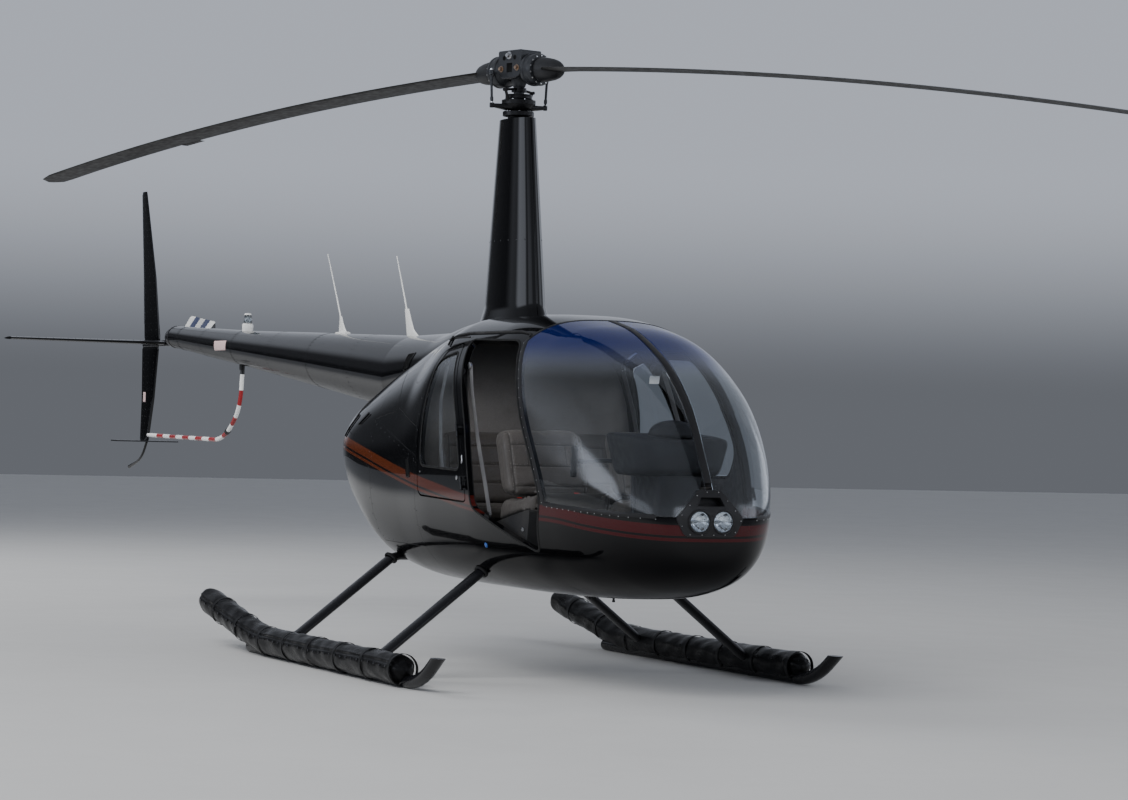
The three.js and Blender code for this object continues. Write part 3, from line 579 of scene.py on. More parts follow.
def applied(obj: bpy.types.Object) -> bpy.types.Mesh:
    """A new mesh with the piece's modifiers worked in."""
    graph = bpy.context.evaluated_depsgraph_get()
    return bpy.data.meshes.new_from_object(obj.evaluated_get(graph))


def read_points(mesh: bpy.types.Mesh) -> Array:
    """The mesh's points as an array."""
    flat = np.empty(len(mesh.vertices) * 3, np.float32)
    mesh.vertices.foreach_get("co", flat)
    return flat.reshape(-1, 3).astype(float)


def write_points(mesh: bpy.types.Mesh, points: Array) -> None:
    """Puts an array of points into the mesh."""
    mesh.vertices.foreach_set("co", np.ascontiguousarray(points, np.float32).ravel())
    mesh.update()


def mark(mesh: bpy.types.Mesh, name: str, values: Array) -> None:
    """Stores one number, or one vector, for each point of the mesh."""
    kind, key = ("FLOAT", "value") if values.ndim == 1 else ("FLOAT_VECTOR", "vector")
    layer = mesh.attributes.new(name, kind, "POINT")
    layer.data.foreach_set(key, np.ascontiguousarray(values, np.float32).ravel())


def plump(obj: bpy.types.Object, voxel: float, cap: float, pressure: float = 4.0,
          pins: Callable[[Array], Array] | None = None, frames: int = 20) -> bpy.types.Object:
    """Fills a soft piece: even mesh, cloth under pressure without gravity, a cap and one subdivision.

    Args:
        obj: the piece, a little smaller than its finished size.
        voxel: size of the even mesh.
        cap: the most that a point may move.
        pressure: pressure inside the cloth.
        pins: how firmly each point is held, from 0 to 1, by its place.
        frames: steps of the simulation.

    Returns:
        The piece with a plain mesh.
    """
    even = obj.modifiers.new("even", "REMESH")
    even.mode = "VOXEL"
    even.voxel_size = voxel * 1.0
    obj.data = applied(obj)
    obj.modifiers.clear()
    rest = read_points(obj.data)
    cloth = obj.modifiers.new("cloth", "CLOTH")
    settings = cloth.settings
    settings.quality = 4
    settings.mass = 0.3
    settings.tension_stiffness = settings.compression_stiffness = 12
    settings.bending_stiffness = 0.6
    settings.use_pressure = True
    settings.uniform_pressure_force = pressure
    settings.effector_weights.gravity = 0
    if pins is not None:
        group = obj.vertex_groups.new(name="pins")
        weight = pins(rest - [SHIFT, 0, 0])
        for level in (0.25, 0.5, 0.75, 1.0):
            chosen = np.nonzero(np.abs(weight - level) <= 0.125)[0]
            group.add(chosen.tolist(), level, "REPLACE")
        settings.vertex_group_mass = group.name
    for number in range(1, frames + 1):
        bpy.context.scene.frame_set(number)
    done = applied(obj)
    step = read_points(done) - rest
    obj.modifiers.clear()
    bpy.context.scene.frame_set(1)
    far = np.linalg.norm(step, axis=1, keepdims=True)
    rest = rest + step * np.minimum(1, cap / np.maximum(far, 1e-9))
    write_points(obj.data, rest)
    fine = obj.modifiers.new("fine", "SUBSURF")
    fine.levels = fine.render_levels = 1
    obj.data = applied(obj)
    obj.modifiers.clear()
    obj.data.polygons.foreach_set("use_smooth", np.ones(len(obj.data.polygons), bool))
    return obj


def sew(obj: bpy.types.Object, lines: Callable[[Array], Array], depth: float, width: float) -> None:
    """Sinks sewn lines into a soft piece and marks them for the finish.

    A point sinks along its normal by depth times exp(-(d/width)^2), where d is its distance to a line.

    Args:
        obj: the piece.
        lines: gives each point's distance to the nearest sewn line.
        depth: depth of the line.
        width: its half width.
    """
    points = read_points(obj.data)
    normals = np.empty(len(points) * 3, np.float32)
    obj.data.vertex_normals.foreach_get("vector", normals)
    gap = lines(points - [SHIFT, 0, 0])
    share = np.exp(-(gap / width) ** 2)
    write_points(obj.data, points - normals.reshape(-1, 3) * (share * depth)[:, None])
    mark(obj.data, "seam", np.exp(-(gap / (0.6 * width)) ** 2))


def copied(obj: bpy.types.Object, name: str, change: Callable[[Array], Array], flip: bool) -> bpy.types.Object:
    """A copy of a piece with its points changed, turned right side out again when it is mirrored."""
    other = bpy.data.objects.new(name, obj.data.copy())
    bpy.context.scene.collection.objects.link(other)
    write_points(other.data, change(read_points(other.data) - [SHIFT, 0, 0]) + [SHIFT, 0, 0])
    if flip:
        other.data.flip_normals()
    return other


# Finishes


class Graph:
    """A short way to lay out a material's nodes."""

    def __init__(self, name: str) -> None:
        """Makes an empty material with one Principled shader.

        Args:
            name: the material's name.
        """
        self.made = bpy.data.materials.new(name)
        self.made.use_nodes = True
        self.tree = self.made.node_tree
        self.shader = self.tree.nodes["Principled BSDF"]
        self.coords = self.node("ShaderNodeTexCoord").outputs["Object"]

    def node(self, kind: str, **values: object) -> bpy.types.Node:
        """Adds a node; values name its properties or, in capitals with underscores, its inputs."""
        made = self.tree.nodes.new(kind)
        for key, value in values.items():
            if hasattr(made, key):
                setattr(made, key, value)
        return made

    def put(self, target: bpy.types.NodeSocket, value: object) -> None:
        """Links a socket to an input, or sets the input's own value."""
        if isinstance(value, bpy.types.NodeSocket):
            self.tree.links.new(value, target)
        elif value is not None:
            target.default_value = value

    def set(self, **values: object) -> None:
        """Sets or links inputs of the shader, named with underscores for spaces."""
        for key, value in values.items():
            self.put(self.shader.inputs[key.replace("_", " ")], value)

    def scaled(self, scale: Sequence[float]) -> bpy.types.NodeSocket:
        """Object coordinates multiplied by a scale along each axis."""
        made = self.node("ShaderNodeMapping")
        self.put(made.inputs["Vector"], self.coords)
        made.inputs["Scale"].default_value = scale
        return made.outputs["Vector"]

    def noise(self, scale: float, detail: float = 3, rough: float = 0.5,
              vector: object = None) -> bpy.types.NodeSocket:
        """Noise between about 0 and 1, with scale in spots for each metre."""
        made = self.node("ShaderNodeTexNoise")
        made.inputs["Scale"].default_value = scale
        made.inputs["Detail"].default_value = detail
        made.inputs["Roughness"].default_value = rough
        self.put(made.inputs["Vector"], vector or self.coords)
        return made.outputs["Fac"]

    def cells(self, scale: float, vector: object = None, feature: str = "F1") -> bpy.types.NodeSocket:
        """Distance in a cell pattern, with scale in cells for each metre."""
        made = self.node("ShaderNodeTexVoronoi", feature=feature)
        made.inputs["Scale"].default_value = scale
        self.put(made.inputs["Vector"], vector or self.coords)
        return made.outputs["Distance"]

    def math(self, kind: str, a: object, b: object = None, c: object = None) -> bpy.types.NodeSocket:
        """One sum, product or other operation."""
        made = self.node("ShaderNodeMath", operation=kind)
        for socket, value in zip(made.inputs, (a, b, c)):
            self.put(socket, value)
        return made.outputs[0]

    def ramp(self, value: object, low: float, high: float, to_low: float = 0.0, to_high: float = 1.0,
             smooth: bool = True) -> bpy.types.NodeSocket:
        """Carries a range of values to another, held at both ends."""
        made = self.node("ShaderNodeMapRange", interpolation_type="SMOOTHSTEP" if smooth else "LINEAR")
        for key, number in zip(("From Min", "From Max", "To Min", "To Max"), (low, high, to_low, to_high)):
            made.inputs[key].default_value = number
        self.put(made.inputs["Value"], value)
        return made.outputs["Result"]

    def mix(self, share: object, a: object, b: object) -> bpy.types.NodeSocket:
        """Blends two colours."""
        made = self.node("ShaderNodeMix", data_type="RGBA")
        self.put(made.inputs["Factor"], share)
        for key, value in (("A", a), ("B", b)):
            socket = next(s for s in made.inputs if s.name == key and s.type == "RGBA")
            self.put(socket, (*value, 1.0) if isinstance(value, tuple) else value)
        return next(s for s in made.outputs if s.type == "RGBA")

    def axis(self, letter: str) -> bpy.types.NodeSocket:
        """One object coordinate."""
        made = self.node("ShaderNodeSeparateXYZ")
        self.put(made.inputs[0], self.coords)
        return made.outputs[letter]

    def curve(self, value: object, rows: Sequence[tuple], low: float, high: float) -> bpy.types.NodeSocket:
        """A height for each value, through some points, as a share of low to high."""
        made = self.node("ShaderNodeFloatCurve")
        line = made.mapping.curves[0]
        xs = [(row[0] - rows[0][0]) / (rows[-1][0] - rows[0][0]) for row in rows]
        ys = [(row[1] - low) / (high - low) for row in rows]
        line.points[0].location = (xs[0], ys[0])
        line.points[1].location = (xs[-1], ys[-1])
        for x, y in list(zip(xs, ys))[1:-1]:
            line.points.new(x, y)
        made.mapping.update()
        self.put(made.inputs["Value"], self.ramp(value, rows[0][0], rows[-1][0], smooth=False))
        return self.math("MULTIPLY_ADD", made.outputs["Value"], high - low, low)

    def attribute(self, name: str, socket: str = "Fac") -> bpy.types.NodeSocket:
        """A value that the mesh stores for each point, or zero."""
        return self.node("ShaderNodeAttribute", attribute_name=name).outputs[socket]

    def bump(self, height: object, strength: float, distance: float, under: object = None) -> bpy.types.NodeSocket:
        """Turns a height into a normal, over another normal if one is given."""
        made = self.node("ShaderNodeBump")
        made.inputs["Strength"].default_value = strength
        made.inputs["Distance"].default_value = distance
        self.put(made.inputs["Height"], height)
        self.put(made.inputs["Normal"], under)
        return made.outputs["Normal"]


@dataclass(frozen=True)
class Finish:
    """A finish that is made once and shared by every piece that has it."""

    name: str

    def material(self) -> bpy.types.Material:
        """The finish's material, made the first time."""
        if self.name not in _MADE:
            graph = Graph(self.name)
            self.lay(graph)
            _MADE[self.name] = graph.made
        return _MADE[self.name]

    def lay(self, g: Graph) -> None:
        """Lays out the nodes.

        Args:
            g: the material's graph.
        """
        raise NotImplementedError


_MADE: dict = {}


@dataclass(frozen=True)
class Lacquer(Finish):
    """Sprayed gloss paint with orange peel, faint swirl marks, a little dust low down, and less coat on faces that look
    down: partly a duller film, partly painted shade.
    """

    color: tuple = (0.0016, 0.0016, 0.0020)
    roughness: float = 0.14
    coat: float = 0.9
    striped: bool = False
    dust: float = 0.035
    tips: tuple = ()

    def stripes(self, g: Graph) -> tuple:
        """Two bands that follow the body's flank.

        The bands' middle line is a curve of height over x. A band is where the height above that line
        is within the band's half width.

        Args:
            g: the material's graph.

        Returns:
            The mask of the bands and their colour.
        """
        line = ((-0.50, 1.205), (0.20, 1.120), (0.97, 1.005), (1.55, 0.935), (1.92, 0.893), (2.40, 0.868),
                (2.72, 0.868), (3.00, 0.838), (3.36, 0.800))
        middle = g.curve(g.axis("X"), line, 0.75, 1.25)
        above = g.math("SUBTRACT", g.axis("Z"), middle)
        broad = g.ramp(g.math("ABSOLUTE", g.math("SUBTRACT", above, 0.012)), 0.0255, 0.0245)
        thin = g.ramp(g.math("ABSOLUTE", g.math("ADD", above, 0.032)), 0.0085, 0.0075)
        color = g.mix(g.ramp(g.axis("X"), 0.4, 2.7), (0.070, 0.016, 0.0045), (0.034, 0.0016, 0.0028))
        return g.math("MAXIMUM", broad, thin), color

    def lay(self, g: Graph) -> None:
        """Lays out the paint: colour, bands, dust, peel and coat.

        Args:
            g: the material's graph.
        """
        film = g.noise(2.2, 5, 0.6)
        low = g.ramp(g.axis("Z"), 1.0, 0.3)
        dusty = g.math("MULTIPLY", g.ramp(film, 0.45, 0.85), g.math("MULTIPLY_ADD", low, self.dust, 0.012))
        color: object = self.color
        if self.striped:
            mask, band = self.stripes(g)
            color = g.mix(mask, self.color, band)
        g.set(Base_Color=g.mix(dusty, color, (0.12, 0.115, 0.105)))
        fine = g.noise(38, 4, 0.65)
        g.set(Roughness=g.math("ADD", g.ramp(fine, 0.3, 0.8, self.roughness * 0.75, self.roughness * 1.5),
                               g.math("MULTIPLY", dusty, 0.5)))
        # Less coat on faces that look down: partly a duller film there, partly painted shade that keeps the underside
        # from reflecting the bright floor.
        facing = g.node("ShaderNodeSeparateXYZ")
        g.put(facing.inputs[0], g.node("ShaderNodeNewGeometry").outputs["Normal"])
        coat_cut_below = g.ramp(facing.outputs["Z"], -0.70, 0.02, 0.16, self.coat)
        g.set(Coat_Weight=coat_cut_below, Coat_Roughness=0.025, Coat_IOR=1.40, Specular_IOR_Level=0.02)
        peel = g.noise(230, 2, 0.45)
        g.set(Normal=g.bump(peel, 0.035, 0.002, g.bump(g.noise(3.1, 2), 0.05, 0.01)))


@dataclass(frozen=True)
class Satin(Finish):
    """Satin or matte painted or moulded surface with fine grain and light wear."""

    color: tuple = (0.02, 0.02, 0.022)
    roughness: float = 0.38
    metallic: float = 0.0
    grain: float = 420
    depth: float = 0.0006
    worn: tuple = (0.09, 0.09, 0.09)
    gloss: float = 0.3

    def lay(self, g: Graph) -> None:
        """Lays out the colour with light wear, mottled roughness and grain.

        Args:
            g: the material's graph.
        """
        wear = g.ramp(g.noise(9, 6, 0.7), 0.56, 0.78, 0.0, 0.35)
        g.set(Base_Color=g.mix(wear, self.color, self.worn), Metallic=self.metallic, Specular_IOR_Level=self.gloss)
        g.set(Roughness=g.ramp(g.noise(26, 4), 0.25, 0.8, self.roughness * 0.8, self.roughness * 1.25))
        g.set(Normal=g.bump(g.noise(self.grain, 3), 0.25, self.depth))


@dataclass(frozen=True)
class BareMetal(Finish):
    """Machined, cast or polished metal with brushed lines and oil film."""

    color: tuple = (0.42, 0.43, 0.45)
    roughness: float = 0.3
    stretch: tuple = (60, 60, 900)
    metallic: float = 1.0

    def lay(self, g: Graph) -> None:
        """Lays out the metal with lines along one axis and dark film in patches.

        Args:
            g: the material's graph.
        """
        lines = g.noise(1.0, 3, 0.6, g.scaled(self.stretch))
        film = g.ramp(g.noise(14, 5, 0.6), 0.5, 0.75)
        dark = tuple(0.35 * c for c in self.color)
        g.set(Base_Color=g.mix(g.math("MULTIPLY", film, 0.6), self.color, dark), Metallic=self.metallic)
        g.set(Roughness=g.ramp(lines, 0.25, 0.75, self.roughness * 0.75, self.roughness * 1.35))
        g.set(Normal=g.bump(lines, 0.12, 0.0004))


@dataclass(frozen=True)
class ClearSheet(Finish):
    """Clear cast acrylic with faint haze and a tint, deeper above a height if one is given; above that height the sheet
    is partly diffuse blue, which is painted backlight through the tint.
    """

    tint: tuple = (0.86, 0.91, 0.95)
    band: tuple = (0.025, 0.060, 0.36)
    band_from: float = 0.0

    def lay(self, g: Graph) -> None:
        """Lays out the clear sheet, its band and its haze.

        Args:
            g: the material's graph.
        """
        haze = g.ramp(g.noise(5, 5, 0.65), 0.4, 0.9, 0.0, 0.004)
        g.set(Roughness=haze, Transmission_Weight=1.0, IOR=1.45)
        # Above the height the real tint deepens, and a little of the sheet turns diffuse blue: painted backlight
        # through the tint.
        if self.band_from:
            g.set(Transmission_Weight=g.ramp(g.axis("Z"), self.band_from, self.band_from + 0.22, 1.0, 0.91))
        tint: object = g.mix(g.ramp(g.noise(1.6, 2), 0.3, 0.7), self.tint, tuple(0.97 * c for c in self.tint))
        if self.band_from:
            share = g.ramp(g.axis("Z"), self.band_from, self.band_from + 0.22)
            tint = g.mix(share, tint, self.band)
        g.set(Base_Color=tint)
        g.set(Normal=g.bump(g.noise(2.4, 2), 0.03, 0.01))


@dataclass(frozen=True)
class Hide(Finish):
    """Grained leather with darker grain, creases in its bump, painted shade along its sunk seams, and a row of stitches
    beside each seam.
    """

    color: tuple = (0.052, 0.047, 0.043)
    roughness: float = 0.42

    def lay(self, g: Graph) -> None:
        """Lays out the grain as cells over folds, and the sewn lines from the seam attribute.

        Args:
            g: the material's graph.
        """
        grain = g.cells(360, g.coords, "SMOOTH_F1")
        folds = g.noise(13, 5, 0.62)
        worn = g.ramp(g.noise(5, 4, 0.6), 0.42, 0.72, 0.0, 0.5)
        seam = g.attribute("seam")
        dark, pale = (tuple(k * c for c in self.color) for k in (0.42, 1.75))
        color = g.mix(g.ramp(grain, 0.2, 0.7, 0.0, 0.6), g.mix(worn, self.color, pale), dark)
        edge = g.math("MULTIPLY", g.ramp(seam, 0.03, 0.10), g.ramp(seam, 0.30, 0.18))
        stitch = g.math("MULTIPLY", edge, g.ramp(g.cells(150), 0.35, 0.25, 0.0, 0.8))
        # The seam's middle is mixed towards the dark colour: painted shade in the sunk channel.
        color = g.mix(stitch, g.mix(g.ramp(seam, 0.45, 0.9), color, dark), (0.20, 0.19, 0.18))
        g.set(Base_Color=color, Sheen_Weight=0.05)
        g.set(Roughness=g.ramp(folds, 0.3, 0.7, self.roughness * 0.8, self.roughness * 1.3))
        g.set(Normal=g.bump(grain, 0.06, 0.0004, g.bump(folds, 0.5, 0.008)), Specular_IOR_Level=0.4)


@dataclass(frozen=True)
class Weave(Finish):
    """Woven or coated cloth: two crossed sets of waves, with creases and sheen."""

    color: tuple = (0.012, 0.012, 0.014)
    light: tuple = (0.035, 0.035, 0.04)
    roughness: float = 0.5
    threads: float = 900
    crease: float = 0.5
    knit: float = 0.10
    gloss: float = 0.25

    def lay(self, g: Graph) -> None:
        """Lays out the threads, the soil and the creases.

        Args:
            g: the material's graph.
        """
        waves = []
        for direction in ("X", "Z"):
            wave = g.node("ShaderNodeTexWave", bands_direction=direction)
            wave.inputs["Scale"].default_value = self.threads / 6.2
            wave.inputs["Distortion"].default_value = 0.6
            g.put(wave.inputs["Vector"], g.coords)
            waves.append(wave.outputs["Fac"])
        threads = g.math("MULTIPLY", *waves)
        soil = g.ramp(g.noise(7, 6, 0.65), 0.35, 0.75)
        g.set(Base_Color=g.mix(soil, self.color, self.light))
        g.set(Roughness=g.ramp(g.noise(12, 4), 0.3, 0.8, self.roughness * 0.75, self.roughness * 1.3))
        folds = g.bump(g.noise(9, 4, 0.55, g.scaled((0.45, 1.0, 1.0))), self.crease, 0.02)
        g.set(Normal=g.bump(threads, self.knit, 0.0005, folds), Sheen_Weight=0.02, Specular_IOR_Level=self.gloss)


@dataclass(frozen=True)
class Banded(Finish):
    """Paint in two colours that alternate along a piece, by the distance that the mesh stores."""

    color: tuple = (0.75, 0.75, 0.73)
    other: tuple = (0.26, 0.008, 0.011)
    root: tuple = (0.006, 0.006, 0.007)
    steps: tuple = ()

    def lay(self, g: Graph) -> None:
        """Lays out the bands: the share of the second colour changes at each step of the distance.

        Args:
            g: the material's graph.
        """
        along = g.attribute("along")
        band: object = 0.0
        for number, place in enumerate(self.steps[1:]):
            turn = g.ramp(along, place - 0.001, place + 0.001)
            band = g.math("ADD" if number % 2 == 0 else "SUBTRACT", band, turn)
        chips = g.ramp(g.noise(60, 5, 0.7), 0.62, 0.7, 0.0, 0.6)
        color = g.mix(g.ramp(along, self.steps[0] - 0.001, self.steps[0] + 0.001), self.root,
                      g.mix(band, self.color, self.other))
        g.set(Base_Color=g.mix(chips, color, (0.2, 0.19, 0.18)))
        g.set(Roughness=g.ramp(g.noise(30, 3), 0.3, 0.7, 0.22, 0.42))
        g.set(Normal=g.bump(g.noise(300, 2), 0.08, 0.001))


@dataclass(frozen=True)
class TipBands(Finish):
    """Tail blade paint: bands of two colours from the tip inwards, and a black root."""

    sign: int = 1
    white: tuple = (0.66, 0.66, 0.64)
    blue: tuple = (0.018, 0.028, 0.085)
    axis: tuple = (-5.870 + SHIFT, 0.0, 1.845)

    def lay(self, g: Graph) -> None:
        """Lays out the bands from the distance to the shaft.

        Args:
            g: the material's graph.
        """
        made = g.node("ShaderNodeVectorMath", operation="SUBTRACT")
        g.put(made.inputs[0], g.coords)
        made.inputs[1].default_value = self.axis
        flat = g.node("ShaderNodeVectorMath", operation="MULTIPLY")
        g.put(flat.inputs[0], made.outputs[0])
        flat.inputs[1].default_value = (1, 0, 1)
        length = g.node("ShaderNodeVectorMath", operation="LENGTH")
        g.put(length.inputs[0], flat.outputs[0])
        inward = g.math("DIVIDE", g.math("SUBTRACT", 0.737, length.outputs["Value"]), 0.22)
        band = g.ramp(g.math("FRACT", inward), 0.495, 0.505)
        root = g.ramp(inward, 2.49, 2.51)
        color = g.mix(root, g.mix(band, self.white, self.blue), (0.010, 0.010, 0.011))
        chips = g.ramp(g.noise(70, 5, 0.7), 0.64, 0.7, 0.0, 0.5)
        g.set(Base_Color=g.mix(chips, color, (0.12, 0.12, 0.12)))
        g.set(Roughness=g.ramp(g.noise(30, 3), 0.3, 0.7, 0.22, 0.40))
        g.set(Normal=g.bump(g.noise(300, 2), 0.08, 0.0008))


@dataclass(frozen=True)
class Dial(Finish):
    """A dark instrument face with a ring of plain marks and a pale needle, all without numbers."""

    def lay(self, g: Graph) -> None:
        """Lays out the marks from the dial attribute: place on the face, and one for a needle.

        Args:
            g: the material's graph.
        """
        made = g.node("ShaderNodeSeparateXYZ")
        g.put(made.inputs[0], g.attribute("dial", "Vector"))
        y, z, needle = (made.outputs[k] for k in "XYZ")
        radius = g.math("SQRT", g.math("ADD", g.math("MULTIPLY", y, y), g.math("MULTIPLY", z, z)))
        turn = g.math("MULTIPLY", g.math("ARCTAN2", z, y), 24 / TAU)
        tick = g.ramp(g.math("ABSOLUTE", g.math("SUBTRACT", g.math("FRACT", turn), 0.5)), 0.16, 0.12)
        ring = g.math("MULTIPLY", g.ramp(radius, 0.62, 0.65), g.ramp(radius, 0.82, 0.79))
        marks = g.math("MAXIMUM", g.math("MULTIPLY", tick, ring), needle)
        g.set(Base_Color=g.mix(marks, (0.006, 0.006, 0.007), (0.55, 0.55, 0.52)))
        g.set(Roughness=g.ramp(g.noise(90, 3), 0.3, 0.7, 0.28, 0.42))
        g.set(Normal=g.bump(g.noise(700, 2), 0.05, 0.0003))


@dataclass(frozen=True)
class Zoned(Finish):
    """Two colours on one solid, divided at a height: two cloths or panels, or one cloth with painted shade above it."""

    low: tuple = (0.30, 0.295, 0.28)
    high: tuple = (0.012, 0.012, 0.013)
    height: float = 0.6215
    fade: float = 0.002
    grain: float = 520

    def lay(self, g: Graph) -> None:
        """Lays out both colours, the nap and its soil.

        Args:
            g: the material's graph.
        """
        share = g.ramp(g.axis("Z"), self.height - self.fade, self.height + self.fade)
        nap = g.noise(self.grain, 3, 0.6)
        soil = g.ramp(g.noise(6, 5, 0.65), 0.4, 0.75, 0.0, 0.4)
        color = g.mix(g.ramp(nap, 0.3, 0.7, 0.0, 0.35), g.mix(share, self.low, self.high), (0.02, 0.02, 0.02))
        g.set(Base_Color=g.mix(soil, color, (0.05, 0.047, 0.042)))
        g.set(Roughness=g.ramp(nap, 0.3, 0.7, 0.7, 0.95))
        g.set(Normal=g.bump(nap, 0.2, 0.0004))


PAINT = Lacquer("gloss_black_lacquer", striped=True)
PLAIN_PAINT = Lacquer("gloss_black_plain")
BOOM_PAINT = Lacquer("boom_lacquer", color=(0.0022, 0.0022, 0.0028), roughness=0.2, coat=0.9)
TRIM = Satin("satin_black_trim", color=(0.010, 0.010, 0.011), worn=(0.035, 0.035, 0.035))
GEAR_PAINT = Satin("skid_paint", color=(0.0045, 0.0045, 0.0055), roughness=0.24, worn=(0.022, 0.022, 0.022))
RUBBER = Satin("door_rubber", color=(0.007, 0.007, 0.007), roughness=0.6, worn=(0.018, 0.018, 0.018))
SCREWS = BareMetal("screw_steel", color=(0.62, 0.62, 0.62), roughness=0.28)
SCREEN = ClearSheet("windshield_acrylic", band_from=1.50)
PANE = ClearSheet("window_acrylic")
HUB_METAL = Satin("hub_grey_paint", color=(0.028, 0.030, 0.034), roughness=0.34, metallic=0.25, grain=300,
                  worn=(0.075, 0.075, 0.08))
CAST = BareMetal("cast_alloy", color=(0.36, 0.37, 0.39), roughness=0.5, stretch=(70, 70, 70))
BLADE_PAINT = Satin("blade_paint", color=(0.0045, 0.0038, 0.0028), roughness=0.42, grain=60, depth=0.0002,
                    worn=(0.009, 0.0075, 0.0055), gloss=0.16)
# Near-black matte sheets laid where openings and recesses are: painted shade.
SHADE_BLACK = Satin("recess_black", color=(0.002, 0.002, 0.002), roughness=0.9, worn=(0.004, 0.004, 0.004))
DARK_SCREWS = BareMetal("dark_screws", color=(0.10, 0.10, 0.105), roughness=0.32)
DARK_METAL = Satin("anodised_black", color=(0.0065, 0.0065, 0.0075), roughness=0.32, metallic=0.3,
                   worn=(0.03, 0.03, 0.033))
RED = Satin("red_button", color=(0.42, 0.012, 0.010), roughness=0.35, worn=(0.30, 0.02, 0.015))
TIE = Weave("float_ties", color=(0.002, 0.002, 0.0023), light=(0.005, 0.005, 0.0055), roughness=0.5,
            threads=1300, crease=0.1)
BOOT = Satin("blade_boot_rubber", color=(0.014, 0.0145, 0.016), roughness=0.42, grain=200, worn=(0.032, 0.032, 0.035))
COPPER = BareMetal("coppery_bolts", color=(0.46, 0.33, 0.24), roughness=0.28)
BLUE = Satin("blue_cap", color=(0.025, 0.085, 0.30), roughness=0.32, worn=(0.08, 0.12, 0.25))
GEARBOX_PAINT = Satin("gearbox_paint", color=(0.006, 0.006, 0.007), roughness=0.28, worn=(0.025, 0.025, 0.025))
DIAL = Dial("instrument_faces")
BLANK_PLATE = Satin("blank_plate", color=(0.60, 0.44, 0.43), roughness=0.4, worn=(0.42, 0.16, 0.16))
FLOOR_TRIM = Zoned("floor_and_boxes")
# The rear wall's cloth is pale grey; the near-black above 1.54 m, faded over 0.18 m either side, is painted shade under
# the roof.
REAR_WALL_SHADED = Zoned("rear_wall_cloth", low=(0.16, 0.15, 0.143), high=(0.012, 0.012, 0.013), height=1.54,
                  fade=0.18)
CHROME = BareMetal("lamp_chrome", color=(0.82, 0.83, 0.85), roughness=0.09)
LEATHER = Hide("seat_leather_grey")
BOX_TRIM = Satin("cabin_panel", color=(0.013, 0.013, 0.0145), roughness=0.6, grain=420, depth=0.0001,
                 worn=(0.05, 0.05, 0.05))
CARPET = Weave("grey_carpet", color=(0.13, 0.125, 0.12), light=(0.24, 0.235, 0.22), roughness=0.95,
               threads=420, crease=0.15)
HEADLINER = Weave("headliner_cloth", color=(0.025, 0.025, 0.027), light=(0.04, 0.04, 0.043), roughness=0.9,
                  threads=700, crease=0.1)
TARP = Weave("float_cover", color=(0.0016, 0.0016, 0.0019), light=(0.0042, 0.0042, 0.0048), roughness=0.34,
             crease=0.6, knit=0.0, gloss=0.12)
WEBBING = Weave("belt_webbing", color=(0.085, 0.085, 0.09), light=(0.14, 0.14, 0.14), roughness=0.7,
                threads=1500, crease=0.1)
WHITE_GEL = Satin("white_gelcoat", color=(0.72, 0.72, 0.70), roughness=0.26, worn=(0.5, 0.49, 0.46))


# Sub-assemblies


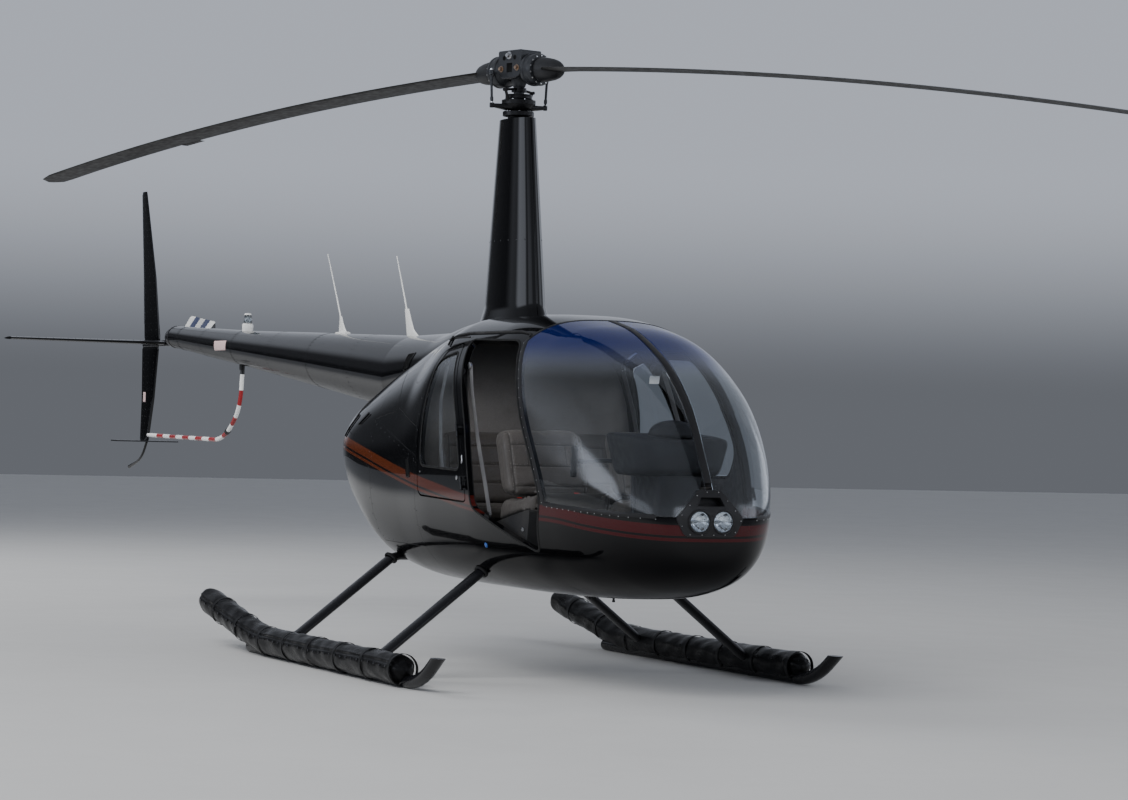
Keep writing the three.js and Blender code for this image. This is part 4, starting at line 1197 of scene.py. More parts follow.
@dataclass
class Cabin:
    """The cabin's outside: frame, nose, roof, doors, glass and the panel round the lamps."""

    rows: int = 14
    step: float = 0.014
    door_centre: tuple = (1.20, 1.22)
    rear_centre: tuple = (0.56, 1.23)

    def cell(self, border: Array, hole: Array, centre: tuple, hand: int, rows: int, grow: float = 0.0) -> Array:
        """A ring-shaped part of the side between a border and a hole.

        Lines run from the border's points towards the centre and end on the hole. Each line's points
        are spaced evenly and lifted onto the body.

        Args:
            border: points of the border.
            hole: points of the hole's outline.
            centre: a point inside the hole.
            hand: 1 for port and -1 for starboard.
            rows: points of each line.
            grow: distance outwards from the body.

        Returns:
            A grid of points that closes on itself.
        """
        inner = ray_hits(hole, np.array(centre), border)
        flat = between(border, inner, rows)
        return BODY.side(flat[..., 0], flat[..., 1], hand, grow)

    def borders(self) -> tuple:
        """The borders of the front and the rear half of a side of the frame.

        Returns:
            Two closed outlines that share the pillar's middle line.
        """
        nose_x = np.interp(TUB_Z, [0.300, 0.640], [1.560, 1.668])
        edge = rounded(SCREEN_EDGE, closed=False)
        pillar = rounded(PILLAR, closed=False)
        front = np.vstack([pillar[::-1], [[0.957, TUB_Z], [nose_x, TUB_Z], [1.668, 0.640]], edge[::-1],
                           [[1.224, ROOF_Z]]])
        rear = np.vstack([pillar, [[CABIN_REAR, ROOF_Z], [CABIN_REAR, TUB_Z]]])
        tidy = lambda p: p[np.linalg.norm(p - np.roll(p, -1, 0), axis=1) > 1e-6]
        return resample(tidy(front), self.step), resample(tidy(rear), self.step)

    def frame(self) -> None:
        """Builds the frame as two welded rings on each side and a belly between their lower edges."""
        front, rear = self.borders()
        doors = [rounded(FRONT_DOOR), rounded(REAR_DOOR)]
        shape = Shape()
        for border, hole, centre in zip((front, rear), doors, (self.door_centre, self.rear_centre)):
            shape.grid(self.cell(border, hole, centre, 1, self.rows), wrap=True)
        shape.mirrored()
        low = np.unique(np.vstack([b[np.abs(b[:, 1] - TUB_Z) < 1e-6] for b in (front, rear)])[:, 0].round(6))
        share = ((low - low[0]) / (low[-1] - low[0]))[:, None]
        v = np.linspace(-1, 1, 61)[None]
        end = np.full(v.shape, low[-1])
        for _ in range(30):
            start_phi = BODY.phi(end, np.full(v.shape, TUB_Z))
            z = BODY.point(end, -np.pi / 2 + v * (start_phi + np.pi / 2))[..., 2]
            end = np.interp(z, [0.300, 0.640], [1.560, 1.668])
        x = low[0] + share * (end - low[0])
        phi = -np.pi / 2 + v * (BODY.phi(x, np.full(x.shape, TUB_Z)) + np.pi / 2)
        shape.grid(BODY.point(x, phi))
        obj = thicken(shape.build("cabin_frame_shell", closed=False, weld=2e-4), WALL)
        dress(obj, PAINT, Body.AIRFRAME, "black_paint", "cabin_frame")

    def nose(self) -> None:
        """Builds the nose bowl below the windshield's sill, open where the lamp panel sits."""
        u = np.r_[np.linspace(1.609, 1.730, 26)[:-1], 1.730 + (2.384 - 1.730) * np.sin(
            np.linspace(0, np.pi / 2, 110)) ** 1.0][:, None]
        rear = np.interp(u, [1.560, 1.668, 1.730], [0.300, 0.640, 0.911])
        sill = np.interp(u, *zip(*SCREEN_SILL))
        seam = np.where(u < 1.730, rear, sill)
        seam = np.minimum(seam, BODY.at(u)[1] - 1e-4)
        v = np.linspace(-1, 1, 141)[None]
        phi = -np.pi / 2 + v * (BODY.phi(u, seam) + np.pi / 2)
        grid = BODY.point(u, phi)
        shape = Shape().grid(grid, keep=self.outside_lamps(grid))
        obj = thicken(shape.build("nose_bowl_shell", closed=False), 0.012)
        dress(obj, PAINT, Body.AIRFRAME, "black_paint", "nose_bowl")

    def outside_lamps(self, grid: Array) -> Array:
        """True for the cells of a grid that the lamp panel doesn't cover, less a lap of 14 mm."""
        middle = (grid[:-1, :-1] + grid[1:, 1:]) / 2
        edge = inset(rounded(LIGHT_PANEL), 0.014)
        ahead = np.roll(edge, -1, 0) - edge
        flat = middle[..., None, 1:] - edge
        side = ahead[:, 0] * flat[..., 1] - ahead[:, 1] * flat[..., 0]
        inside = (side < 0).all(-1) | (side > 0).all(-1)
        return ~(inside & (middle[..., 0] > 2.2))

    def screens(self) -> None:
        """Builds both windshield panes, each from its seam up to the strip in the middle."""
        edge = rounded(SCREEN_EDGE, closed=False)
        u = np.r_[np.linspace(1.2255, 1.730, 70)[:-1], 1.730 + (2.384 - 1.730) * np.sin(
            np.linspace(0, np.pi / 2, 90))][:, None]
        low = np.where(u < 1.730, np.interp(u, edge[:, 0], edge[:, 1]), np.interp(u, *zip(*SCREEN_SILL)))
        low = low + 0.0006
        top = BODY.at(u)[1]
        low = np.minimum(low, top - 1e-4)
        start = BODY.phi(u, low)
        _, top, half, widest, upper, _ = BODY.at(u)
        rise = (top - widest) * np.clip(1 - (STRIP_HALF / half) ** upper, 0, 1) ** (1 / upper)
        stop = np.arctan2(rise, STRIP_HALF)
        v = np.linspace(0, 1, 80)[None]
        phi = start + v * (np.maximum(stop, start) - start)
        for hand in Hand:
            grid = BODY.point(u, phi) * [1, hand.value, 1]
            shape = Shape().grid(grid, keep=self.outside_lamps(grid))
            name = f"windshield_{hand.word}"
            obj = thicken(shape.build(f"{name}_pane", closed=False), 0.005, 0)
            obj.visible_shadow = False
            dress(obj, SCREEN, Body.AIRFRAME, "clear", name)

    def strip(self) -> None:
        """Builds the strip between the panes, a low bar that is proud of the glass."""
        x = np.r_[np.linspace(1.228, 2.2, 60), np.linspace(2.2, 2.335, 30)[1:]]
        path = BODY.point(x, np.pi / 2)
        up = surface_normals(lambda a, b: BODY.point(a, b), x, np.full(x.shape, np.pi / 2))
        up *= np.sign(up[:, 2:])
        section = np.array([(-.018, -.014), (.018, -.014), (.018, .002), (.014, .004), (-.014, .004), (-.018, .002)])
        obj = sharpen(Shape().tube(carried(path, section, up)).build("windshield_strip_bar"))
        dress(obj, TRIM, Body.AIRFRAME, "dark_trim", "windshield_strip")

    def roof(self) -> None:
        """Builds the roof between its two seams."""
        u = np.linspace(CABIN_REAR + 0.0005, 1.2245, 70)[:, None]
        start = BODY.phi(u, np.full(u.shape, ROOF_Z + 0.0006))
        v = np.linspace(0, 1, 90)[None]
        grid = BODY.point(u, start + v * (np.pi - 2 * start))
        obj = thicken(Shape().grid(grid).build("cabin_roof_shell", closed=False), WALL)
        dress(obj, PLAIN_PAINT, Body.AIRFRAME, "black_paint", "cabin_roof")

    def door(self, name: str, hand: Hand, body: Body) -> None:
        """Builds a door as a ring round its window, the window and the rubber between them.

        Args:
            name: front or rear.
            hand: the side.
            body: the body that the door is.
        """
        outline, window, centre = {
            "front": (FRONT_DOOR, FRONT_WINDOW, self.door_centre),
            "rear": (REAR_DOOR, REAR_WINDOW, self.rear_centre)}[name]
        border = resample(inset(rounded(outline), DOOR_GAP), self.step)
        hole = rounded(window)
        side = hand.value
        shape = Shape().grid(self.cell(border, hole, centre, side, 16), wrap=True)
        obj = thicken(shape.build(f"door_{name}_{hand.word}_panel", closed=False), WALL)
        dress(obj, PAINT, body, "black_paint", f"door_{name}_{hand.word}")
        rim = resample(inset(hole, 0.0006), self.step)
        flat = between(rim, np.broadcast_to(np.array(centre), rim.shape), 26)
        pane = Shape().grid(BODY.side(flat[..., 0], flat[..., 1], side, -0.002), wrap=True)
        obj = thicken(pane.build(f"window_{name}_{hand.word}_pane", closed=False), 0.005, 0)
        obj.visible_shadow = False
        dress(obj, PANE, body, "clear", f"window_{name}_{hand.word}")
        self.rubber(f"window_{name}_{hand.word}_rubber", hole, side, body, 0.0)
        self.rubber(f"door_{name}_{hand.word}_rubber", inset(rounded(outline), 0.012), side, body, -0.024)

    def rubber(self, name: str, outline: Array, side: int, body: Body, grow: float) -> None:
        """Builds a rubber strip that follows an outline on the body.

        Args:
            name: the piece's name.
            outline: the outline's points.
            side: the sign of Y.
            body: the body that it rides on.
            grow: distance outwards from the body.
        """
        flat = resample(outline, self.step)
        path = BODY.side(flat[:, 0], flat[:, 1], side, grow)
        up = surface_normals(lambda a, b: BODY.side(a, b, side), flat[:, 0], flat[:, 1])
        up *= np.sign(up[:, 1:2]) * side
        looped = np.vstack([path[-1:], path, path[:1]])
        rings = carried(looped, circle(10) * [0.0065, 0.0028], np.vstack([up[-1:], up, up[:1]]))[1:-1]
        shape = Shape().grid(np.concatenate([rings, rings[:1]]), wrap=True)
        dress(shape.build(name), RUBBER, body, "dark_trim")

    def screw_rows(self) -> None:
        """Places rows of screw heads along the windshield's edges and the lamp panel."""
        centres, normals = [], []
        edge = evenly(rounded(((1.216, 1.690, 0), (1.356, 1.528, .12), (1.616, 1.137, .12), (1.708, 0.918, 0)),
                              closed=False), 0.058, closed=False)
        sill = np.stack([np.linspace(1.75, 2.33, 15), np.linspace(0.899, 0.866, 15)], 1)
        for row in (edge, sill):
            for side in (1, -1):
                p = BODY.side(row[:, 0], row[:, 1], side)
                n = surface_normals(lambda a, b: BODY.side(a, b, side), row[:, 0], row[:, 1])
                centres.append(p)
                normals.append(n * np.sign(n[:, 1:2]) * side)
        lamp = evenly(inset(rounded(LIGHT_PANEL), 0.011), 0.062)
        x = BODY.ahead(lamp[:, 0], lamp[:, 1])
        n = surface_normals(lambda a, b: np.stack([BODY.ahead(a, b), a, b], -1), lamp[:, 0], lamp[:, 1])
        n *= np.sign(n[:, :1])
        centres.append(np.stack([x, lamp[:, 0], lamp[:, 1]], 1) + 0.004 * n)
        normals.append(n)
        shape = beads(np.vstack(centres), np.vstack(normals), 0.0027, 0.0030)
        dress(shape.build("windshield_screws"), SCREWS, Body.AIRFRAME, "bare_metal")

    def build(self) -> None:
        """Builds all of the cabin's outside."""
        self.frame()
        self.nose()
        self.screens()
        self.strip()
        self.roof()
        self.door("front", Hand.LEFT, Body.DOOR_FRONT_LEFT)
        self.door("rear", Hand.LEFT, Body.DOOR_REAR_LEFT)
        self.door("rear", Hand.RIGHT, Body.DOOR_REAR_RIGHT)
        self.screw_rows()


@dataclass
class Lamps:
    """The panel at the tip of the nose with its two landing lights and the notch above them."""

    lamp_y: float = 0.061
    lamp_z: float = 0.858
    radius: float = 0.050
    notch: tuple = ((-0.072, 0.930, .004), (0.072, 0.930, .004), (0.050, 0.972, .004), (-0.050, 0.972, .004))

    def skin(self, y: Array, z: Array, proud: float) -> Array:
        """Points of the nose's surface at y and z, moved ahead."""
        return np.stack([BODY.ahead(y, z) + proud, y, z], -1)

    def plate(self) -> None:
        """Builds the plate as a ring from its outline to a line between the lamps, less its holes."""
        edge = resample(rounded(LIGHT_PANEL), 0.006)
        core = np.stack([edge[:, 0] * 0.02, 0.885 + (edge[:, 1] - 0.885) * 0.02], 1)
        flat = between(edge, core, 60)
        y, z = flat[..., 0], flat[..., 1]
        grid = self.skin(y, z, 0.004)
        middle = (grid[:-1] + grid[1:]) / 2
        lamp = np.hypot(np.abs(middle[..., 1]) - self.lamp_y, middle[..., 2] - self.lamp_z) < self.radius + 0.004
        share = (middle[..., 2] - 0.930) / 0.042
        notch = (np.abs(middle[..., 1]) < 0.074 - 0.022 * share) & (share > 0) & (share < 1)
        shape = Shape().grid(grid, wrap=True, keep=~(lamp | notch))
        shape.grid(np.stack([grid[0], grid[0] - [0.03, 0, 0]]), wrap=True)
        obj = sharpen(shape.build("light_panel_plate", closed=False, axis=(0, 0.88)))
        wall = obj.modifiers.new("wall", "SOLIDIFY")
        wall.thickness = 0.003
        wall.offset = -1
        dress(obj, TRIM, Body.AIRFRAME, "dark_trim", "light_panel")

    def pocket(self) -> None:
        """Builds the notch's rim and the dark pocket behind it."""
        outer = rounded(self.notch, steps=3)
        rings = [self.skin(*inset(outer, d).T, x) for d, x in ((-.005, .003), (-.004, .0065), (0, .0065), (.001, .003))]
        back = self.skin(*inset(outer, .001).T, -0.045)
        shape = Shape().grid(np.stack(rings + [back]), wrap=True).fan(back, back.mean(0))
        dress(sharpen(shape.build("light_panel_notch", closed=False, axis=(0, 0.95))), TRIM, Body.AIRFRAME, "dark_trim")

    def lamp(self, hand: Hand) -> None:
        """Builds one lamp: rim, fluted bowl, bulb and domed glass with a bar across.

        The bowl's depth rises with the square of the radius.

        Args:
            hand: the side.
        """
        centre = (0.0, hand.value * self.lamp_y, self.lamp_z)
        face = float(self.skin(np.array(centre[1]), np.array(centre[2]), 0)[0])
        ahead = (1, 0, 0)
        r = self.radius
        rim = lathe([(face - .030, r - .001), (face + .004, r - .001), (face + .0085, r + .002), (face + .0085, r + .006),
                     (face + .003, r + .009), (face - .030, r + .009)], centre, ahead, 48)
        obj = sharpen(Shape().grid(np.concatenate([rim, rim[:1]]), wrap=True).build(f"landing_light_{hand.word}_rim"))
        dress(obj, TRIM, Body.AIRFRAME, "dark_trim")
        t = np.linspace(0.02, 1, 18)
        bowl = lathe(np.stack([face - .036 + .032 * t ** 2, (r - .0015) * t], 1), centre, ahead, 64)
        wave = 1 + 0.012 * np.cos(np.arange(64) * TAU / 64 * 16)[None, :, None]
        bowl[..., 1:] = np.array(centre)[1:] + (bowl[..., 1:] - np.array(centre)[1:]) * wave
        shape = Shape().grid(bowl, wrap=True).fan(bowl[0], bowl[0].mean(0))
        back = bowl - [0.0012, 0, 0]
        shape.grid(back, wrap=True).fan(back[0], back[0].mean(0)).grid(np.stack([bowl[-1], back[-1]]), wrap=True)
        dress(shape.build(f"landing_light_{hand.word}_bowl"), CHROME, Body.AIRFRAME, "bare_metal")
        bulb = lathe([(face - .036, .006), (face - .022, .007), (face - .016, .005), (face - .014, 0.0005)],
                     centre, ahead, 20)
        bar = lathe([(-r + .002, .0022), (r - .002, .0022)], (face - .002, centre[1], centre[2]), (0, 1, 0), 10)
        obj = Shape().tube(bulb).tube(bar).build(f"landing_light_{hand.word}_bulb")
        dress(obj, SCREWS, Body.AIRFRAME, "bare_metal")
        t = np.linspace(1, 0.01, 14)
        dome = [(face + .004 + .006 * (1 - s * s), (r - .0015) * s) for s in t]
        inner = [(x - .003, rad) for x, rad in dome[::-1]]
        glass = lathe(dome + inner, centre, ahead, 48)
        shape = Shape().grid(np.concatenate([glass, glass[:1]]), wrap=True)
        dress(shape.build(f"landing_light_{hand.word}_glass"), PANE, Body.AIRFRAME, "lamp_glass",
              f"landing_light_{hand.word}")

    def build(self) -> None:
        """Builds the panel and both lamps."""
        self.plate()
        self.pocket()
        for hand in Hand:
            self.lamp(hand)


@dataclass
class EngineBay:
    """The panels round the engine, the rear cowl and the fairing to the boom."""

    seam: tuple = ((0.214, 1.112), (-0.530, 1.298))
    low: float = 0.640

    def seam_z(self, x: Array) -> Array:
        """Height of the slanted seam at station x."""
        (x0, z0), (x1, z1) = self.seam
        return z0 + (x - x0) * (z1 - z0) / (x1 - x0)

    def sides(self) -> None:
        """Builds the side panels between the slanted seam and the belly seam."""
        for hand in Hand:
            x = np.linspace(0.2135, -0.5295, 60)[:, None]
            t = np.linspace(0, 1, 50)[None]
            z = self.low + 0.0006 + t * (self.seam_z(x) - self.low - 0.0012)
            grid = BODY.side(x, z, hand.value)
            name = f"side_panel_{hand.word}"
            obj = thicken(Shape().grid(grid).build(f"{name}_shell", closed=False), WALL)
            dress(obj, PAINT, Body.AIRFRAME, "black_paint", name)

    def over(self) -> None:
        """Builds the upper cowl from one slanted seam over the top to the other."""
        x = np.linspace(0.2135, -0.5295, 60)[:, None]
        start = BODY.phi(x, self.seam_z(x) + 0.0006)
        v = np.linspace(0, 1, 120)[None]
        grid = BODY.point(x, start + v * (np.pi - 2 * start))
        obj = thicken(Shape().grid(grid).build("upper_cowl_shell", closed=False), WALL)
        dress(obj, PAINT, Body.AIRFRAME, "black_paint", "upper_cowl")

    def belly(self) -> None:
        """Builds the belly panel between its two seams."""
        x = np.linspace(0.2135, -0.5295, 50)[:, None]
        start = BODY.phi(x, np.full(x.shape, self.low - 0.0006))
        v = np.linspace(-1, 1, 70)[None]
        grid = BODY.point(x, -np.pi / 2 + v * (start + np.pi / 2))
        obj = thicken(Shape().grid(grid).build("belly_panel_shell", closed=False), WALL)
        dress(obj, PLAIN_PAINT, Body.AIRFRAME, "black_paint", "belly_panel")

    def rear(self) -> None:
        """Builds the rear cowl as full sections that close to a small blunt tail."""
        s = np.linspace(0, 1, 70)
        x = (-0.5305 - (1.510 - 0.5305) * np.sin(s * np.pi / 2))[:, None]
        phi = np.linspace(0, TAU, 145)[None, :-1]
        grid = BODY.point(x, phi)
        shape = Shape().grid(grid, wrap=True).fan(grid[-1], grid[-1].mean(0))
        obj = thicken(shape.build("rear_cowl_shell", closed=False), 0.012)
        dress(obj, PAINT, Body.AIRFRAME, "black_paint", "rear_cowl")

    def fairing(self) -> None:
        """Builds the fairing that carries the roof line back to the boom."""
        s = np.linspace(0, 1, 60)
        x = (0.1995 - 1.4895 * s ** 1.2)[:, None]
        phi = np.linspace(0, TAU, 121)[None, :-1]
        grid = SPINE.point(x, phi)
        shape = Shape().tube(grid)
        dress(sharpen(shape.build("boom_fairing_shell"), 40), PLAIN_PAINT, Body.AIRFRAME, "black_paint", "boom_fairing")

    def build(self) -> None:
        """Builds every panel behind the cabin."""
        self.sides()
        self.over()
        self.belly()
        self.rear()
        self.fairing()


@dataclass
class Tail:
    """The boom, its fins, guard, plates, aerials and beacon."""

    fin_y: float = -0.012
    # Columns: x of the leading edge, y, z, chord, thickness
    lower: tuple = ((-6.410, -.012, 1.090, .205, .018), (-6.300, -.012, 1.387, .300, .022),
                    (-6.222, -.012, 1.7627, .396, .026))
    upper: tuple = ((-6.195, -.012, 1.8033, .374, .028), (-6.325, -.012, 2.250, .293, .021),
                    (-6.602, -.012, 2.880, .110, .012))
    stabilizer: tuple = ((-6.010, -1.130, 1.783, .235, .020), (-5.990, -.0303, 1.783, .270, .030))
    # Front and rear edge of each blade, with columns x, z and corner radius, and both ends of the whips
    aerials: tuple = (
        ("front", (((-1.327, 1.758, 0), (-1.340, 1.776, .008), (-1.412, 1.810, .03), (-1.464, 1.880, .03),
                    (-1.499, 1.934, 0)), ((-1.519, 1.758, 0), (-1.519, 1.776, .01), (-1.561, 1.934, 0))),
         ((-1.530, 1.922), (-1.7085, 2.2395))),
        ("rear", (((-2.499, 1.800, 0), (-2.506, 1.816, .008), (-2.534, 1.838, .02), (-2.572, 1.876, .02),
                   (-2.590, 1.909, 0)), ((-2.638, 1.800, 0), (-2.636, 1.816, .008), (-2.625, 1.909, 0))),
         ((-2.608, 1.897), (-2.8635, 2.2925))))
    beacon_x: float = -4.340

    def boom_at(self, x: Array) -> tuple:
        """Height of the boom's centre and its radius at station x."""
        rows = np.array(BOOM)[::-1]
        return np.interp(x, rows[:, 0], rows[:, 1]), np.interp(x, rows[:, 0], rows[:, 2])

    def boom(self) -> None:
        """Builds the boom as rings with a fine lap joint at each frame."""
        joints = np.array([-1.95, -2.75, -3.55, -4.35, -5.05, -5.60])
        x = np.unique(np.r_[np.linspace(-1.150, -5.820, 90), joints - .0003, joints + .0003])[::-1]
        z, r = self.boom_at(x)
        r = r - 0.0008 * (np.searchsorted(-joints, -x) % 2)
        ring = circle(96)
        rings = np.stack([np.broadcast_to(x[:, None], (len(x), 96)), ring[:, 0] * r[:, None],
                          z[:, None] + ring[:, 1] * r[:, None]], -1)
        dress(sharpen(Shape().tube(rings).build("tail_boom_skin"), 40), BOOM_PAINT, Body.AIRFRAME, "black_paint",
              "tail_boom")
        rows = np.sort(np.r_[joints + .018, joints - .018])
        angle = np.arange(44) * TAU / 44
        xs, angles = (a.ravel() for a in np.meshgrid(rows, angle, indexing="ij"))
        z, r = self.boom_at(xs)
        out = np.stack([np.zeros_like(xs), np.cos(angles), np.sin(angles)], 1)
        centres = np.stack([xs, r * out[:, 1], z + r * out[:, 2]], 1) - 0.0006 * out
        dress(beads(centres, out, 0.0034, 0.0013, 6).build("tail_boom_rivets"), BOOM_PAINT, Body.AIRFRAME,
              "black_paint")

    def foil(self, rows: tuple, flat: bool, name: str, node: str) -> None:
        """Builds a fin: rounded nose, fine trailing edge, chord and thickness eased between rows.

        Args:
            rows: the fin's table.
            flat: true when it lies flat.
            name: the piece's name.
            node: the node that it replaces.
        """
        table = np.array(rows)
        order = np.argsort(table[:, 1] if flat else table[:, 2])
        key = (table[:, 1] if flat else table[:, 2])[order]
        along = np.linspace(key[0], key[-1], 40)
        column = [np.interp(along, key, table[order, k]) for k in range(5)]
        t = np.linspace(0, 1, 24) ** 1.6
        half = 1.4845 * np.sqrt(t) - 0.63 * t - 1.758 * t ** 2 + 1.4215 * t ** 3 - 0.518 * t ** 4
        chordwise = np.r_[t, t[-2:0:-1]]
        lift = np.r_[half, -half[-2:0:-1]]
        x = column[0][:, None] - chordwise * column[3][:, None]
        off = lift * column[4][:, None]
        y = column[1][:, None] + (0 if flat else off)
        z = column[2][:, None] + (off if flat else 0)
        rings = np.stack(np.broadcast_arrays(x, y, z), -1)
        ends = np.ones((len(along), 1, 1))
        middle = rings.mean(1, keepdims=True)
        for k, scale in ((0, 0.93), (-1, 0.93)):
            ends[k] = scale
        rings = middle + (rings - middle) * ends
        dress(sharpen(Shape().tube(rings).build(name), 50), PLAIN_PAINT, Body.AIRFRAME, "black_paint", node)

    def fin_details(self) -> None:
        """Builds rivet rows on both fins and the stabilizer, and the pale strip behind the upper fin."""
        centres, normals = [], []
        for rows, shares in ((self.upper, (.12, .42, .88)), (self.lower, (.15, .50, .86))):
            table = np.array(rows)
            order = np.argsort(table[:, 2])
            z = np.arange(table[:, 2].min() + .03, table[:, 2].max() - .02, .048)
            lead, chord, thick = (np.interp(z, table[order, 2], table[order, k]) for k in (0, 3, 4))
            for share in shares:
                half = (1.4845 * np.sqrt(share) - 0.63 * share - 1.758 * share ** 2 + 1.4215 * share ** 3
                        - 0.518 * share ** 4) * thick
                for side in (1, -1):
                    centres.append(np.stack([lead - share * chord, self.fin_y + side * half, z], 1))
                    normals.append(np.tile([0.0, side, 0.0], (len(z), 1)))
        y = np.arange(-1.09, -.06, .052)
        for share in (.15, .45, .85):
            lead, chord = (np.interp(y, [-1.130, -.0303], p) for p in ((-6.010, -5.990), (.235, .270)))
            thick = np.interp(y, [-1.130, -.0303], (.020, .030))
            half = (1.4845 * np.sqrt(share) - 0.63 * share - 1.758 * share ** 2 + 1.4215 * share ** 3
                    - 0.518 * share ** 4) * thick
            for up in (1, -1):
                centres.append(np.stack([lead - share * chord, y, 1.783 + up * half], 1))
                normals.append(np.tile([0.0, 0.0, up], (len(y), 1)))
        shape = beads(np.vstack(centres), np.vstack(normals), .0028, .0009)
        dress(shape.build("fin_rivets"), DARK_SCREWS, Body.AIRFRAME, "bare_metal")
        table = np.array(self.upper)
        z = np.linspace(1.93, 2.862, 40)
        x = np.interp(z, table[:, 2], table[:, 0] - table[:, 3])
        section = np.array([(-.0035, -.0025), (.0035, -.0025), (.0035, .0020), (-.0035, .0020)])
        path = np.stack([x + .0036, np.full(z.shape, self.fin_y), z], 1)
        obj = sharpen(Shape().tube(carried(path, section, np.array([-1.0, 0, 0]))).build("fin_upper_strip"))
        dress(obj, CAST, Body.AIRFRAME, "bare_metal")

    def plates(self) -> None:
        """Builds the two small plates on the starboard side of the boom and of the lower fin, both blank."""
        x, z = np.meshgrid(np.linspace(-4.708, -4.452, 24), np.linspace(1.716, 1.780, 10), indexing="ij")
        middle, r = self.boom_at(x)
        boom = np.stack([x, -np.sqrt((r + .0011) ** 2 - (z - middle) ** 2), z], -1)
        x, z = np.meshgrid(np.linspace(-6.538, -6.478, 8), np.linspace(1.366, 1.436, 8), indexing="ij")
        fin = np.stack([x, self.fin_y - .0082 - .030 * (x + 6.538), z], -1)
        for name, points, height in (("tail_boom_plate", boom, 1.70), ("fin_lower_plate", fin, 1.40)):
            obj = Shape().grid(points).build(name, closed=False, axis=(0.3, height))
            thin = obj.modifiers.new("thin", "SOLIDIFY")
            thin.thickness = 0.0006
            dress(obj, BLANK_PLATE, Body.AIRFRAME, "white_paint")

    def guard(self) -> None:
        """Builds the guard tube, white with red bands."""
        path = bent([(-4.413, 0, 1.640, 0), (-4.413, -.012, 1.340, .13), (-4.716, -.012, 1.122, .215),
                     (-6.412, -.012, 1.131, 0)], pieces=60)
        rings = carried(path, circle(20, 0.014), np.array([0.0, 1.0, 0.0]))
        finish = Banded("guard_bands", steps=(.080, .185, .285, .385, .470, .560, .660, .80, .945, 1.09, 1.235,
                                              1.38, 1.525, 1.67, 1.815, 1.96, 2.11))
        tube = Shape().tube(rings).build("tail_guard_tube")
        gap = np.linalg.norm((read_points(tube.data) - [SHIFT, 0, 0])[:, None] - path[None], axis=2)
        along = np.concatenate([[0], np.cumsum(np.linalg.norm(np.diff(path, axis=0), axis=1))])
        mark(tube.data, "along", along[np.argmin(gap, axis=1)])
        dress(tube, finish, Body.AIRFRAME, "white_paint", "tail_guard")
        clamp, base = Shape(), np.array([-4.413, -.006, 1.640])
        clamp.tube(lathe([(-.034, .024), (-.030, .027), (-.014, .027), (-.012, .019), (.030, .0175), (.032, .0145)],
                         base + [0, 0, -.020], (0, 0, -1), 32))
        middle = np.argmin(np.abs(along - .575))
        ahead = (path[middle + 1] - path[middle - 1]) / np.linalg.norm(path[middle + 1] - path[middle - 1])
        clamp.tube(lathe([(-.016, .0146), (-.014, .019), (.014, .019), (.016, .0146)], path[middle], ahead, 28))
        dress(sharpen(clamp.build("guard_clamps")), TRIM, Body.AIRFRAME, "dark_trim")

    def aerial(self) -> None:
        """Builds the two aerials: a thin swept blade on a foot plate, and the whip above it."""
        for name, blade, whip in self.aerials:
            t = np.linspace(0, 1, 60)
            front, rear = (evenly(rounded(edge, closed=False), 1e-3, closed=False) for edge in blade)
            front, rear = (np.stack([np.interp(t, np.linspace(0, 1, len(e)), e[:, k]) for k in (0, 1)], 1)
                           for e in (front, rear))
            turn = circle(28)
            thick = np.interp(t, [0, .06, .9, 1], [.0075, .0062, .0050, .0035])[:, None]
            place = (1 + np.sign(turn[:, :1]).T * np.abs(turn[:, :1].T) ** .8) / 2
            x = rear[:, :1] + (front[:, :1] - rear[:, :1]) * place
            z = rear[:, 1:] + (front[:, 1:] - rear[:, 1:]) * place
            shape = Shape().tube(np.stack([x, turn[:, 1] * thick, z], -1))
            plate = rounded(((rear[0, 0] - .012, -.024, .02), (front[0, 0] + .012, -.024, .02),
                             (front[0, 0] + .012, .024, .02), (rear[0, 0] - .012, .024, .02)), steps=6)
            lift = float(front[0, 1]) + .0135
            sag = np.abs(plate[:, 1]) * .10
            shape.tube(np.stack([np.c_[plate * [1, s], lift + h - sag] for h, s in ((-.012, 1), (-.002, 1), (.002, .9))]))
            t = np.linspace(0, 1, 30)[:, None]
            (x0, z0), (x1, z1) = whip
            path = np.concatenate([x0 + (x1 - x0) * t ** 1.04, 0 * t, z0 + (z1 - z0) * t], 1)
            wide = 0.0052 - 0.0024 * t
            shape.tube(carried(path, circle(14)[None] * wide[..., None], np.array([0.0, 1.0, 0.0])))
            tip = lathe([(-.004, .001), (-.002, .0042), (.004, .0042), (.006, .001)], (x1, 0, z1), (x1 - x0, 0, z1 - z0), 14)
            shape.tube(tip)
            dress(sharpen(shape.build(f"aerial_{name}_whip"), 50), WHITE_GEL, Body.AIRFRAME, "white_plastic",
                  f"aerial_{name}")

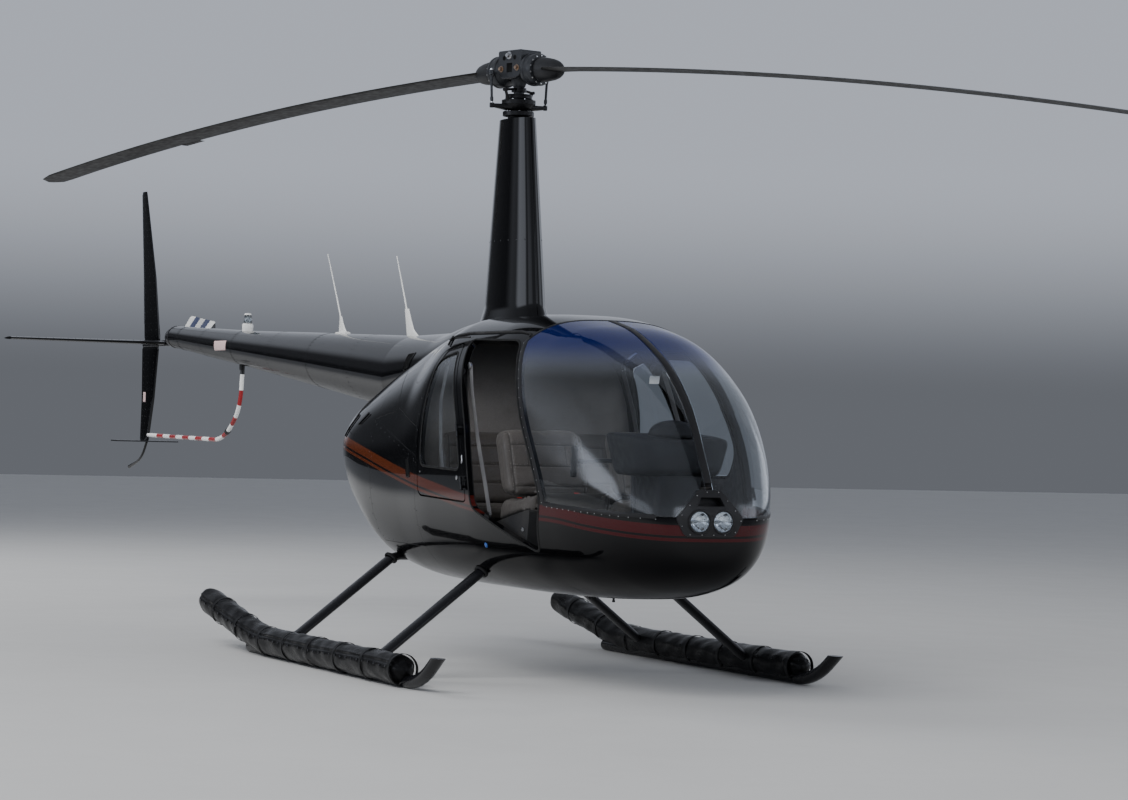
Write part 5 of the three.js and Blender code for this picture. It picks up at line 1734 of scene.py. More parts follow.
    def beacon(self) -> None:
        """Builds the beacon: foot, clear dome with ribs and the white lamp inside."""
        x = self.beacon_x
        foot = lathe([(1.840, .035), (1.868, .0368), (1.884, .0365), (1.893, .031), (1.893, .0285)], (x, 0, 0), (0, 0, 1), 40)
        cap = lathe([(1.949, .0235), (1.956, .0225), (1.961, .016), (1.962, .001)], (x, 0, 0), (0, 0, 1), 40)
        core = lathe([(1.890, .016), (1.930, .015), (1.944, .010)], (x, 0, 0), (0, 0, 1), 20)
        obj = Shape().tube(foot).tube(cap).tube(core).build("beacon_foot")
        dress(sharpen(obj, 50), WHITE_GEL, Body.AIRFRAME, "white_plastic", "beacon")
        side = [(1.893, .0268), (1.920, .0256), (1.9495, .0238)]
        rings = lathe(side + [(h, r - .003) for h, r in side[::-1]], (x, 0, 0), (0, 0, 1), 72)
        angle = np.arange(72) * TAU / 72
        rings[:3, :, :2] = [x, 0] + (rings[:3, :, :2] - [x, 0]) * (1 + 0.02 * np.cos(12 * angle))[None, :, None]
        shape = Shape().grid(np.concatenate([rings, rings[:1]]), wrap=True)
        dress(shape.build("beacon_dome"), PANE, Body.AIRFRAME, "clear")

    def build(self) -> None:
        """Builds everything behind the cowl except the tail rotor."""
        self.boom()
        self.foil(self.upper, False, "fin_upper_skin", "fin_upper")
        self.foil(self.lower, False, "fin_lower_skin", "fin_lower")
        self.foil(self.stabilizer, True, "stabilizer_skin", "stabilizer")
        self.fin_details()
        self.guard()
        self.plates()
        self.aerial()
        self.beacon()


@dataclass
class Gear:
    """Skids, cross tubes in their fairings and the stowed floats."""

    skid_y: float = 1.075
    float_y: float = 1.092
    float_radius: float = 0.080
    toe_top: float = 0.172
    strut_x: tuple = (("rear", -0.487), ("front", 0.780))

    def skids(self) -> None:
        """Builds both skids as round tubes with a level-cut toe."""
        for hand in Hand:
            y = hand.value * self.skid_y
            path = bent([(-1.0, y, .032, 0), (1.475, y, .032, .17), (1.82, y, .262, 0)], pieces=70)
            rings = carried(path, circle(32, 0.032), np.array([0.0, 1.0, 0.0]))
            cut = rings[..., 2] > self.toe_top
            stop = int(np.argmax(cut.any(1)))
            ahead = (path[stop] - path[stop - 1]) / np.linalg.norm(path[stop] - path[stop - 1])
            start = rings[stop - 1]
            last = start + ahead * ((self.toe_top - start[:, 2]) / ahead[2])[:, None]
            rings = np.concatenate([rings[:stop], last[None]])
            obj = sharpen(Shape().tube(rings).build(f"skid_{hand.word}_tube"), 50)
            dress(obj, GEAR_PAINT, Body.AIRFRAME, "dark_trim", f"skid_{hand.word}")

    def struts(self) -> None:
        """Builds both cross tubes in their flat fairings."""
        for name, x in self.strut_x:
            path = bent([(x, -1.080, .060, 0), (x, -.455, .556, .045), (x, .455, .556, .045), (x, 1.080, .060, 0)],
                        pieces=60)
            t = circle(40)
            shape_of = np.stack([np.sign(t[:, 0]) * np.abs(t[:, 0]) ** 0.9 * 0.053, t[:, 1] * 0.022], 1)
            up = np.cross(np.gradient(path, axis=0), [1.0, 0, 0])
            rings = carried(path, shape_of, up)
            obj = Shape().tube(rings).build(f"cross_tube_{name}_fairing")
            dress(obj, GEAR_PAINT, Body.AIRFRAME, "black_paint", f"cross_tube_{name}")

    def float_path(self, y: float) -> tuple:
        """The middle line of a stowed float and the distance run along it."""
        path = bent([(1.338, y, .088, 0), (1.27, y, .086, 0), (-.76, y, .084, .18), (-1.64, y, .236, 0),
                     (-1.745, y, .258, 0)], pieces=150)
        return path, np.r_[0, np.cumsum(np.linalg.norm(np.diff(path, axis=0), axis=1))]

    def floats(self) -> None:
        """Builds the stowed floats: one cover is filled and tied, and mirrored to the other side."""
        path, run = self.float_path(self.float_y)
        end = np.minimum(run, run[-1] - run)
        angle = TAU * np.arange(72) / 72
        radius = (self.float_radius - .006) * np.clip(end / 0.085, 0.02, 1) ** 0.42
        wave = 0.010 * np.cos(2 * angle + run[:, None] * 3.1) - 0.030 * self.ties(run)[:, None]
        radius = radius[:, None] * (1 + wave)
        section = np.stack([np.cos(angle) * radius, np.sin(angle) * radius], -1)
        rings = carried(path, section, np.array([0.0, 1.0, 0.0]))
        obj = Shape().tube(rings).build("float_left_cover")
        plump(obj, .0125, .006, pins=lambda p: self.ties(self.along(p)[0]))
        self.crumple(obj)
        other = copied(obj, "float_right_cover", lambda p: p * [1, -1, 1], True)
        for hand, cover in zip(Hand, (obj, other)):
            dress(cover, TARP, Body.AIRFRAME, "float_fabric", f"float_{hand.word}")

    def ties(self, run: Array) -> Array:
        """How near each place along the float is to one of its ties, from 0 to 1."""
        return np.exp(-(((run + 0.13) % 0.385 - 0.1925) / 0.016) ** 2)

    def along(self, p: Array) -> tuple:
        """The distance run, the offset from the middle line and the angle round it, for each point."""
        path, run = self.float_path(self.float_y)
        x = path[::-1, 0]
        z = np.interp(p[:, 0], x, path[::-1, 2])
        flat = np.stack([np.zeros(len(p)), p[:, 1] - self.float_y, p[:, 2] - z], 1)
        return np.interp(p[:, 0], x, run[::-1]), flat, np.arctan2(flat[:, 2], flat[:, 1])

    def crumple(self, obj: bpy.types.Object) -> None:
        """Folds the filled cover: waves that run across, deeper near the ties, and a seam along its side.

        Args:
            obj: the cover.
        """
        points = read_points(obj.data) - [SHIFT, 0, 0]
        run, flat, angle = self.along(points)
        size = np.linalg.norm(flat, axis=1, keepdims=True)
        near = self.ties(run) ** 0.35
        fold = (np.sin(run * 24 + 2.2 * angle + 1.7 * np.sin(run * 9)) * (0.5 + near)
                + 0.7 * np.sin(run * 37 - 3 * angle + 2 * np.sin(run * 5.3))
                + 0.8 * np.sin(13 * run + 5 * angle))
        seam = np.exp(-((angle - 0.45 - 0.05 * np.sin(run * 4)) / 0.05) ** 2)
        lip = np.exp(-((angle - 0.62 - 0.05 * np.sin(run * 4)) / 0.07) ** 2)
        away = 0.0019 * fold - 0.0040 * seam + 0.0028 * lip
        move = flat / np.maximum(size, 1e-6) * (away * np.clip(size[:, 0] / 0.04, 0, 1))[:, None]
        points += move
        points[:, 2] = np.maximum(points[:, 2], 0.0055)
        write_points(obj.data, points + [SHIFT, 0, 0])

    def straps(self) -> None:
        """Builds the ties round the floats and the eyelets along their seams."""
        path, run = self.float_path(self.float_y)
        places = np.arange(0.0625, run[-1] - .10, 0.385)
        for hand in Hand:
            shape = Shape()
            for place in places:
                middle = np.array([np.interp(place, run, path[:, k]) for k in range(3)])
                ahead = np.array([np.interp(place + .01, run, path[:, k]) for k in range(3)]) - middle
                ahead /= np.linalg.norm(ahead)
                turn = TAU * np.arange(56) / 56
                up = np.cross(ahead, [0, 1.0, 0])
                ring = middle + (self.float_radius - .0025) * (np.cos(turn)[:, None] * [0, 1.0, 0]
                                                              + np.sin(turn)[:, None] * up)
                out = (ring - middle) / (self.float_radius - .0025)
                section = np.array([(-.014, -.001), (.014, -.001), (.0145, .0005), (.0135, .0014), (-.0135, .0014),
                                    (-.0145, .0005)])
                looped = np.vstack([ring[-1:], ring, ring[:1]])
                rings = carried(looped, section, np.vstack([out[-1:], out, out[:1]]))[1:-1]
                rings[..., 2] = np.maximum(rings[..., 2], .0045)
                shape.grid(np.concatenate([rings, rings[:1]]), wrap=True)
            shape.moved(lambda p: p * [1, hand.value, 1])
            dress(sharpen(shape.build(f"float_ties_{hand.word}")), TIE, Body.AIRFRAME, "dark_trim")
            eyelets = Shape()
            spots = np.arange(.10, run[-1] - .12, .0775)
            middles = np.stack([np.interp(spots, run, path[:, k]) for k in range(3)], 1)
            angle = 0.20 + 0.05 * np.sin(spots * 4)
            out = np.stack([0 * spots, np.cos(angle), np.sin(angle)], 1)
            for middle, away in zip(middles, out):
                eyelets.tube(lathe([(-.002, .0065), (.0012, .0065), (.0020, .0052), (.0018, .0030)],
                                   (middle + away * (self.float_radius - .0012)) * [1, hand.value, 1],
                                   away * [1, hand.value, 1], 16))
            dress(sharpen(eyelets.build(f"float_eyelets_{hand.word}")), DARK_SCREWS, Body.AIRFRAME, "bare_metal")

    def build(self) -> None:
        """Builds the gear."""
        self.skids()
        self.struts()
        self.floats()
        self.straps()


@dataclass
class Rotor:
    """The main rotor: blade roots, blades and the mast fairing."""

    azimuth: float = np.radians(14.7)
    hub_top: float = 3.280
    hub_bottom: float = 3.130
    chord: float = 0.262
    radius: float = 5.030
    teeter: float = 0.0207
    # Columns: radius, chord, distance of the leading edge ahead of the span line, thickness, pitch in degrees
    rows: tuple = ((0.205, .096, .048, .034, 2.0), (0.300, .150, .060, .026, 1.5), (0.460, .262, .070, .019, 1.0),
                   (2.400, .262, .070, .019, -0.9), (3.800, .262, .070, .019, -2.3), (4.800, .262, .070, .017, -3.3),
                   (4.940, .226, .034, .014, -3.4), (5.030, .120, -.060, .007, -3.4))
    # Columns: height, x of the middle, chord, thickness
    fairing_rows: tuple = ((1.770, .020, .700, .290), (1.830, .020, .678, .278), (1.905, .020, .610, .240),
                           (2.300, .008, .520, .200), (2.915, -.008, .365, .142))

    def place(self, r: Array, c: Array, z: Array) -> Array:
        """A point from its distance along the span, across it and its height."""
        u, v = np.cos(self.azimuth), np.sin(self.azimuth)
        return np.stack(np.broadcast_arrays(r * u - c * v, r * v + c * u, z), -1)

    def height(self, r: Array, tip: float) -> Array:
        """Height of a parked blade: a slope and a sag."""
        return 3.180 - r * (0.033 + tip) - r * r * 0.0132

    def blade(self, sign: int, name: str) -> None:
        """Builds a blade with its narrowed tip, a trim tab and the boot round its root.

        Args:
            sign: 1 for the front blade and -1 for the rear one.
            name: front or rear.
        """
        tip = sign * self.teeter
        table = np.array(self.rows)
        r = np.unique(np.r_[np.linspace(.205, .5, 30), np.linspace(.5, 4.8, 90), np.linspace(4.8, 5.03, 30)])
        chord, lead, thick, pitch = (np.interp(r, table[:, 0], table[:, k])[:, None] for k in range(1, 5))
        ease = np.clip((r - .205) / .255, 0, 1)[:, None]
        ease = ease * ease * (3 - 2 * ease)
        chord = np.where(r[:, None] < .46, .096 + .166 * ease, chord)
        lead = np.where(r[:, None] < .46, .048 + .022 * ease, lead)
        r = r[:, None]
        t = np.linspace(0, 1, 26) ** 1.8
        half = 1.4845 * np.sqrt(t) - 0.63 * t - 1.758 * t ** 2 + 1.4215 * t ** 3 - 0.518 * t ** 4
        t = np.r_[t, t[-2:0:-1]]
        lift = np.r_[half, -half[-2:0:-1]] * thick
        back = lead - t * chord
        angle = np.radians(pitch)
        z = self.height(r, tip) + back * np.sin(angle) + lift * np.cos(angle)
        rings = self.place(sign * r, sign * (back * np.cos(angle) - lift * np.sin(angle)), z)
        shape = Shape().tube(rings)
        tab = np.array([(-.262, .0), (-.262, .0), (-.300, -.002), (-.300, -.004)])
        r0 = np.linspace(3.42, 3.62, 6)[:, None]
        lines = .070 + tab[:, 0]
        shape.tube(self.place(sign * r0, sign * lines[None],
                              self.height(r0, tip) + lines * np.sin(np.radians(-1.9)) + tab[:, 1] + [[.001, -.001, -.001, .001]]))
        obj = sharpen(shape.build(f"rotor_blade_{name}_skin"), 40)
        dress(obj, BLADE_PAINT, Body.ROTOR, "blade_paint", f"rotor_blade_{name}")
        profile = np.array([(.1858, .004), (.186, .058), (.190, .062), (.196, .066), (.215, .0665), (.250, .062),
                            (.285, .0575), (.315, .050), (.335, .040), (.346, .026), (.350, .004)])
        a = circle(56)
        pr = profile[:, 0, None]
        root = self.place(sign * pr, a[:, 0] * profile[:, 1, None],
                          self.height(pr, tip) + a[:, 1] * profile[:, 1, None])
        dress(Shape().tube(root).build(f"blade_boot_{name}"), BOOT, Body.ROTOR, "blade_paint")

    def fairing(self) -> None:
        """Builds the mast fairing as flattened ovals with a groove near its rear edge."""
        rows = np.array(self.fairing_rows)
        z = np.linspace(rows[0, 0], rows[-1, 0], 60)
        x, chord, thick = (np.interp(z, rows[:, 0], rows[:, k])[:, None] for k in (1, 2, 3))
        angle = TAU * np.arange(120) / 120
        c, s = np.cos(angle), np.sin(angle)
        groove = 1 - 0.035 * np.exp(-((np.abs(angle - np.pi) - 0.62) / 0.035) ** 2)
        rings = np.stack(np.broadcast_arrays(x + c * groove * chord / 2, s * groove * thick / 2, z[:, None]), -1)
        inner = rings.copy()
        middle = np.concatenate([x, 0 * x, z[:, None]], 1)[:, None]
        inner = middle + (rings - middle) * 0.94
        shape = Shape().grid(np.concatenate([rings, inner[::-1], rings[:1]]), wrap=True)
        obj = sharpen(shape.build("mast_fairing_shell"), 50)
        dress(obj, PLAIN_PAINT, Body.AIRFRAME, "black_paint", "mast_fairing")
        heights = np.r_[np.linspace(1.90, 2.86, 9), np.full(7, 2.262)]
        turns = np.r_[np.full(9, 2.66), np.linspace(.5, 2.4, 7)]
        chord, thick, x = (np.interp(heights, rows[:, 0], rows[:, k]) for k in (2, 3, 1))
        c, s = np.cos(turns), np.sin(turns)
        shape = Shape()
        centres = np.stack([x + c * chord / 2, s * thick / 2, heights], 1)
        normals = np.stack([c / chord, s / thick, .1 + 0 * s], 1)
        for side in (1, -1):
            flip = np.array([1, side, 1])
            made = beads(centres * flip, normals * flip, .0042, .0013)
            shape.faces += [f + shape.count for f in made.faces]
            shape.points += made.points
            shape.count += made.count
        dress(shape.build("mast_fairing_screws"), DARK_SCREWS, Body.AIRFRAME, "bare_metal")

    def build(self) -> None:
        """Builds the blades and the mast fairing."""
        self.blade(1, "front")
        self.blade(-1, "rear")
        self.fairing()


@dataclass
class Interior:
    """What shows through the glass and the open doorway."""

    seat_sides: tuple = (("left", .07, .53), ("right", -.53, -.07))
    # Side profiles. Columns: x, z, corner radius
    front_back: tuple = ((1.090, .930, .03), (1.232, .930, .03), (1.100, 1.270, .045), (.950, 1.265, .045))
    front_cushion: tuple = ((1.016, .797, .02), (1.484, .887, .035), (1.497, .950, .035), (1.230, .914, .05),
                            (1.080, .915, .03), (1.030, .880, .03))
    rear_back: tuple = ((.244, .800, .02), (.395, .880, .03), (.340, 1.257, .04), (.246, 1.257, .03))
    rear_cushion: tuple = ((.300, .786, .02), (.716, .796, .03), (.730, .862, .035), (.420, .872, .04),
                           (.310, .850, .03))
    # Belt runs. Columns: x, y, z of the starboard side
    front_belt: tuple = ((.735, -.545, 1.575), (.800, -.563, 1.440), (.930, -.580, 1.205), (1.010, -.566, .980),
                         (1.045, -.552, .830))
    rear_belt: tuple = ((.330, -.500, 1.600), (.360, -.548, 1.400), (.430, -.570, 1.150), (.500, -.558, .860))

    def pillow(self, profile: tuple, low: float, high: float, name: str) -> bpy.types.Object:
        """A padded block: a side profile carried across, drawn in towards both sides.

        Each ring is the profile scaled about its middle by (1 - |v|^7)^(1/7), v from -1 to 1 across.

        Args:
            profile: rows of x, z and corner radius.
            low: its lowest y.
            high: its highest y.
            name: the piece's name.

        Returns:
            The closed piece.
        """
        line = resample(inset(rounded(profile), .004), .012)
        v = np.sin(np.linspace(-.499, .499, 60) * np.pi)[:, None]
        scale = np.clip(1 - np.abs(v) ** 7, 1e-3, 1) ** (1 / 7)
        middle = line.mean(0)
        x = middle[0] + (line[:, 0] - middle[0]) * scale
        z = middle[1] + (line[:, 1] - middle[1]) * scale
        y = (low + high) / 2 + v * ((high - low) / 2 - .004)
        return Shape().tube(np.stack(np.broadcast_arrays(x, y, z), -1)).build(name)

    def seats(self) -> None:
        """Builds the four seats: one back and one cushion of each kind are filled, then placed."""
        kinds = (("front", self.front_back, self.front_cushion, .07, .53),
                 ("rear", self.rear_back, self.rear_cushion, .012, .53))
        for kind, back, cushion, low, high in kinds:
            for part, profile in (("back", back), ("cushion", cushion)):
                name = f"seat_{kind}_left_{part}"
                obj = plump(self.pillow(profile, low, high, name), .010, .010)
                middle = (low + high) / 2
                sew(obj, self.seams(kind, part, middle, (high - low) / 2), .0055, .0065)
                self.seat(obj, kind, "left", part)
                other = copied(obj, f"seat_{kind}_right_{part}", lambda p: p * [1, -1, 1], True)
                self.seat(other, kind, "right", part)

    def seat(self, obj: bpy.types.Object, kind: str, hand: str, part: str) -> None:
        nodes = (f"seat_{kind}_{hand}",) if part == "back" else ()
        dress(obj, LEATHER, Body.AIRFRAME, "seat_leather", *nodes)

    def seams(self, kind: str, part: str, middle: float, half: float) -> Callable[[Array], Array]:
        """The sewn lines of a back or a cushion.

        Args:
            kind: front or rear.
            part: back or cushion.
            middle: the seat's middle y.
            half: its half width.

        Returns:
            A function that gives the distance to the nearest line.
        """
        def back(p: Array) -> Array:
            """Welts at both sides, level channels and two short upright seams."""
            across = np.abs(p[:, 1] - middle)
            front = .030 + np.maximum(0, .06 - np.abs(p[:, 0] - self.face(kind, p[:, 2])))
            welt = np.abs(across - (half - .040))
            levels = np.array([1.19, 1.085, .985]) if kind == "front" else np.array([1.17, 1.075, .98])
            level = np.abs(p[:, 2, None] - levels).min(1) + np.where(across > half - .040, 1, 0)
            upright = np.abs(across - .105) + np.where((p[:, 2] < 1.085) | (p[:, 2] > 1.19), 1, 0)
            return np.minimum(np.minimum(welt, level), upright) + np.where(front < .04, 1, 0)

        def cushion(p: Array) -> Array:
            """Welts at both sides, one along the front and two lines across."""
            across = np.abs(p[:, 1] - middle)
            welt = np.abs(across - (half - .045))
            nose = 1.435 if kind == "front" else .672
            lines = np.abs(p[:, 0, None] - np.array([nose, nose - .115, nose - .23])).min(1)
            lines += np.where(across > half - .045, 1, 0)
            low = p[:, 2] < (.85 + (p[:, 0] - 1.2) * .19 if kind == "front" else .82)
            return np.minimum(welt, lines) + np.where(low, 1, 0)

        return back if part == "back" else cushion

    def face(self, kind: str, z: Array) -> Array:
        """The x of a back's front face at height z."""
        (x0, z0), (x1, z1) = ((1.232, .930), (1.100, 1.270)) if kind == "front" else ((.395, .88), (.340, 1.257))
        return x0 + (z - z0) * (x1 - x0) / (z1 - z0)

    def strap(self, shape: Shape, points: Array, width: float, side: int) -> None:
        """Adds a flat strap along a smooth line through some points.

        Args:
            shape: collects the strap.
            points: rows of x, y, z for the starboard side.
            width: the strap's width.
            side: the sign of Y.
        """
        table = np.array(points) * [1, -side, 1]
        t = np.linspace(0, len(table) - 1, 40)
        path = np.stack([np.interp(t, np.arange(len(table)), table[:, k]) for k in range(3)], 1)
        blur = np.array([1, 2, 3, 2, 1]) / 9
        path[2:-2] = np.stack([np.convolve(path[:, k], blur, "valid") for k in range(3)], 1)
        flat = np.array([(-.5, -.5), (-.17, -.62), (.17, -.62), (.5, -.5), (.5, .5), (.17, .62), (-.17, .62),
                         (-.5, .5)]) * [width, .0018]
        shape.tube(carried(path, flat, np.array([0.0, 1.0, 0.12])))

    def belts(self) -> None:
        """Builds shoulder belts, their guides and the buckles on the cushions."""
        for hand in Hand:
            shape = Shape()
            for run in (self.front_belt, self.rear_belt):
                self.strap(shape, run, .046, hand.value)
            dress(sharpen(shape.build(f"belts_{hand.word}")), WEBBING, Body.AIRFRAME, "cabin_trim")
            metal = Shape()
            for x, y, z in (self.front_belt[0], self.rear_belt[0], self.front_belt[-1], self.rear_belt[-1]):
                metal.tube(lathe([(-.006, .015), (-.005, .017), (.005, .017), (.006, .015)],
                                 (x, -y * hand.value * 1.0 + hand.value * .006, z + .004), (0, 1, 0), 20))
            dress(sharpen(metal.build(f"belt_guides_{hand.word}")), SCREWS, Body.AIRFRAME, "bare_metal")
            for kind, x, y, z in (("front", 1.278, .190, .943), ("rear", .484, .150, .895)):
                box = np.array([(-.028, -.017), (.028, -.017), (.028, .017), (-.028, .017)])
                ring = rounded(np.c_[box, np.full(4, .006)], steps=3)
                rows = [(-.010, .85), (-.007, 1), (.007, 1), (.010, .85)]
                rings = np.stack([np.stack([x + ring[:, 0] * s, hand.value * y + ring[:, 1] * s,
                                            np.full(len(ring), z + h)], 1) for h, s in rows])
                dress(Shape().tube(rings).build(f"buckle_{kind}_{hand.word}"), TRIM, Body.AIRFRAME, "cabin_trim")
                rows = [(.008, .6), (.0125, .6), (.0135, .5)]
                rings = np.stack([np.stack([x + .006 + ring[:, 0] * s * .7, hand.value * y + ring[:, 1] * s,
                                            np.full(len(ring), z + h)], 1) for h, s in rows])
                dress(Shape().tube(rings).build(f"buckle_button_{kind}_{hand.word}"), RED, Body.AIRFRAME,
                      "cabin_trim")

    def linings(self) -> None:
        """Builds the headliner and the linings of the doors."""
        x = np.linspace(.238, 1.215, 50)[:, None]
        start = BODY.phi(x, np.full(x.shape, 1.722))
        v = np.linspace(0, 1, 60)[None]
        grid = BODY.point(x, start + v * (np.pi - 2 * start), -.0305)
        obj = thicken(Shape().grid(grid).build("headliner_panel", closed=False), .003, 0)
        dress(obj, HEADLINER, Body.AIRFRAME, "cabin_trim")
        cabin = Cabin()
        for name, hand, body in (("front", Hand.LEFT, Body.DOOR_FRONT_LEFT), ("rear", Hand.LEFT, Body.DOOR_REAR_LEFT),
                                 ("rear", Hand.RIGHT, Body.DOOR_REAR_RIGHT)):
            outline, window, centre = ((FRONT_DOOR, FRONT_WINDOW, cabin.door_centre) if name == "front"
                                       else (REAR_DOOR, REAR_WINDOW, cabin.rear_centre))
            border = resample(inset(rounded(outline), .030), .02)
            hole = inset(rounded(window), -.012)
            grid = cabin.cell(border, hole, centre, hand.value, 10, -.0285)
            obj = thicken(Shape().grid(grid, wrap=True).build(f"door_lining_{name}_{hand.word}", closed=False), .0025, 0)
            dress(obj, BOX_TRIM, body, "cabin_trim")

    def console(self) -> None:
        """Builds the console: pedestal, wide head, hood, and dials that face the seats."""
        def ring(x: float, z0: float, z1: float, low: float, high: float, r: float) -> Array:
            """A rounded section at station x, wider above than below."""
            rows = ((-low, z0, r), (low, z0, r), (high, z1, r), (-high, z1, r))
            flat = rounded(rows, steps=6)
            return np.concatenate([np.full((len(flat), 1), x), flat], 1)

        head = np.stack([ring(1.774, 1.072, 1.250, .205, .255, .030), ring(1.770, 1.066, 1.256, .212, .266, .034),
                         ring(1.776, 1.060, 1.262, .218, .275, .036), ring(1.900, 1.058, 1.256, .222, .275, .040),
                         ring(2.030, 1.062, 1.244, .214, .265, .046), ring(2.070, 1.078, 1.230, .190, .240, .050),
                         ring(2.084, 1.100, 1.205, .150, .195, .045)])
        foot = np.stack([np.concatenate([np.array(rounded(((a, -w, .02), (b, -w, .02), (b, w, .02), (a, w, .02)),
                                                          steps=4)), np.full((20, 1), z)], 1)
                         for z, a, b, w in ((.620, 1.745, 2.005, .115), (.640, 1.750, 2.008, .112),
                                            (.850, 1.772, 2.030, .108), (1.040, 1.792, 2.046, .118),
                                            (1.062, 1.794, 2.048, .125))])
        obj = sharpen(Shape().tube(head).tube(foot).build("instrument_console_case"), 45)
        dress(obj, BOX_TRIM, Body.AIRFRAME, "cabin_trim", "instrument_console")
        t = np.linspace(0, np.pi / 2, 12)[:, None]
        a = circle(48)
        hood = np.stack(np.broadcast_arrays(1.950 + .105 * np.cos(t) * a[:, 0], .122 * np.cos(t) * a[:, 1],
                                            1.244 + .084 * np.sin(t) ** .8 + 0 * a[:, 0]), -1)
        obj = Shape().grid(hood[:-1], wrap=True).fan(hood[-2], hood[-1].mean(0)).build(
            "console_hood", closed=False, axis=(0, 1.2))
        dress(thicken(obj, .004, 0), BOX_TRIM, Body.AIRFRAME, "cabin_trim")
        spots = [(y, z, .040) for z in (1.108, 1.206) for y in (-.165, -.055, .055, .165)]
        spots += [(y, z, .024) for z in (.80, .88, .96) for y in (-.055, 0, .055)]
        rims, faces, glass = Shape(), Shape(), Shape()
        for y, z, r in spots:
            x = 1.7705 if r > .03 else 1.786 - (.98 - z) * .10
            back = (-1, 0, 0)
            rim = lathe([(-.004, r), (.004, r), (.006, r - .002), (.005, r - .005), (-.001, r - .006)], (x, y, z), back, 28)
            rims.grid(np.concatenate([rim, rim[:1]]), wrap=True)
            disc = lathe([(-.001, r - .005), (.001, r - .0055)], (x, y, z), back, 28)
            faces.tube(disc)
            needle = np.array([(-.004, -.0012), (r * .72, -.0004), (r * .72, .0004), (-.004, .0012)])
            turn = .9 + 3.7 * y + 2.1 * z
            spin = np.array([[np.cos(turn), np.sin(turn)], [-np.sin(turn), np.cos(turn)]])
            flat = needle @ spin
            faces.tube(np.stack([np.c_[np.full(4, x - d), y + flat[:, 0], z + flat[:, 1]] for d in (.0012, .002)]))
        dress(sharpen(rims.build("dial_rims")), TRIM, Body.AIRFRAME, "cabin_trim")
        obj = faces.build("dial_faces")
        points = read_points(obj.data) - [SHIFT, 0, 0]
        middles = np.array([(y, z) for y, z, _ in spots])
        near = np.argmin(np.linalg.norm(points[:, None, 1:] - middles[None], axis=2), 1)
        local = (points[:, 1:] - middles[near]) / np.array([r for *_, r in spots])[near, None]
        raised = (points[:, 0] < np.where(near < 8, 1.7705, 1.786 - (.98 - middles[near, 1]) * .10) - .0011) * 1.0
        mark(obj.data, "dial", np.c_[local, raised])
        dress(obj, DIAL, Body.AIRFRAME, "cabin_trim")

    def controls(self) -> None:
        """Builds the cyclic with its two grips, and the pedals."""
        post = lathe([(.6195, .0), (.6195, .040), (.632, .040), (.640, .030), (.652, .034), (.664, .026), (.676, .029),
                      (.690, .020), (.700, .0155), (1.108, .0155), (1.112, .021), (1.134, .021), (1.138, .0)],
                     (0, 0, 0), (0, 0, 1), 28)
        post[..., 0] += 1.560 - (post[..., 2] - .6195) * .06
        shape = Shape().tube(post[1:-1])
        y = np.linspace(-.315, .315, 40)
        bar = np.stack([1.530 + 0 * y, y, 1.120 + .004 * np.cos(y * 9)], 1)
        shape.tube(carried(bar, circle(16, .0115), np.array([0, 0, 1.0])))
        dress(sharpen(shape.build("cyclic_post")), TRIM, Body.AIRFRAME, "dark_trim", "cyclic_stick")
        grips = Shape()
        h = np.linspace(0, 1, 40)
        radius = .0155 + .0022 * np.sin(h * np.pi * 5) * (h > .12) * (h < .8) + .003 * np.exp(-((h - .93) / .06) ** 2)
        radius[[0, -1]] *= .7
        for side in (1, -1):
            path = np.stack([1.530 + .012 * (h - .5), side * .322 + 0 * h, 1.040 + .150 * h], 1)
            ring = circle(24)[None] * radius[:, None, None] * [1.15, 1]
            grips.tube(carried(path, ring, np.array([0, 1.0, 0])))
        dress(grips.build("cyclic_grips"), RUBBER, Body.AIRFRAME, "dark_trim")
        pedals = Shape()
        for y in (-.38, -.22, .22, .38):
            arm = bent([(2.02, y, .62, 0), (2.03, y, .74, .05), (1.985, y, .80, 0)], pieces=20)
            pedals.tube(carried(arm, circle(12, .009), np.array([0, 1.0, 0])))
            pad = rounded(((-.045, -.03, .01), (.045, -.03, .01), (.045, .03, .01), (-.045, .03, .01)), steps=3)
            rows = [(0, .9), (.002, 1), (.009, 1), (.011, .9)]
            pedals.tube(np.stack([np.stack([1.978 - d + pad[:, 1] * .35, y + pad[:, 0] * s, .80 + pad[:, 1] * s], 1)
                                  for d, s in rows]))
        dress(sharpen(pedals.build("pedals")), TRIM, Body.AIRFRAME, "dark_trim")

    def compass(self) -> None:
        """Builds the compass under the windshield's strip, with a blank card."""
        top = float(BODY.at(np.array(1.761))[1]) - .014
        stem = lathe([(1.590, .006), (top, .006)], (1.761, 0, 0), (0, 0, 1), 12)
        body = lathe([(-.034, .012), (-.030, .024), (-.010, .031), (.012, .031), (.024, .026), (.028, .010)],
                     (1.761, 0, 1.572), (1, 0, 0), 32)
        dress(Shape().tube(stem).tube(body).build("compass_case"), TRIM, Body.AIRFRAME, "cabin_trim")
        face = lathe([(-.0365, .004), (-.0355, .018), (-.033, .021)], (1.761, 0, 1.572), (1, 0, 0), 28)
        dress(Shape().tube(face).build("compass_face"), CHROME, Body.AIRFRAME, "cabin_trim")
        card = rounded(((-.026, 1.502, .003), (.026, 1.502, .003), (.026, 1.540, .003), (-.026, 1.540, .003)), steps=3)
        rings = np.stack([np.concatenate([np.full((len(card), 1), x), card], 1) for x in (1.735, 1.737)])
        rings[..., 0] += (rings[..., 2] - 1.52) * .2
        dress(sharpen(Shape().tube(rings).build("compass_card")), WHITE_GEL, Body.AIRFRAME, "cabin_trim")

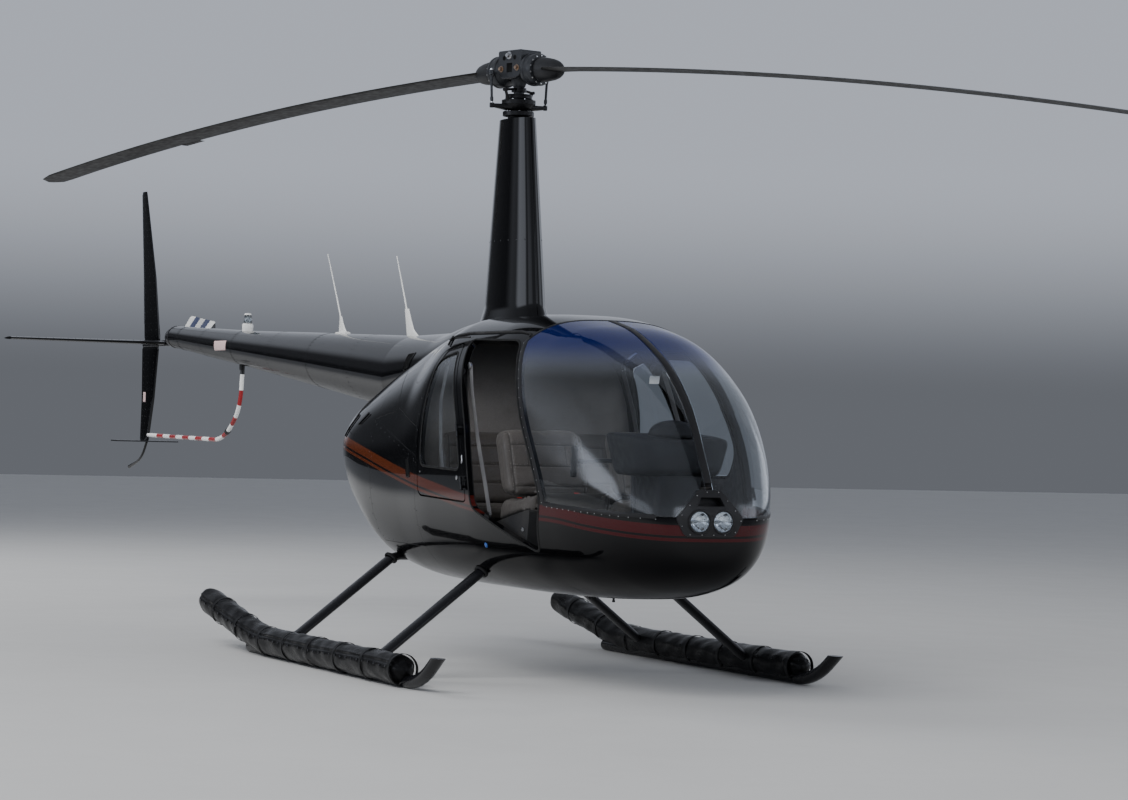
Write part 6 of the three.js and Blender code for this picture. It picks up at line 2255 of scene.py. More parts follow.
    def latch(self) -> None:
        """Builds the small latches on the outer sides of the seat boxes."""
        shape = Shape()
        for side in (1, -1):
            ring = lathe([(-.002, .012), (.002, .012), (.003, .010), (.003, .006), (.001, .005)],
                         (1.40, side * .5305, .775), (0, side, 0), 24)
            shape.grid(np.concatenate([ring, ring[:1]]), wrap=True)
        dress(sharpen(shape.build("seat_box_latches")), SCREWS, Body.AIRFRAME, "bare_metal")

    def build(self) -> None:
        """Builds everything inside the cabin."""
        self.seats()
        self.belts()
        self.linings()
        self.console()
        self.controls()
        self.compass()
        self.latch()


@dataclass
class Hardware:
    """Small things on the outside: rails, slots, louvres, latches, hinges and seals."""

    # Hinge lines: a point on each, its lean, and the heights of the hinges
    hinges: tuple = (("front", 1.577, .606, 1.135, -.55, (.975, 1.275)),
                     ("rear", .905, .652, .960, -.262, (.985, 1.250)))
    radius: float = .008
    length: float = .034

    def ribbon(self, flat: Array, side: int, width: float, height: float, grow: float = 0.0,
               surface: Sections = BODY) -> Array:
        """A low band that follows points of the flank.

        Args:
            flat: x and z of the band's middle line.
            side: the sign of Y.
            width: its width.
            height: how far it stands out.
            grow: distance of its underside from the body.
            surface: the sections that it lies on.

        Returns:
            Rings along the band.
        """
        path = surface.side(flat[:, 0], flat[:, 1], side, grow)
        up = surface_normals(lambda a, b: surface.side(a, b, side), flat[:, 0], flat[:, 1])
        up *= np.sign(up[:, 1:2]) * side
        w, h = width / 2, height
        section = np.array([(-w, -.002), (w, -.002), (w, h * .5), (w * .7, h), (-w * .7, h), (-w, h * .5)])
        return carried(path, section, up)

    def line(self, points: Sequence[tuple], step: float = .02) -> Array:
        """Even points along a line through some points."""
        return evenly(np.array(points, float), step, closed=False)

    def patch(self, outline: tuple, side: int, grow: float, surface: Sections = BODY, rows: int = 8) -> Array:
        """A closed area of the flank as rings that shrink onto its middle."""
        edge = resample(rounded(outline, steps=4), .012)
        flat = between(edge, np.broadcast_to(edge.mean(0), edge.shape), rows)
        return surface.side(flat[..., 0], flat[..., 1], side, grow)

    def rails(self) -> None:
        """Builds the drip rails over the doors and the grab straps behind them."""
        for hand in Hand:
            shape = Shape()
            flat = self.line([(.262, 1.716), (.36, 1.737), (.50, 1.748), (1.10, 1.748), (1.195, 1.737), (1.214, 1.722)])
            shape.tube(self.ribbon(flat, hand.value, .012, .009))
            flat = self.line([(.300, 1.7235), (.40, 1.7275), (.55, 1.7285)])
            shape.tube(self.ribbon(flat, hand.value, .006, .004))
            dress(sharpen(shape.build(f"drip_rail_{hand.word}")), TRIM, Body.AIRFRAME, "dark_trim")
            flat = self.line([(.345, 1.690), (.320, 1.712), (.285, 1.735)], .01)
            path = BODY.side(flat[:, 0], flat[:, 1], hand.value, .006)
            dress(Shape().tube(carried(path, circle(12, .0055), np.array([0, 0, 1.0]))).build(
                f"grab_strap_{hand.word}"), RUBBER, Body.AIRFRAME, "dark_trim")

    def slots(self) -> None:
        """Builds the inlets on the flanks, the openings beside the boom and the louvres, with a near-black sheet of
        painted shade inside each.
        """
        inlet = ((.060, 1.094, .012), (.112, 1.096, .012), (.138, 1.000, .012), (.086, .996, .012))
        exit_ = ((-.937, 1.565, .012), (-.847, 1.582, .012), (-.800, 1.668, .012), (-.908, 1.661, .012))
        louvres = (((-1.135, 1.200, .008), (-1.085, 1.190, .008), (-.935, 1.305, .008), (-.985, 1.318, .008)),
                   ((-.875, 1.262, .008), (-.820, 1.262, .008), (-.690, 1.318, .008), (-.760, 1.330, .008)))
        for hand in Hand:
            dark, rim = Shape(), Shape()
            for outline, surface in ((inlet, BODY), (exit_, SPINE), *((l, BODY) for l in louvres)):
                # The near-black sheet inside each outline is painted shade of the opening.
                dark.grid(self.patch(outline, hand.value, .0012, surface), wrap=True)
                edge = resample(rounded(outline, steps=4), .010)
                looped = np.vstack([edge[-1:], edge, edge[:1]])
                rings = self.ribbon(looped, hand.value, .007, .0035, 0.0, surface)[1:-1]
                rim.grid(np.concatenate([rings, rings[:1]]), wrap=True)
            for start, stop in (((-1.112, 1.197), (-.962, 1.314)), ((-.848, 1.262), (-.727, 1.325))):
                rim.tube(self.ribbon(self.line([start, stop]), hand.value, .010, .008))
            dress(dark.build(f"inlet_shadows_{hand.word}", closed=False, axis=(0, 1.2)), SHADE_BLACK, Body.AIRFRAME, "dark_trim")
            dress(sharpen(rim.build(f"inlet_rims_{hand.word}")), PLAIN_PAINT, Body.AIRFRAME, "black_paint")

    def seams(self) -> None:
        """Builds fine lines where hatches meet the cowl, with their screws."""
        for hand in Hand:
            shape = Shape()
            runs = (((-.174, 1.355), (.212, 1.262)), ((-.440, 1.560), (-.381, 1.536), (-.260, 1.440), (-.226, 1.385),
                                                      (-.222, 1.340)), ((-.222, 1.340), (-.530, 1.300)))
            for run in runs:
                shape.tube(self.ribbon(self.line(run, .012), hand.value, .0030, .0006))
            dress(shape.build(f"hatch_lines_{hand.word}"), RUBBER, Body.AIRFRAME, "dark_trim")
            rows = [self.line(r, .085) for r in (((.196, 1.085), (.196, .665)), ((-.512, 1.262), (-.512, .665)),
                                                 ((.19, 1.095), (-.50, 1.268)), ((.19, .652), (-.50, .652)),
                                                 ((.232, .66), (.232, 1.66)), ((-.55, .70), (-.55, 1.45)))]
            flat = np.vstack(rows)
            points = BODY.side(flat[:, 0], flat[:, 1], hand.value)
            up = surface_normals(lambda a, b: BODY.side(a, b, hand.value), flat[:, 0], flat[:, 1])
            up *= np.sign(up[:, 1:2]) * hand.value
            dress(beads(points, up, .0032, .0011).build(f"cowl_screws_{hand.word}"), DARK_SCREWS, Body.AIRFRAME,
                  "bare_metal")

    def hinge_pair(self, door: str, hand: Hand, body: Body) -> None:
        """Builds both halves of a door's hinges on its leaning line.

        Args:
            door: front or rear.
            hand: the side.
            body: the door's body.
        """
        _, x, y, z, lean, heights = next(h for h in self.hinges if h[0] == door)
        along = np.array([lean, 0, 1.0]) / np.hypot(lean, 1)
        for half, start, reach, rides in (("door", -self.length, -.030, body), ("frame", .0005, .030, Body.AIRFRAME)):
            shape = Shape()
            for height in heights:
                middle = np.array([x + lean * (height - z), hand.value * y, height])
                base = middle + along * start
                r, n = self.radius, self.length
                shape.tube(lathe([(0, r * .75), (.0015, r), (n - .0015, r), (n, r * .75)], base, along, 20))
                path = base + along * n / 2 + np.array([reach, -hand.value * .040, 0]) * np.linspace(0, 1, 6)[:, None]
                oval = circle(16) * [r * .62, r * .8]
                shape.tube(carried(path, oval, along))
            dress(sharpen(shape.build(f"hinge_{half}_{door}_{hand.word}")), PLAIN_PAINT, rides, "black_paint")

    def handles(self) -> None:
        """Builds the front door's lever and lock, and the round latches of the doors."""
        side = Hand.LEFT.value
        p = BODY.side(np.array(1.000), np.array(.985), side)
        shape = Shape().tube(lathe([(-.004, .013), (.003, .013), (.0045, .010), (.0045, .0005)], p, (0, side, 0), 24))
        t = np.linspace(0, 1, 16)[:, None]
        lever = p + np.concatenate([.085 * t, side * (.0065 + .004 * np.sin(np.pi * t)), 0 * t], 1)
        shape.tube(carried(lever, circle(12) * [.0065, .0032], np.array([0, side, 0.0])))
        dress(sharpen(shape.build("door_lever_front_left")), SCREWS, Body.DOOR_FRONT_LEFT, "bare_metal")
        spots = (("front", Hand.LEFT, Body.DOOR_FRONT_LEFT, ((1.000, 1.030, .008),)),
                 ("rear", Hand.LEFT, Body.DOOR_REAR_LEFT, ((.805, 1.012, .011), (.300, 1.030, .005))),
                 ("rear", Hand.RIGHT, Body.DOOR_REAR_RIGHT, ((.805, 1.012, .011), (.300, 1.030, .005))))
        for door, hand, body, rows in spots:
            shape = Shape()
            for x, z, r in rows:
                place = BODY.side(np.array(x), np.array(z), hand.value)
                shape.tube(lathe([(-.004, r), (.002, r), (.0032, r * .8), (.0032, r * .45), (.0018, r * .4)], place,
                                 (0, hand.value, 0), 24))
            dress(sharpen(shape.build(f"door_latch_{door}_{hand.word}")), SCREWS, body, "bare_metal")

    def edging(self) -> None:
        """Builds the black edging that covers the windshield's seams and holds its screws."""
        for hand in Hand:
            side = hand.value
            shape = Shape()
            edge = evenly(rounded(SCREEN_EDGE, closed=False), .012, closed=False)
            shape.tube(self.ribbon(edge + [-.009, 0], side, .026, .0018))
            sill = self.line([(1.722, .914), (2.330, .8795)])
            shape.tube(self.ribbon(sill + [0, -.002], side, .020, .0018))
            start = float(BODY.phi(np.array(1.225), np.array(1.700)))
            phi = np.linspace(start, np.pi / 2 - .02, 70)
            at = lambda a, b: BODY.point(a, b)
            x = np.full(phi.shape, 1.221)
            up = surface_normals(at, x, phi)
            up *= np.sign(up[:, 2:])
            section = np.array([(-.011, -.002), (.011, -.002), (.011, .0010), (.009, .0018), (-.009, .0018),
                                (-.011, .0010)])
            shape.tube(carried(at(x, phi), section, up) * [1, side, 1])
            dress(sharpen(shape.build(f"windshield_edging_{hand.word}"), 40), TRIM, Body.AIRFRAME, "dark_trim")

    def doorway(self) -> None:
        """Builds the seals of the open doorway and the striker with its pin on it."""
        cabin = Cabin()
        cabin.rubber("doorway_seal_front_right", inset(rounded(FRONT_DOOR), -.004), -1, Body.AIRFRAME, .0)
        cabin.rubber("doorway_inner_seal_front_right", inset(rounded(FRONT_DOOR), -.002), -1, Body.AIRFRAME, -.027)
        flat = np.array([[.862, 1.105]])
        p = BODY.side(flat[:, 0], flat[:, 1], -1, -.012)[0]
        plate = rounded(((-.016, -.022, .004), (.016, -.022, .004), (.016, .022, .004), (-.016, .022, .004)), steps=3)
        rows = [(0, 1), (.0025, 1), (.003, .94)]
        rings = np.stack([np.stack([p[0] + .010 + plate[:, 0] * s * .75 + d * .7, p[1] - .001 + plate[:, 0] * s * .66 - d * .7,
                                    p[2] + plate[:, 1] * s], 1) for d, s in rows])
        obj = Shape().tube(rings).build("door_striker")
        dress(sharpen(obj), SCREWS, Body.AIRFRAME, "bare_metal")
        pin = lathe([(0, .0055), (.014, .0055), (.015, .008), (.018, .008), (.0185, .006)], p + [.014, 0, 0], (1, 0, 0), 18)
        dress(sharpen(Shape().tube(pin).build("door_striker_pin")), CHROME, Body.AIRFRAME, "bare_metal")

    def drains(self) -> None:
        """Builds the drain caps on the flanks and the small stubs under the belly."""
        for hand in Hand:
            p = BODY.side(np.array(1.073), np.array(.685), hand.value)
            ring = lathe([(-.004, .014), (.002, .014), (.004, .011), (.0045, .004), (.0045, .0005)], p,
                         (0, hand.value, -.25), 24)
            dress(Shape().tube(ring).build(f"drain_cap_{hand.word}"), BLUE, Body.AIRFRAME, "cabin_trim")
        shape = Shape()
        for x, y in ((1.02, .02), (1.30, .02)):
            z = float(BODY.at(np.array(x))[0])
            shape.tube(lathe([(.02, .006), (-.018, .006), (-.020, .008), (-.026, .008), (-.028, .005)], (x, y, z),
                             (0, 0, 1), 14))
        dress(sharpen(shape.build("belly_stubs")), TRIM, Body.AIRFRAME, "dark_trim")

    def boots(self) -> None:
        """Builds the rubber boots where the cross tubes enter the belly."""
        shape = Shape()
        for x in (-.487, .780):
            for side in (1, -1):
                t = circle(48)
                s = circle(10)
                y0, z0 = (.478, .538) if x > 0 else (.470, .545)
                axis = np.array([0, side * .783, -.621])
                flat = np.array([0, side * .621, .783])
                centre = np.array([x, side * y0, z0])
                ring = (centre + t[:, :1] * .058 * np.array([1.0, 0, 0]) + t[:, 1:] * .029 * flat)
                out = ring - centre
                out /= np.linalg.norm(out, axis=1)[:, None]
                loop = ring[:, None] + .007 * (s[:, :1] * out[:, None] + s[:, 1:] * axis * 1.3)
                shape.grid(np.concatenate([loop, loop[:1]]), wrap=True)
        dress(shape.build("cross_tube_boots"), RUBBER, Body.AIRFRAME, "dark_trim")

    def build(self) -> None:
        """Builds all the small things."""
        self.rails()
        self.slots()
        self.seams()
        for door, hand, body in (("front", Hand.LEFT, Body.DOOR_FRONT_LEFT), ("rear", Hand.LEFT, Body.DOOR_REAR_LEFT),
                                 ("rear", Hand.RIGHT, Body.DOOR_REAR_RIGHT)):
            self.hinge_pair(door, hand, body)
        self.handles()
        self.edging()
        self.doorway()
        self.drains()
        self.boots()


@dataclass
class Head:
    """The rotor head: yoke, drums, bolts, mast, swashplate, links and scissors."""

    rotor: Rotor = field(default_factory=Rotor)
    yoke: tuple = ((-.098, 3.280, .010), (-.098, 3.152, .022), (-.060, 3.130, .016), (.060, 3.130, .016),
                   (.098, 3.152, .022), (.098, 3.280, .010))

    def at(self, r: float, c: float, z: float) -> Array:
        """A point of the turned rotor frame."""
        return self.rotor.place(np.array(r), np.array(c), np.array(z))

    def bolt(self, shape: Shape, centre: Array, axis: Array, radius: float, height: float, washer: float = 1.5) -> None:
        """Adds a hexagon head on a washer."""
        shape.tube(lathe([(-.002, radius * washer), (height * .2, radius * washer), (height * .25, radius * washer * .94)],
                         centre, axis, 28))
        shape.tube(lathe([(height * .2, radius), (height * .85, radius), (height, radius * .86)], centre, axis, 6))

    def hub(self) -> None:
        """Builds the yoke and its two drums."""
        flat = resample(rounded(self.yoke, steps=6), .01)
        tight = inset(flat, .004)
        rings = [self.rotor.place(p[:, 0], np.full(len(p), c), p[:, 1])
                 for p, c in ((tight, -.070), (flat, -.0665), (flat, .0665), (tight, .070))] if len(tight) == len(flat) \
            else [self.rotor.place(flat[:, 0], np.full(len(flat), c), flat[:, 1]) for c in (-.070, .070)]
        shape = Shape().tube(np.stack(rings))
        span = self.at(1, 0, 0)
        for sign in (1, -1):
            tip = sign * self.rotor.teeter
            rows = ((.060, .060), (.092, .071), (.108, .080), (.110, .086), (.118, .0875), (.130, .0875), (.132, .0835),
                    (.160, .0835), (.162, .086), (.172, .0862), (.1850, .078))
            a = circle(56)
            r = np.array(rows)
            drum = self.rotor.place(sign * r[:, :1], a[:, 0] * r[:, 1:], self.rotor.height(r[:, :1], tip) + a[:, 1] * r[:, 1:])
            shape.tube(drum)
        for sign in (1, -1):
            path = np.linspace(0, 1, 14)[:, None]
            start, stop = self.at(sign * .150, sign * .060, 3.160), self.at(sign * .062, sign * .142, 3.161)
            line = start + (stop - start) * path
            radius = .0155 - .0045 * path
            shape.tube(carried(line, circle(20)[None] * radius[:, None], np.array([0, 0, 1.0])))
            shape.tube(lathe([(-.015, .010), (-.013, .0135), (.009, .0135), (.011, .010)], stop, (0, 0, 1), 24))
        shape.tube(lathe([(3.040, .028), (3.085, .028), (3.092, .034), (3.122, .045), (3.133, .046)], (0, 0, 0), (0, 0, 1), 40))
        dress(sharpen(shape.build("rotor_hub_casting"), 38), HUB_METAL, Body.ROTOR, "cast_metal", "rotor_hub")
        # Thin near-black discs and pockets on the yoke's faces: painted shade of its recesses.
        dark = Shape()
        for side in (1, -1):
            axis = self.at(0, side, 0)
            for r, z in ((-.045, 3.240), (.045, 3.240)):
                dark.tube(lathe([(-.001, .0125), (.0008, .0125)], self.at(r, side * .070, z), axis, 24))
            pocket = rounded(((-.023, 3.163, .004), (.023, 3.163, .004), (.023, 3.212, .004), (-.023, 3.212, .004)), steps=3)
            dark.tube(np.stack([self.rotor.place(pocket[:, 0], np.full(len(pocket), side * c), pocket[:, 1])
                                for c in (.066, .0708)]))
        dress(sharpen(dark.build("rotor_hub_recesses")), SHADE_BLACK, Body.ROTOR, "dark_trim")
        bolts, coning = Shape(), Shape()
        for side in (1, -1):
            axis = self.at(0, side, 0)
            self.bolt(bolts, self.at(0, side * .070, 3.252), axis, .0135, .020, 1.55)
            for r in (-.067, .067):
                self.bolt(coning, self.at(r, side * .070, 3.183), axis, .011, .016, 1.55)
        for sign in (1, -1):
            tip = sign * self.rotor.teeter
            z0 = float(self.rotor.height(np.array(.172), tip))
            for angle in TAU * (np.arange(14) + .5) / 14:
                place = self.at(sign * .1845, .0735 * np.cos(angle), z0 + .0735 * np.sin(angle))
                bolts.tube(lathe([(-.004, .0052), (.0035, .0052), (.0042, .004)], place, span * sign, 6))
        dress(sharpen(bolts.build("rotor_hub_bolts")), SCREWS, Body.ROTOR, "bare_metal")
        dress(sharpen(coning.build("coning_bolts")), COPPER, Body.ROTOR, "bare_metal")

    def swashplate(self) -> None:
        """Builds the swashplate's rings, its horns, the pitch links and the scissors."""
        shape = Shape()
        bore = .0284
        rows = ((2.961, bore), (2.961, .060), (2.964, .064), (2.990, .087), (2.994, .088), (2.995, .091), (3.0165, .091),
                (3.017, .0895), (3.0175, .062), (3.0225, .062), (3.023, .070), (3.0255, .072), (3.044, .072),
                (3.047, .070), (3.047, bore))
        body = lathe([*rows, rows[0]], (0, 0, 0), (0, 0, 1), 72)
        shape.grid(body, wrap=True)
        for sign in (1, -1):
            horn = self.at(sign * .050, sign * .142, 2.984)
            t = np.linspace(0, 1, 16)[:, None]
            path = horn * (.30 + .70 * t) * [1, 1, 0] + np.array([0, 0, 1.0]) * (2.977 + .007 * t)
            size = np.concatenate([.052 - .040 * t, .0185 - .0085 * t], 1)[:, None]
            flat = circle(28)
            oval = np.sign(flat) * np.abs(flat) ** .7
            shape.tube(carried(path, oval[None] * size, np.array([0, 0, 1.0])))
            shape.tube(lathe([(-.013, .009), (-.011, .0125), (.011, .0125), (.013, .009)], horn, (0, 0, 1), 24))
        for sign in (1, -1):
            arm = np.array([self.at(sign * -.012, sign * .030, 3.076), self.at(sign * -.022, sign * .108, 3.066)])
            path = arm[0] + (arm[1] - arm[0]) * np.linspace(0, 1, 10)[:, None]
            shape.tube(carried(path, circle(16) * [.013, .0065], np.array([0, 0, 1.0])))
            low = self.at(sign * -.016, sign * .083, 3.008)
            path = arm[1] + (low - arm[1]) * np.linspace(0, 1, 10)[:, None]
            shape.tube(carried(path, circle(16) * [.011, .006], self.at(0, sign, 0)))
            shape.tube(lathe([(-.016, .006), (-.0145, .0085), (.0145, .0085), (.016, .006)], arm[1], self.at(1, 0, 0), 18))
        shape.tube(lathe([(3.060, .0285), (3.061, .040), (3.082, .040), (3.084, .030)], (0, 0, 0), (0, 0, 1), 40))
        dress(sharpen(shape.build("swashplate_rings"), 38), DARK_METAL, Body.ROTOR, "cast_metal", "swashplate")
        links = Shape()
        for sign in (1, -1):
            low, high = self.at(sign * .050, sign * .142, 2.984), self.at(sign * .062, sign * .142, 3.161)
            t = np.linspace(0, 1, 60)
            radius = np.interp(t, [0, .12, .14, .24, .26, .74, .76, .86, .88, 1],
                               [.0055, .0055, .009, .009, .0068, .0068, .009, .009, .0055, .0055])
            path = low + (high - low) * t[:, None]
            links.tube(carried(path, circle(20)[None] * radius[:, None, None], self.at(1, 0, 0)))
        dress(sharpen(links.build("pitch_links")), HUB_METAL, Body.ROTOR, "cast_metal")
        bolts = Shape()
        for sign in (1, -1):
            for z, c in ((2.984, .142), (3.161, .142)):
                r = .050 if z < 3.1 else .062
                self.bolt(bolts, self.at(sign * r, sign * c, z + .0125), np.array([0, 0, 1.0]), .0062, .008)
        angle = TAU * np.arange(8) / 8
        for a in angle:
            bolts.tube(lathe([(0, .0045), (.004, .0045), (.005, .0035)], (.081 * np.cos(a), .081 * np.sin(a), 3.0165),
                             (0, 0, 1), 6))
        dress(sharpen(bolts.build("swashplate_bolts")), SCREWS, Body.ROTOR, "bare_metal")

    def mast(self) -> None:
        """Builds the fixed mast parts that show above the fairing: the collar and its bolts."""
        shape = Shape()
        ring = lathe([(2.905, .0455), (2.905, .052), (2.928, .058), (2.9312, .0815), (2.934, .0842), (2.9535, .0842), (2.9562, .081),
                      (2.9562, .0455), (2.905, .0455)], (0, 0, 0), (0, 0, 1), 56)
        shape.grid(ring, wrap=True)
        dress(sharpen(shape.build("mast_collar")), DARK_METAL, Body.AIRFRAME, "cast_metal")
        bolts = Shape()
        for degrees in (40, 160, 280):
            a = np.radians(degrees)
            at = lambda r, z: np.array([r * np.cos(a), r * np.sin(a), z])
            self.bolt(bolts, at(.068, 2.9545), np.array([0, 0, 1.0]), .006, .005)
        for a in TAU * (np.arange(9) + .5) / 9:
            bolts.tube(lathe([(0, .004), (.003, .004), (.004, .003)], (.074 * np.cos(a), .074 * np.sin(a), 2.9545), (0, 0, 1), 6))
        dress(sharpen(bolts.build("mast_collar_bolts")), SCREWS, Body.AIRFRAME, "bare_metal")

    def build(self) -> None:
        """Builds the whole head."""
        self.hub()
        self.swashplate()
        self.mast()


@dataclass
class TailRotor:
    """The tail rotor's blades, hub and gearbox."""

    x: float = -5.870
    y: float = .300
    z: float = 1.845
    tilt: float = np.radians(5.5)
    pitch: float = np.radians(25)
    # Columns: radius, chord, thickness, distance of the middle behind the pitch axis
    rows: tuple = ((.0905, .084, .024, 0), (.180, .125, .015, .03125), (.707, .125, .012, .03125),
                   (.737, .100, .006, .03125))

    def turned(self, p: Array, sign: int) -> Array:
        """Points of a blade turned by its pitch and by the parked angle, and placed."""
        c, s = np.cos(sign * self.pitch), np.sin(sign * self.pitch)
        x, y, z = p[..., 0], p[..., 1] * c - p[..., 2] * s, p[..., 1] * s + p[..., 2] * c
        c, s = np.cos(self.tilt), np.sin(self.tilt)
        return np.stack([x * c + z * s + self.x, y + self.y, -x * s + z * c + self.z], -1)

    def blades(self) -> None:
        """Builds both blades with an airfoil section and a rounded tip."""
        for name, sign in (("front", 1), ("rear", -1)):
            table = np.array(self.rows)
            r = np.unique(np.r_[np.linspace(.0905, .2, 14), np.linspace(.2, .70, 30), .737 - .037 * np.cos(
                np.linspace(0, np.pi / 2, 10))])
            chord, thick, back = (np.interp(r, table[:, 0], table[:, k])[:, None] for k in (1, 2, 3))
            r = r[:, None]
            t = np.linspace(0, 1, 20) ** 1.7
            half = 1.4845 * np.sqrt(t) - 0.63 * t - 1.758 * t ** 2 + 1.4215 * t ** 3 - 0.518 * t ** 4
            t = np.r_[t, t[-2:0:-1]]
            lift = np.r_[half, -half[-2:0:-1]] * thick
            z = sign * ((.5 - t) * chord - back)
            rings = self.turned(np.stack(np.broadcast_arrays(sign * r, lift, z), -1), sign)
            obj = sharpen(Shape().tube(rings).build(f"tail_rotor_blade_{name}_skin"), 45)
            dress(obj, TipBands(f"tail_blade_paint_{name}", sign=sign), Body.TAIL_ROTOR, "blade_paint",
                  f"tail_rotor_blade_{name}")

    def hub(self) -> None:
        """Builds the hub's forks, shaft and bolts."""
        shape = Shape()
        flat = resample(rounded(((-.089, -.029, .012), (.089, -.029, .012), (.089, .029, .012), (-.089, .029, .012)), steps=5), .01)
        tight = inset(flat, .003)
        rows = [(tight, -.0215), (flat, -.0185), (flat, .0185), (tight, .0215)]
        c, s = np.cos(self.tilt), np.sin(self.tilt)
        rings = [np.stack([p[:, 0] * c + p[:, 1] * s + self.x, np.full(len(p), y + self.y), -p[:, 0] * s + p[:, 1] * c + self.z],
                          1) for p, y in rows]
        shape.tube(np.stack(rings))
        shape.tube(lathe([(-.099, .016), (-.060, .016), (-.058, .030), (-.048, .034), (-.040, .034), (-.038, .017), (.024, .016),
                          (.027, .013)], (self.x, self.y, self.z), (0, 1, 0), 32))
        dress(sharpen(shape.build("tail_rotor_hub_forks"), 40), HUB_METAL, Body.TAIL_ROTOR, "cast_metal", "tail_rotor_hub")
        bolts = Shape()
        for place in (-.070, -.030, .030, .070):
            p = np.array([place * c + self.x, self.y, -place * s + self.z])
            for side in (1, -1):
                bolts.tube(lathe([(0, .009), (.002, .009), (.0022, .0065), (.007, .0065), (.008, .005)], p + [0, side * .0213, 0],
                                 (0, side, 0), 6))
        dress(sharpen(bolts.build("tail_rotor_bolts")), SCREWS, Body.TAIL_ROTOR, "bare_metal")

    def gearbox(self) -> None:
        """Builds the gearbox: cone, flange, output housing, fin bracket and bolts."""
        shape = Shape()
        cone = lathe([(-5.8205, .0755), (-5.826, .079), (-5.834, .079), (-5.838, .074), (-5.900, .070), (-5.930, .064),
                      (-5.950, .052), (-5.958, .034), (-5.9595, .004)], (0, 0, 1.823), (1, 0, 0), 56)
        shape.tube(cone)
        shape.tube(lathe([(0, .048), (.060, .048), (.075, .040), (.110, .040), (.112, .046), (.124, .046), (.126, .036),
                          (.190, .031), (.1995, .030)], (self.x, 0, self.z), (0, 1, 0), 40))
        flat = np.array([(-6.560, -.030), (-5.900, -.030), (-5.900, .006), (-6.560, .006)])
        flat = rounded(np.c_[flat, np.full(4, .006)], steps=4)
        tight = inset(flat, .002)
        rows = [(tight, 1.763), (flat, 1.765), (flat, 1.801), (tight, 1.803)]
        shape.tube(np.stack([np.c_[p, np.full(len(p), z)] for p, z in rows]))
        dress(sharpen(shape.build("tail_gearbox_case"), 40), GEARBOX_PAINT, Body.AIRFRAME, "dark_trim", "tail_gearbox")
        bolts = Shape()
        for a in TAU * (np.arange(10) + .5) / 10:
            bolts.tube(lathe([(0, .006), (.006, .006), (.007, .005)], (-5.838, .0745 * np.cos(a), 1.823 + .0745 * np.sin(a)),
                             (-1, 0, 0), 6))
        for x in (-6.52, -6.36, -6.22, -6.05, -5.94):
            for side, y in ((1, .006), (-1, -.030)):
                bolts.tube(lathe([(0, .0055), (.004, .0055), (.005, .004)], (x, y, 1.783), (0, side, 0), 6))
        dress(sharpen(bolts.build("tail_gearbox_bolts")), SCREWS, Body.AIRFRAME, "bare_metal")

    def build(self) -> None:
        """Builds the tail rotor and its gearbox."""
        self.blades()
        self.hub()
        self.gearbox()


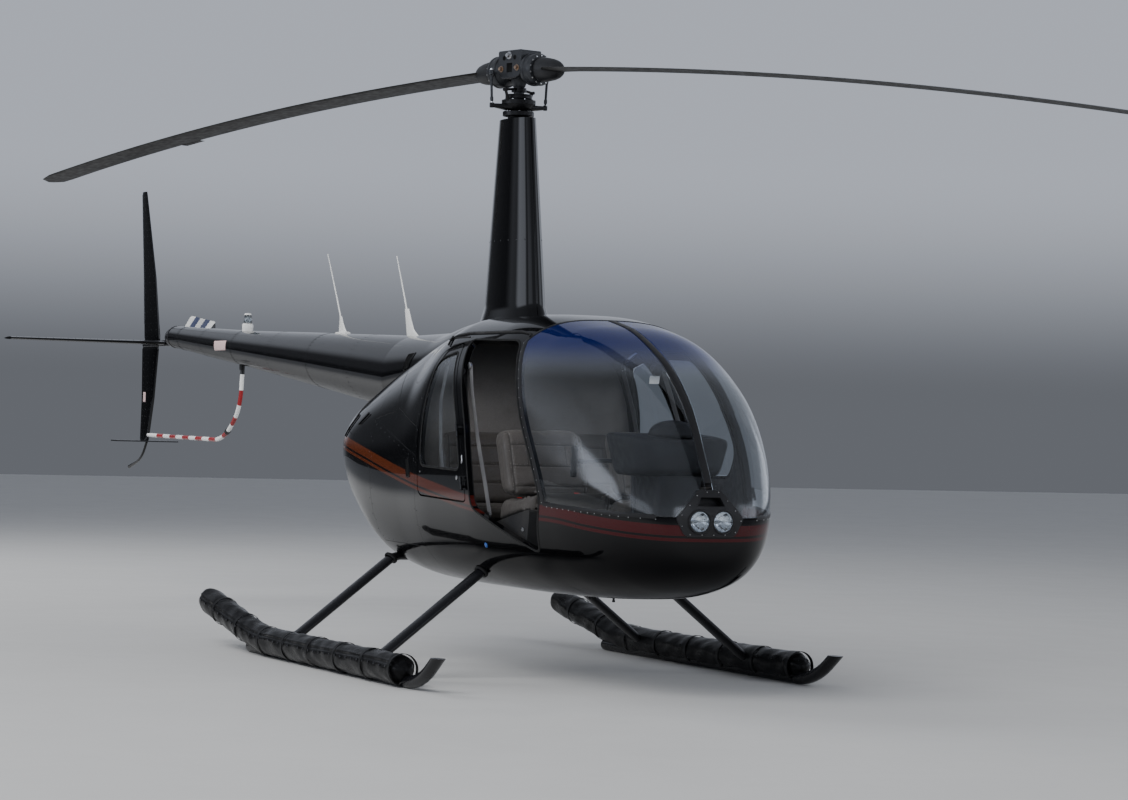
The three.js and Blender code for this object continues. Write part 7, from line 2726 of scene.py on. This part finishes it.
@dataclass
class Studio:
    """Floor, soft lights and the camera at the photograph's viewpoint."""

    place: tuple = (16.845415, -6.93552, 1.31461)
    yaw: float = 0.42834
    pitch: float = 0.00626
    roll: float = 0.02665
    lens: float = 103.47
    # Soft panels of the surroundings. Columns: direction in degrees, half width in degrees, strength
    # Dark side, as of trees. Columns: direction and half width in degrees, height where it ends, what is left
    trees: tuple = (-156, 30, 0.30, 0.14)
    panels: tuple = ((-97, 21, 3.0), (-52, 20, 1.1), (14, 15, 2.4), (66, 20, 1.6), (112, 16, 1.0))

    def camera(self) -> None:
        """Places the camera from its yaw, pitch and roll."""
        ahead = np.array([-np.cos(self.yaw) * np.cos(self.pitch), np.sin(self.yaw) * np.cos(self.pitch),
                          np.sin(self.pitch)])
        right = np.cross(ahead, [0, 0, 1])
        right /= np.linalg.norm(right)
        up = np.cross(right, ahead)
        c, s = np.cos(self.roll), np.sin(self.roll)
        columns = np.stack([c * right + s * up, -s * right + c * up, -ahead], 1)
        matrix = Matrix([[*row, p] for row, p in zip(columns.tolist(), self.place)] + [[0, 0, 0, 1]])
        data = bpy.data.cameras.new("camera")
        data.lens, data.sensor_width, data.clip_end = self.lens, 36, 200
        camera = bpy.data.objects.new("camera", data)
        camera.matrix_world = matrix
        bpy.context.scene.collection.objects.link(camera)
        bpy.context.scene.camera = camera

    def light(self, name: str, place: tuple, aim: tuple, size: tuple, power: float) -> None:
        """Adds a soft rectangular light.

        Args:
            name: its name.
            place: where it hangs.
            aim: the point that it faces.
            size: its two sides.
            power: its power in watts.
        """
        data = bpy.data.lights.new(name, "AREA")
        data.shape, data.size, data.size_y, data.energy = "RECTANGLE", *size, power
        obj = bpy.data.objects.new(name, data)
        obj.location = place
        obj.rotation_euler = (Vector(aim) - Vector(place)).to_track_quat("-Z", "Y").to_euler()
        obj.visible_glossy = obj.visible_camera = obj.visible_transmission = False
        bpy.context.scene.collection.objects.link(obj)

    def floor(self) -> None:
        """Lays the pale floor."""
        flat = np.linspace(-45, 45, 3)
        x, y = np.meshgrid(flat, flat, indexing="ij")
        obj = Shape().grid(np.stack([x, y, 0 * x], -1)).build("studio_floor", closed=False, axis=(0, -1))
        graph = Graph("floor_paint")
        graph.set(Base_Color=graph.mix(graph.noise(0.7, 4), (0.42, 0.42, 0.416), (0.46, 0.46, 0.455)))
        graph.set(Roughness=graph.ramp(graph.noise(3, 3), 0.3, 0.7, 0.62, 0.75))
        obj.data.materials.append(graph.made)

    def build(self) -> None:
        """Sets the whole studio."""
        self.camera()
        self.floor()
        self.sky()
        self.light("key", (7, -10, 10), (0, 0, 1.2), (12, 7), 1900)
        self.light("fill", (12, 8, 7), (0, 0, 1.2), (10, 6), 700)
        self.light("rim", (-10, -5, 9), (-2, 0, 1.4), (10, 6), 1300)
        self.light("cabin", (1.15 + SHIFT, 0, 1.70), (0.95 + SHIFT, 0, 1.0), (0.8, 0.8), 2.5)

    def sky(self) -> None:
        """Sets the surroundings that the gloss reflects: a dark horizon, a bright zenith and soft panels.

        The strength is one smooth step of the direction's height for the horizon and one for the zenith,
        plus one for each panel of the cosine between the direction's level part and the panel's. It is
        then cut down on the dark side, by the same kind of steps.
        """
        world = bpy.data.worlds.new("studio")
        world.use_nodes = True
        tree = world.node_tree

        def linked(kind: str, *sources: object, **values: object) -> bpy.types.Node:
            """Adds a node, links its first inputs and sets its properties."""
            node = tree.nodes.new(kind)
            for key, value in values.items():
                setattr(node, key, value)
            for socket, source in zip(node.inputs, sources):
                if isinstance(source, bpy.types.NodeSocket):
                    tree.links.new(source, socket)
                else:
                    socket.default_value = source
            return node

        def step(value: bpy.types.NodeSocket, limits: tuple) -> bpy.types.NodeSocket:
            """A smooth step from one range to another."""
            return linked("ShaderNodeMapRange", value, *limits, interpolation_type="SMOOTHSTEP").outputs["Result"]

        ray = tree.nodes.new("ShaderNodeTexCoord").outputs["Generated"]
        height = linked("ShaderNodeSeparateXYZ", ray).outputs["Z"]
        level = linked("ShaderNodeVectorMath", ray, (1, 1, 0), operation="MULTIPLY").outputs[0]
        level = linked("ShaderNodeVectorMath", level, operation="NORMALIZE").outputs[0]
        total = step(height, (0.010, 0.080, 0.17, 0.60))
        parts = [step(height, (0.12, 0.75, 0.0, -0.28))]
        for degrees, width, power in self.panels:
            turn = np.radians(degrees)
            near = linked("ShaderNodeVectorMath", level, (np.cos(turn), np.sin(turn), 0), operation="DOT_PRODUCT")
            edge = (np.cos(np.radians(width)), np.cos(np.radians(width * 0.45)), 0.0, power)
            tall = linked("ShaderNodeMath", step(height, (0.012, 0.05, 0.0, 1.0)),
                          step(height, (0.24, 0.37, 1.0, 0.02)), operation="MULTIPLY").outputs[0]
            parts.append(linked("ShaderNodeMath", step(near.outputs["Value"], edge), tall,
                                operation="MULTIPLY").outputs[0])
        for part in parts:
            total = linked("ShaderNodeMath", total, part, operation="ADD").outputs[0]
        degrees, width, top, left = self.trees
        turn, wide = np.radians(degrees), np.cos(np.radians((width, width * 0.55)))
        near = linked("ShaderNodeVectorMath", level, (np.cos(turn), np.sin(turn), 0), operation="DOT_PRODUCT")
        side = step(near.outputs["Value"], (*wide, 0.0, 1.0 - left))
        low = step(height, (top * 0.55, top, 1.0, 0.0))
        shade = linked("ShaderNodeMath", side, low, operation="MULTIPLY").outputs[0]
        shade = linked("ShaderNodeMath", 1.0, shade, operation="SUBTRACT").outputs[0]
        total = linked("ShaderNodeMath", total, shade, operation="MULTIPLY").outputs[0]
        ground = tree.nodes["Background"]
        ground.inputs["Color"].default_value = (0.77, 0.82, 0.93, 1)
        tree.links.new(total, ground.inputs["Strength"])
        bpy.context.scene.world = world


def main() -> None:
    """Builds every sub-assembly in order."""
    logging.basicConfig(level=logging.INFO, format="%(name)s %(message)s")
    Studio().build()
    for part in (Cabin(), Lamps(), EngineBay(), Tail(), Gear(), Rotor(), Interior(), Hardware(), Head(), TailRotor()):
        part.build()
    rest = {"cabin_floor": FLOOR_TRIM, "firewall": REAR_WALL_SHADED, "engine_block": CAST, "main_gearbox": DARK_METAL,
            "tail_skid": GEAR_PAINT}
    for name, finish in rest.items():
        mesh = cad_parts[name].data
        mesh.materials.clear()
        mesh.materials.append(finish.material())
    bpy.context.view_layer.update()


if __name__ == "__main__":
    main()
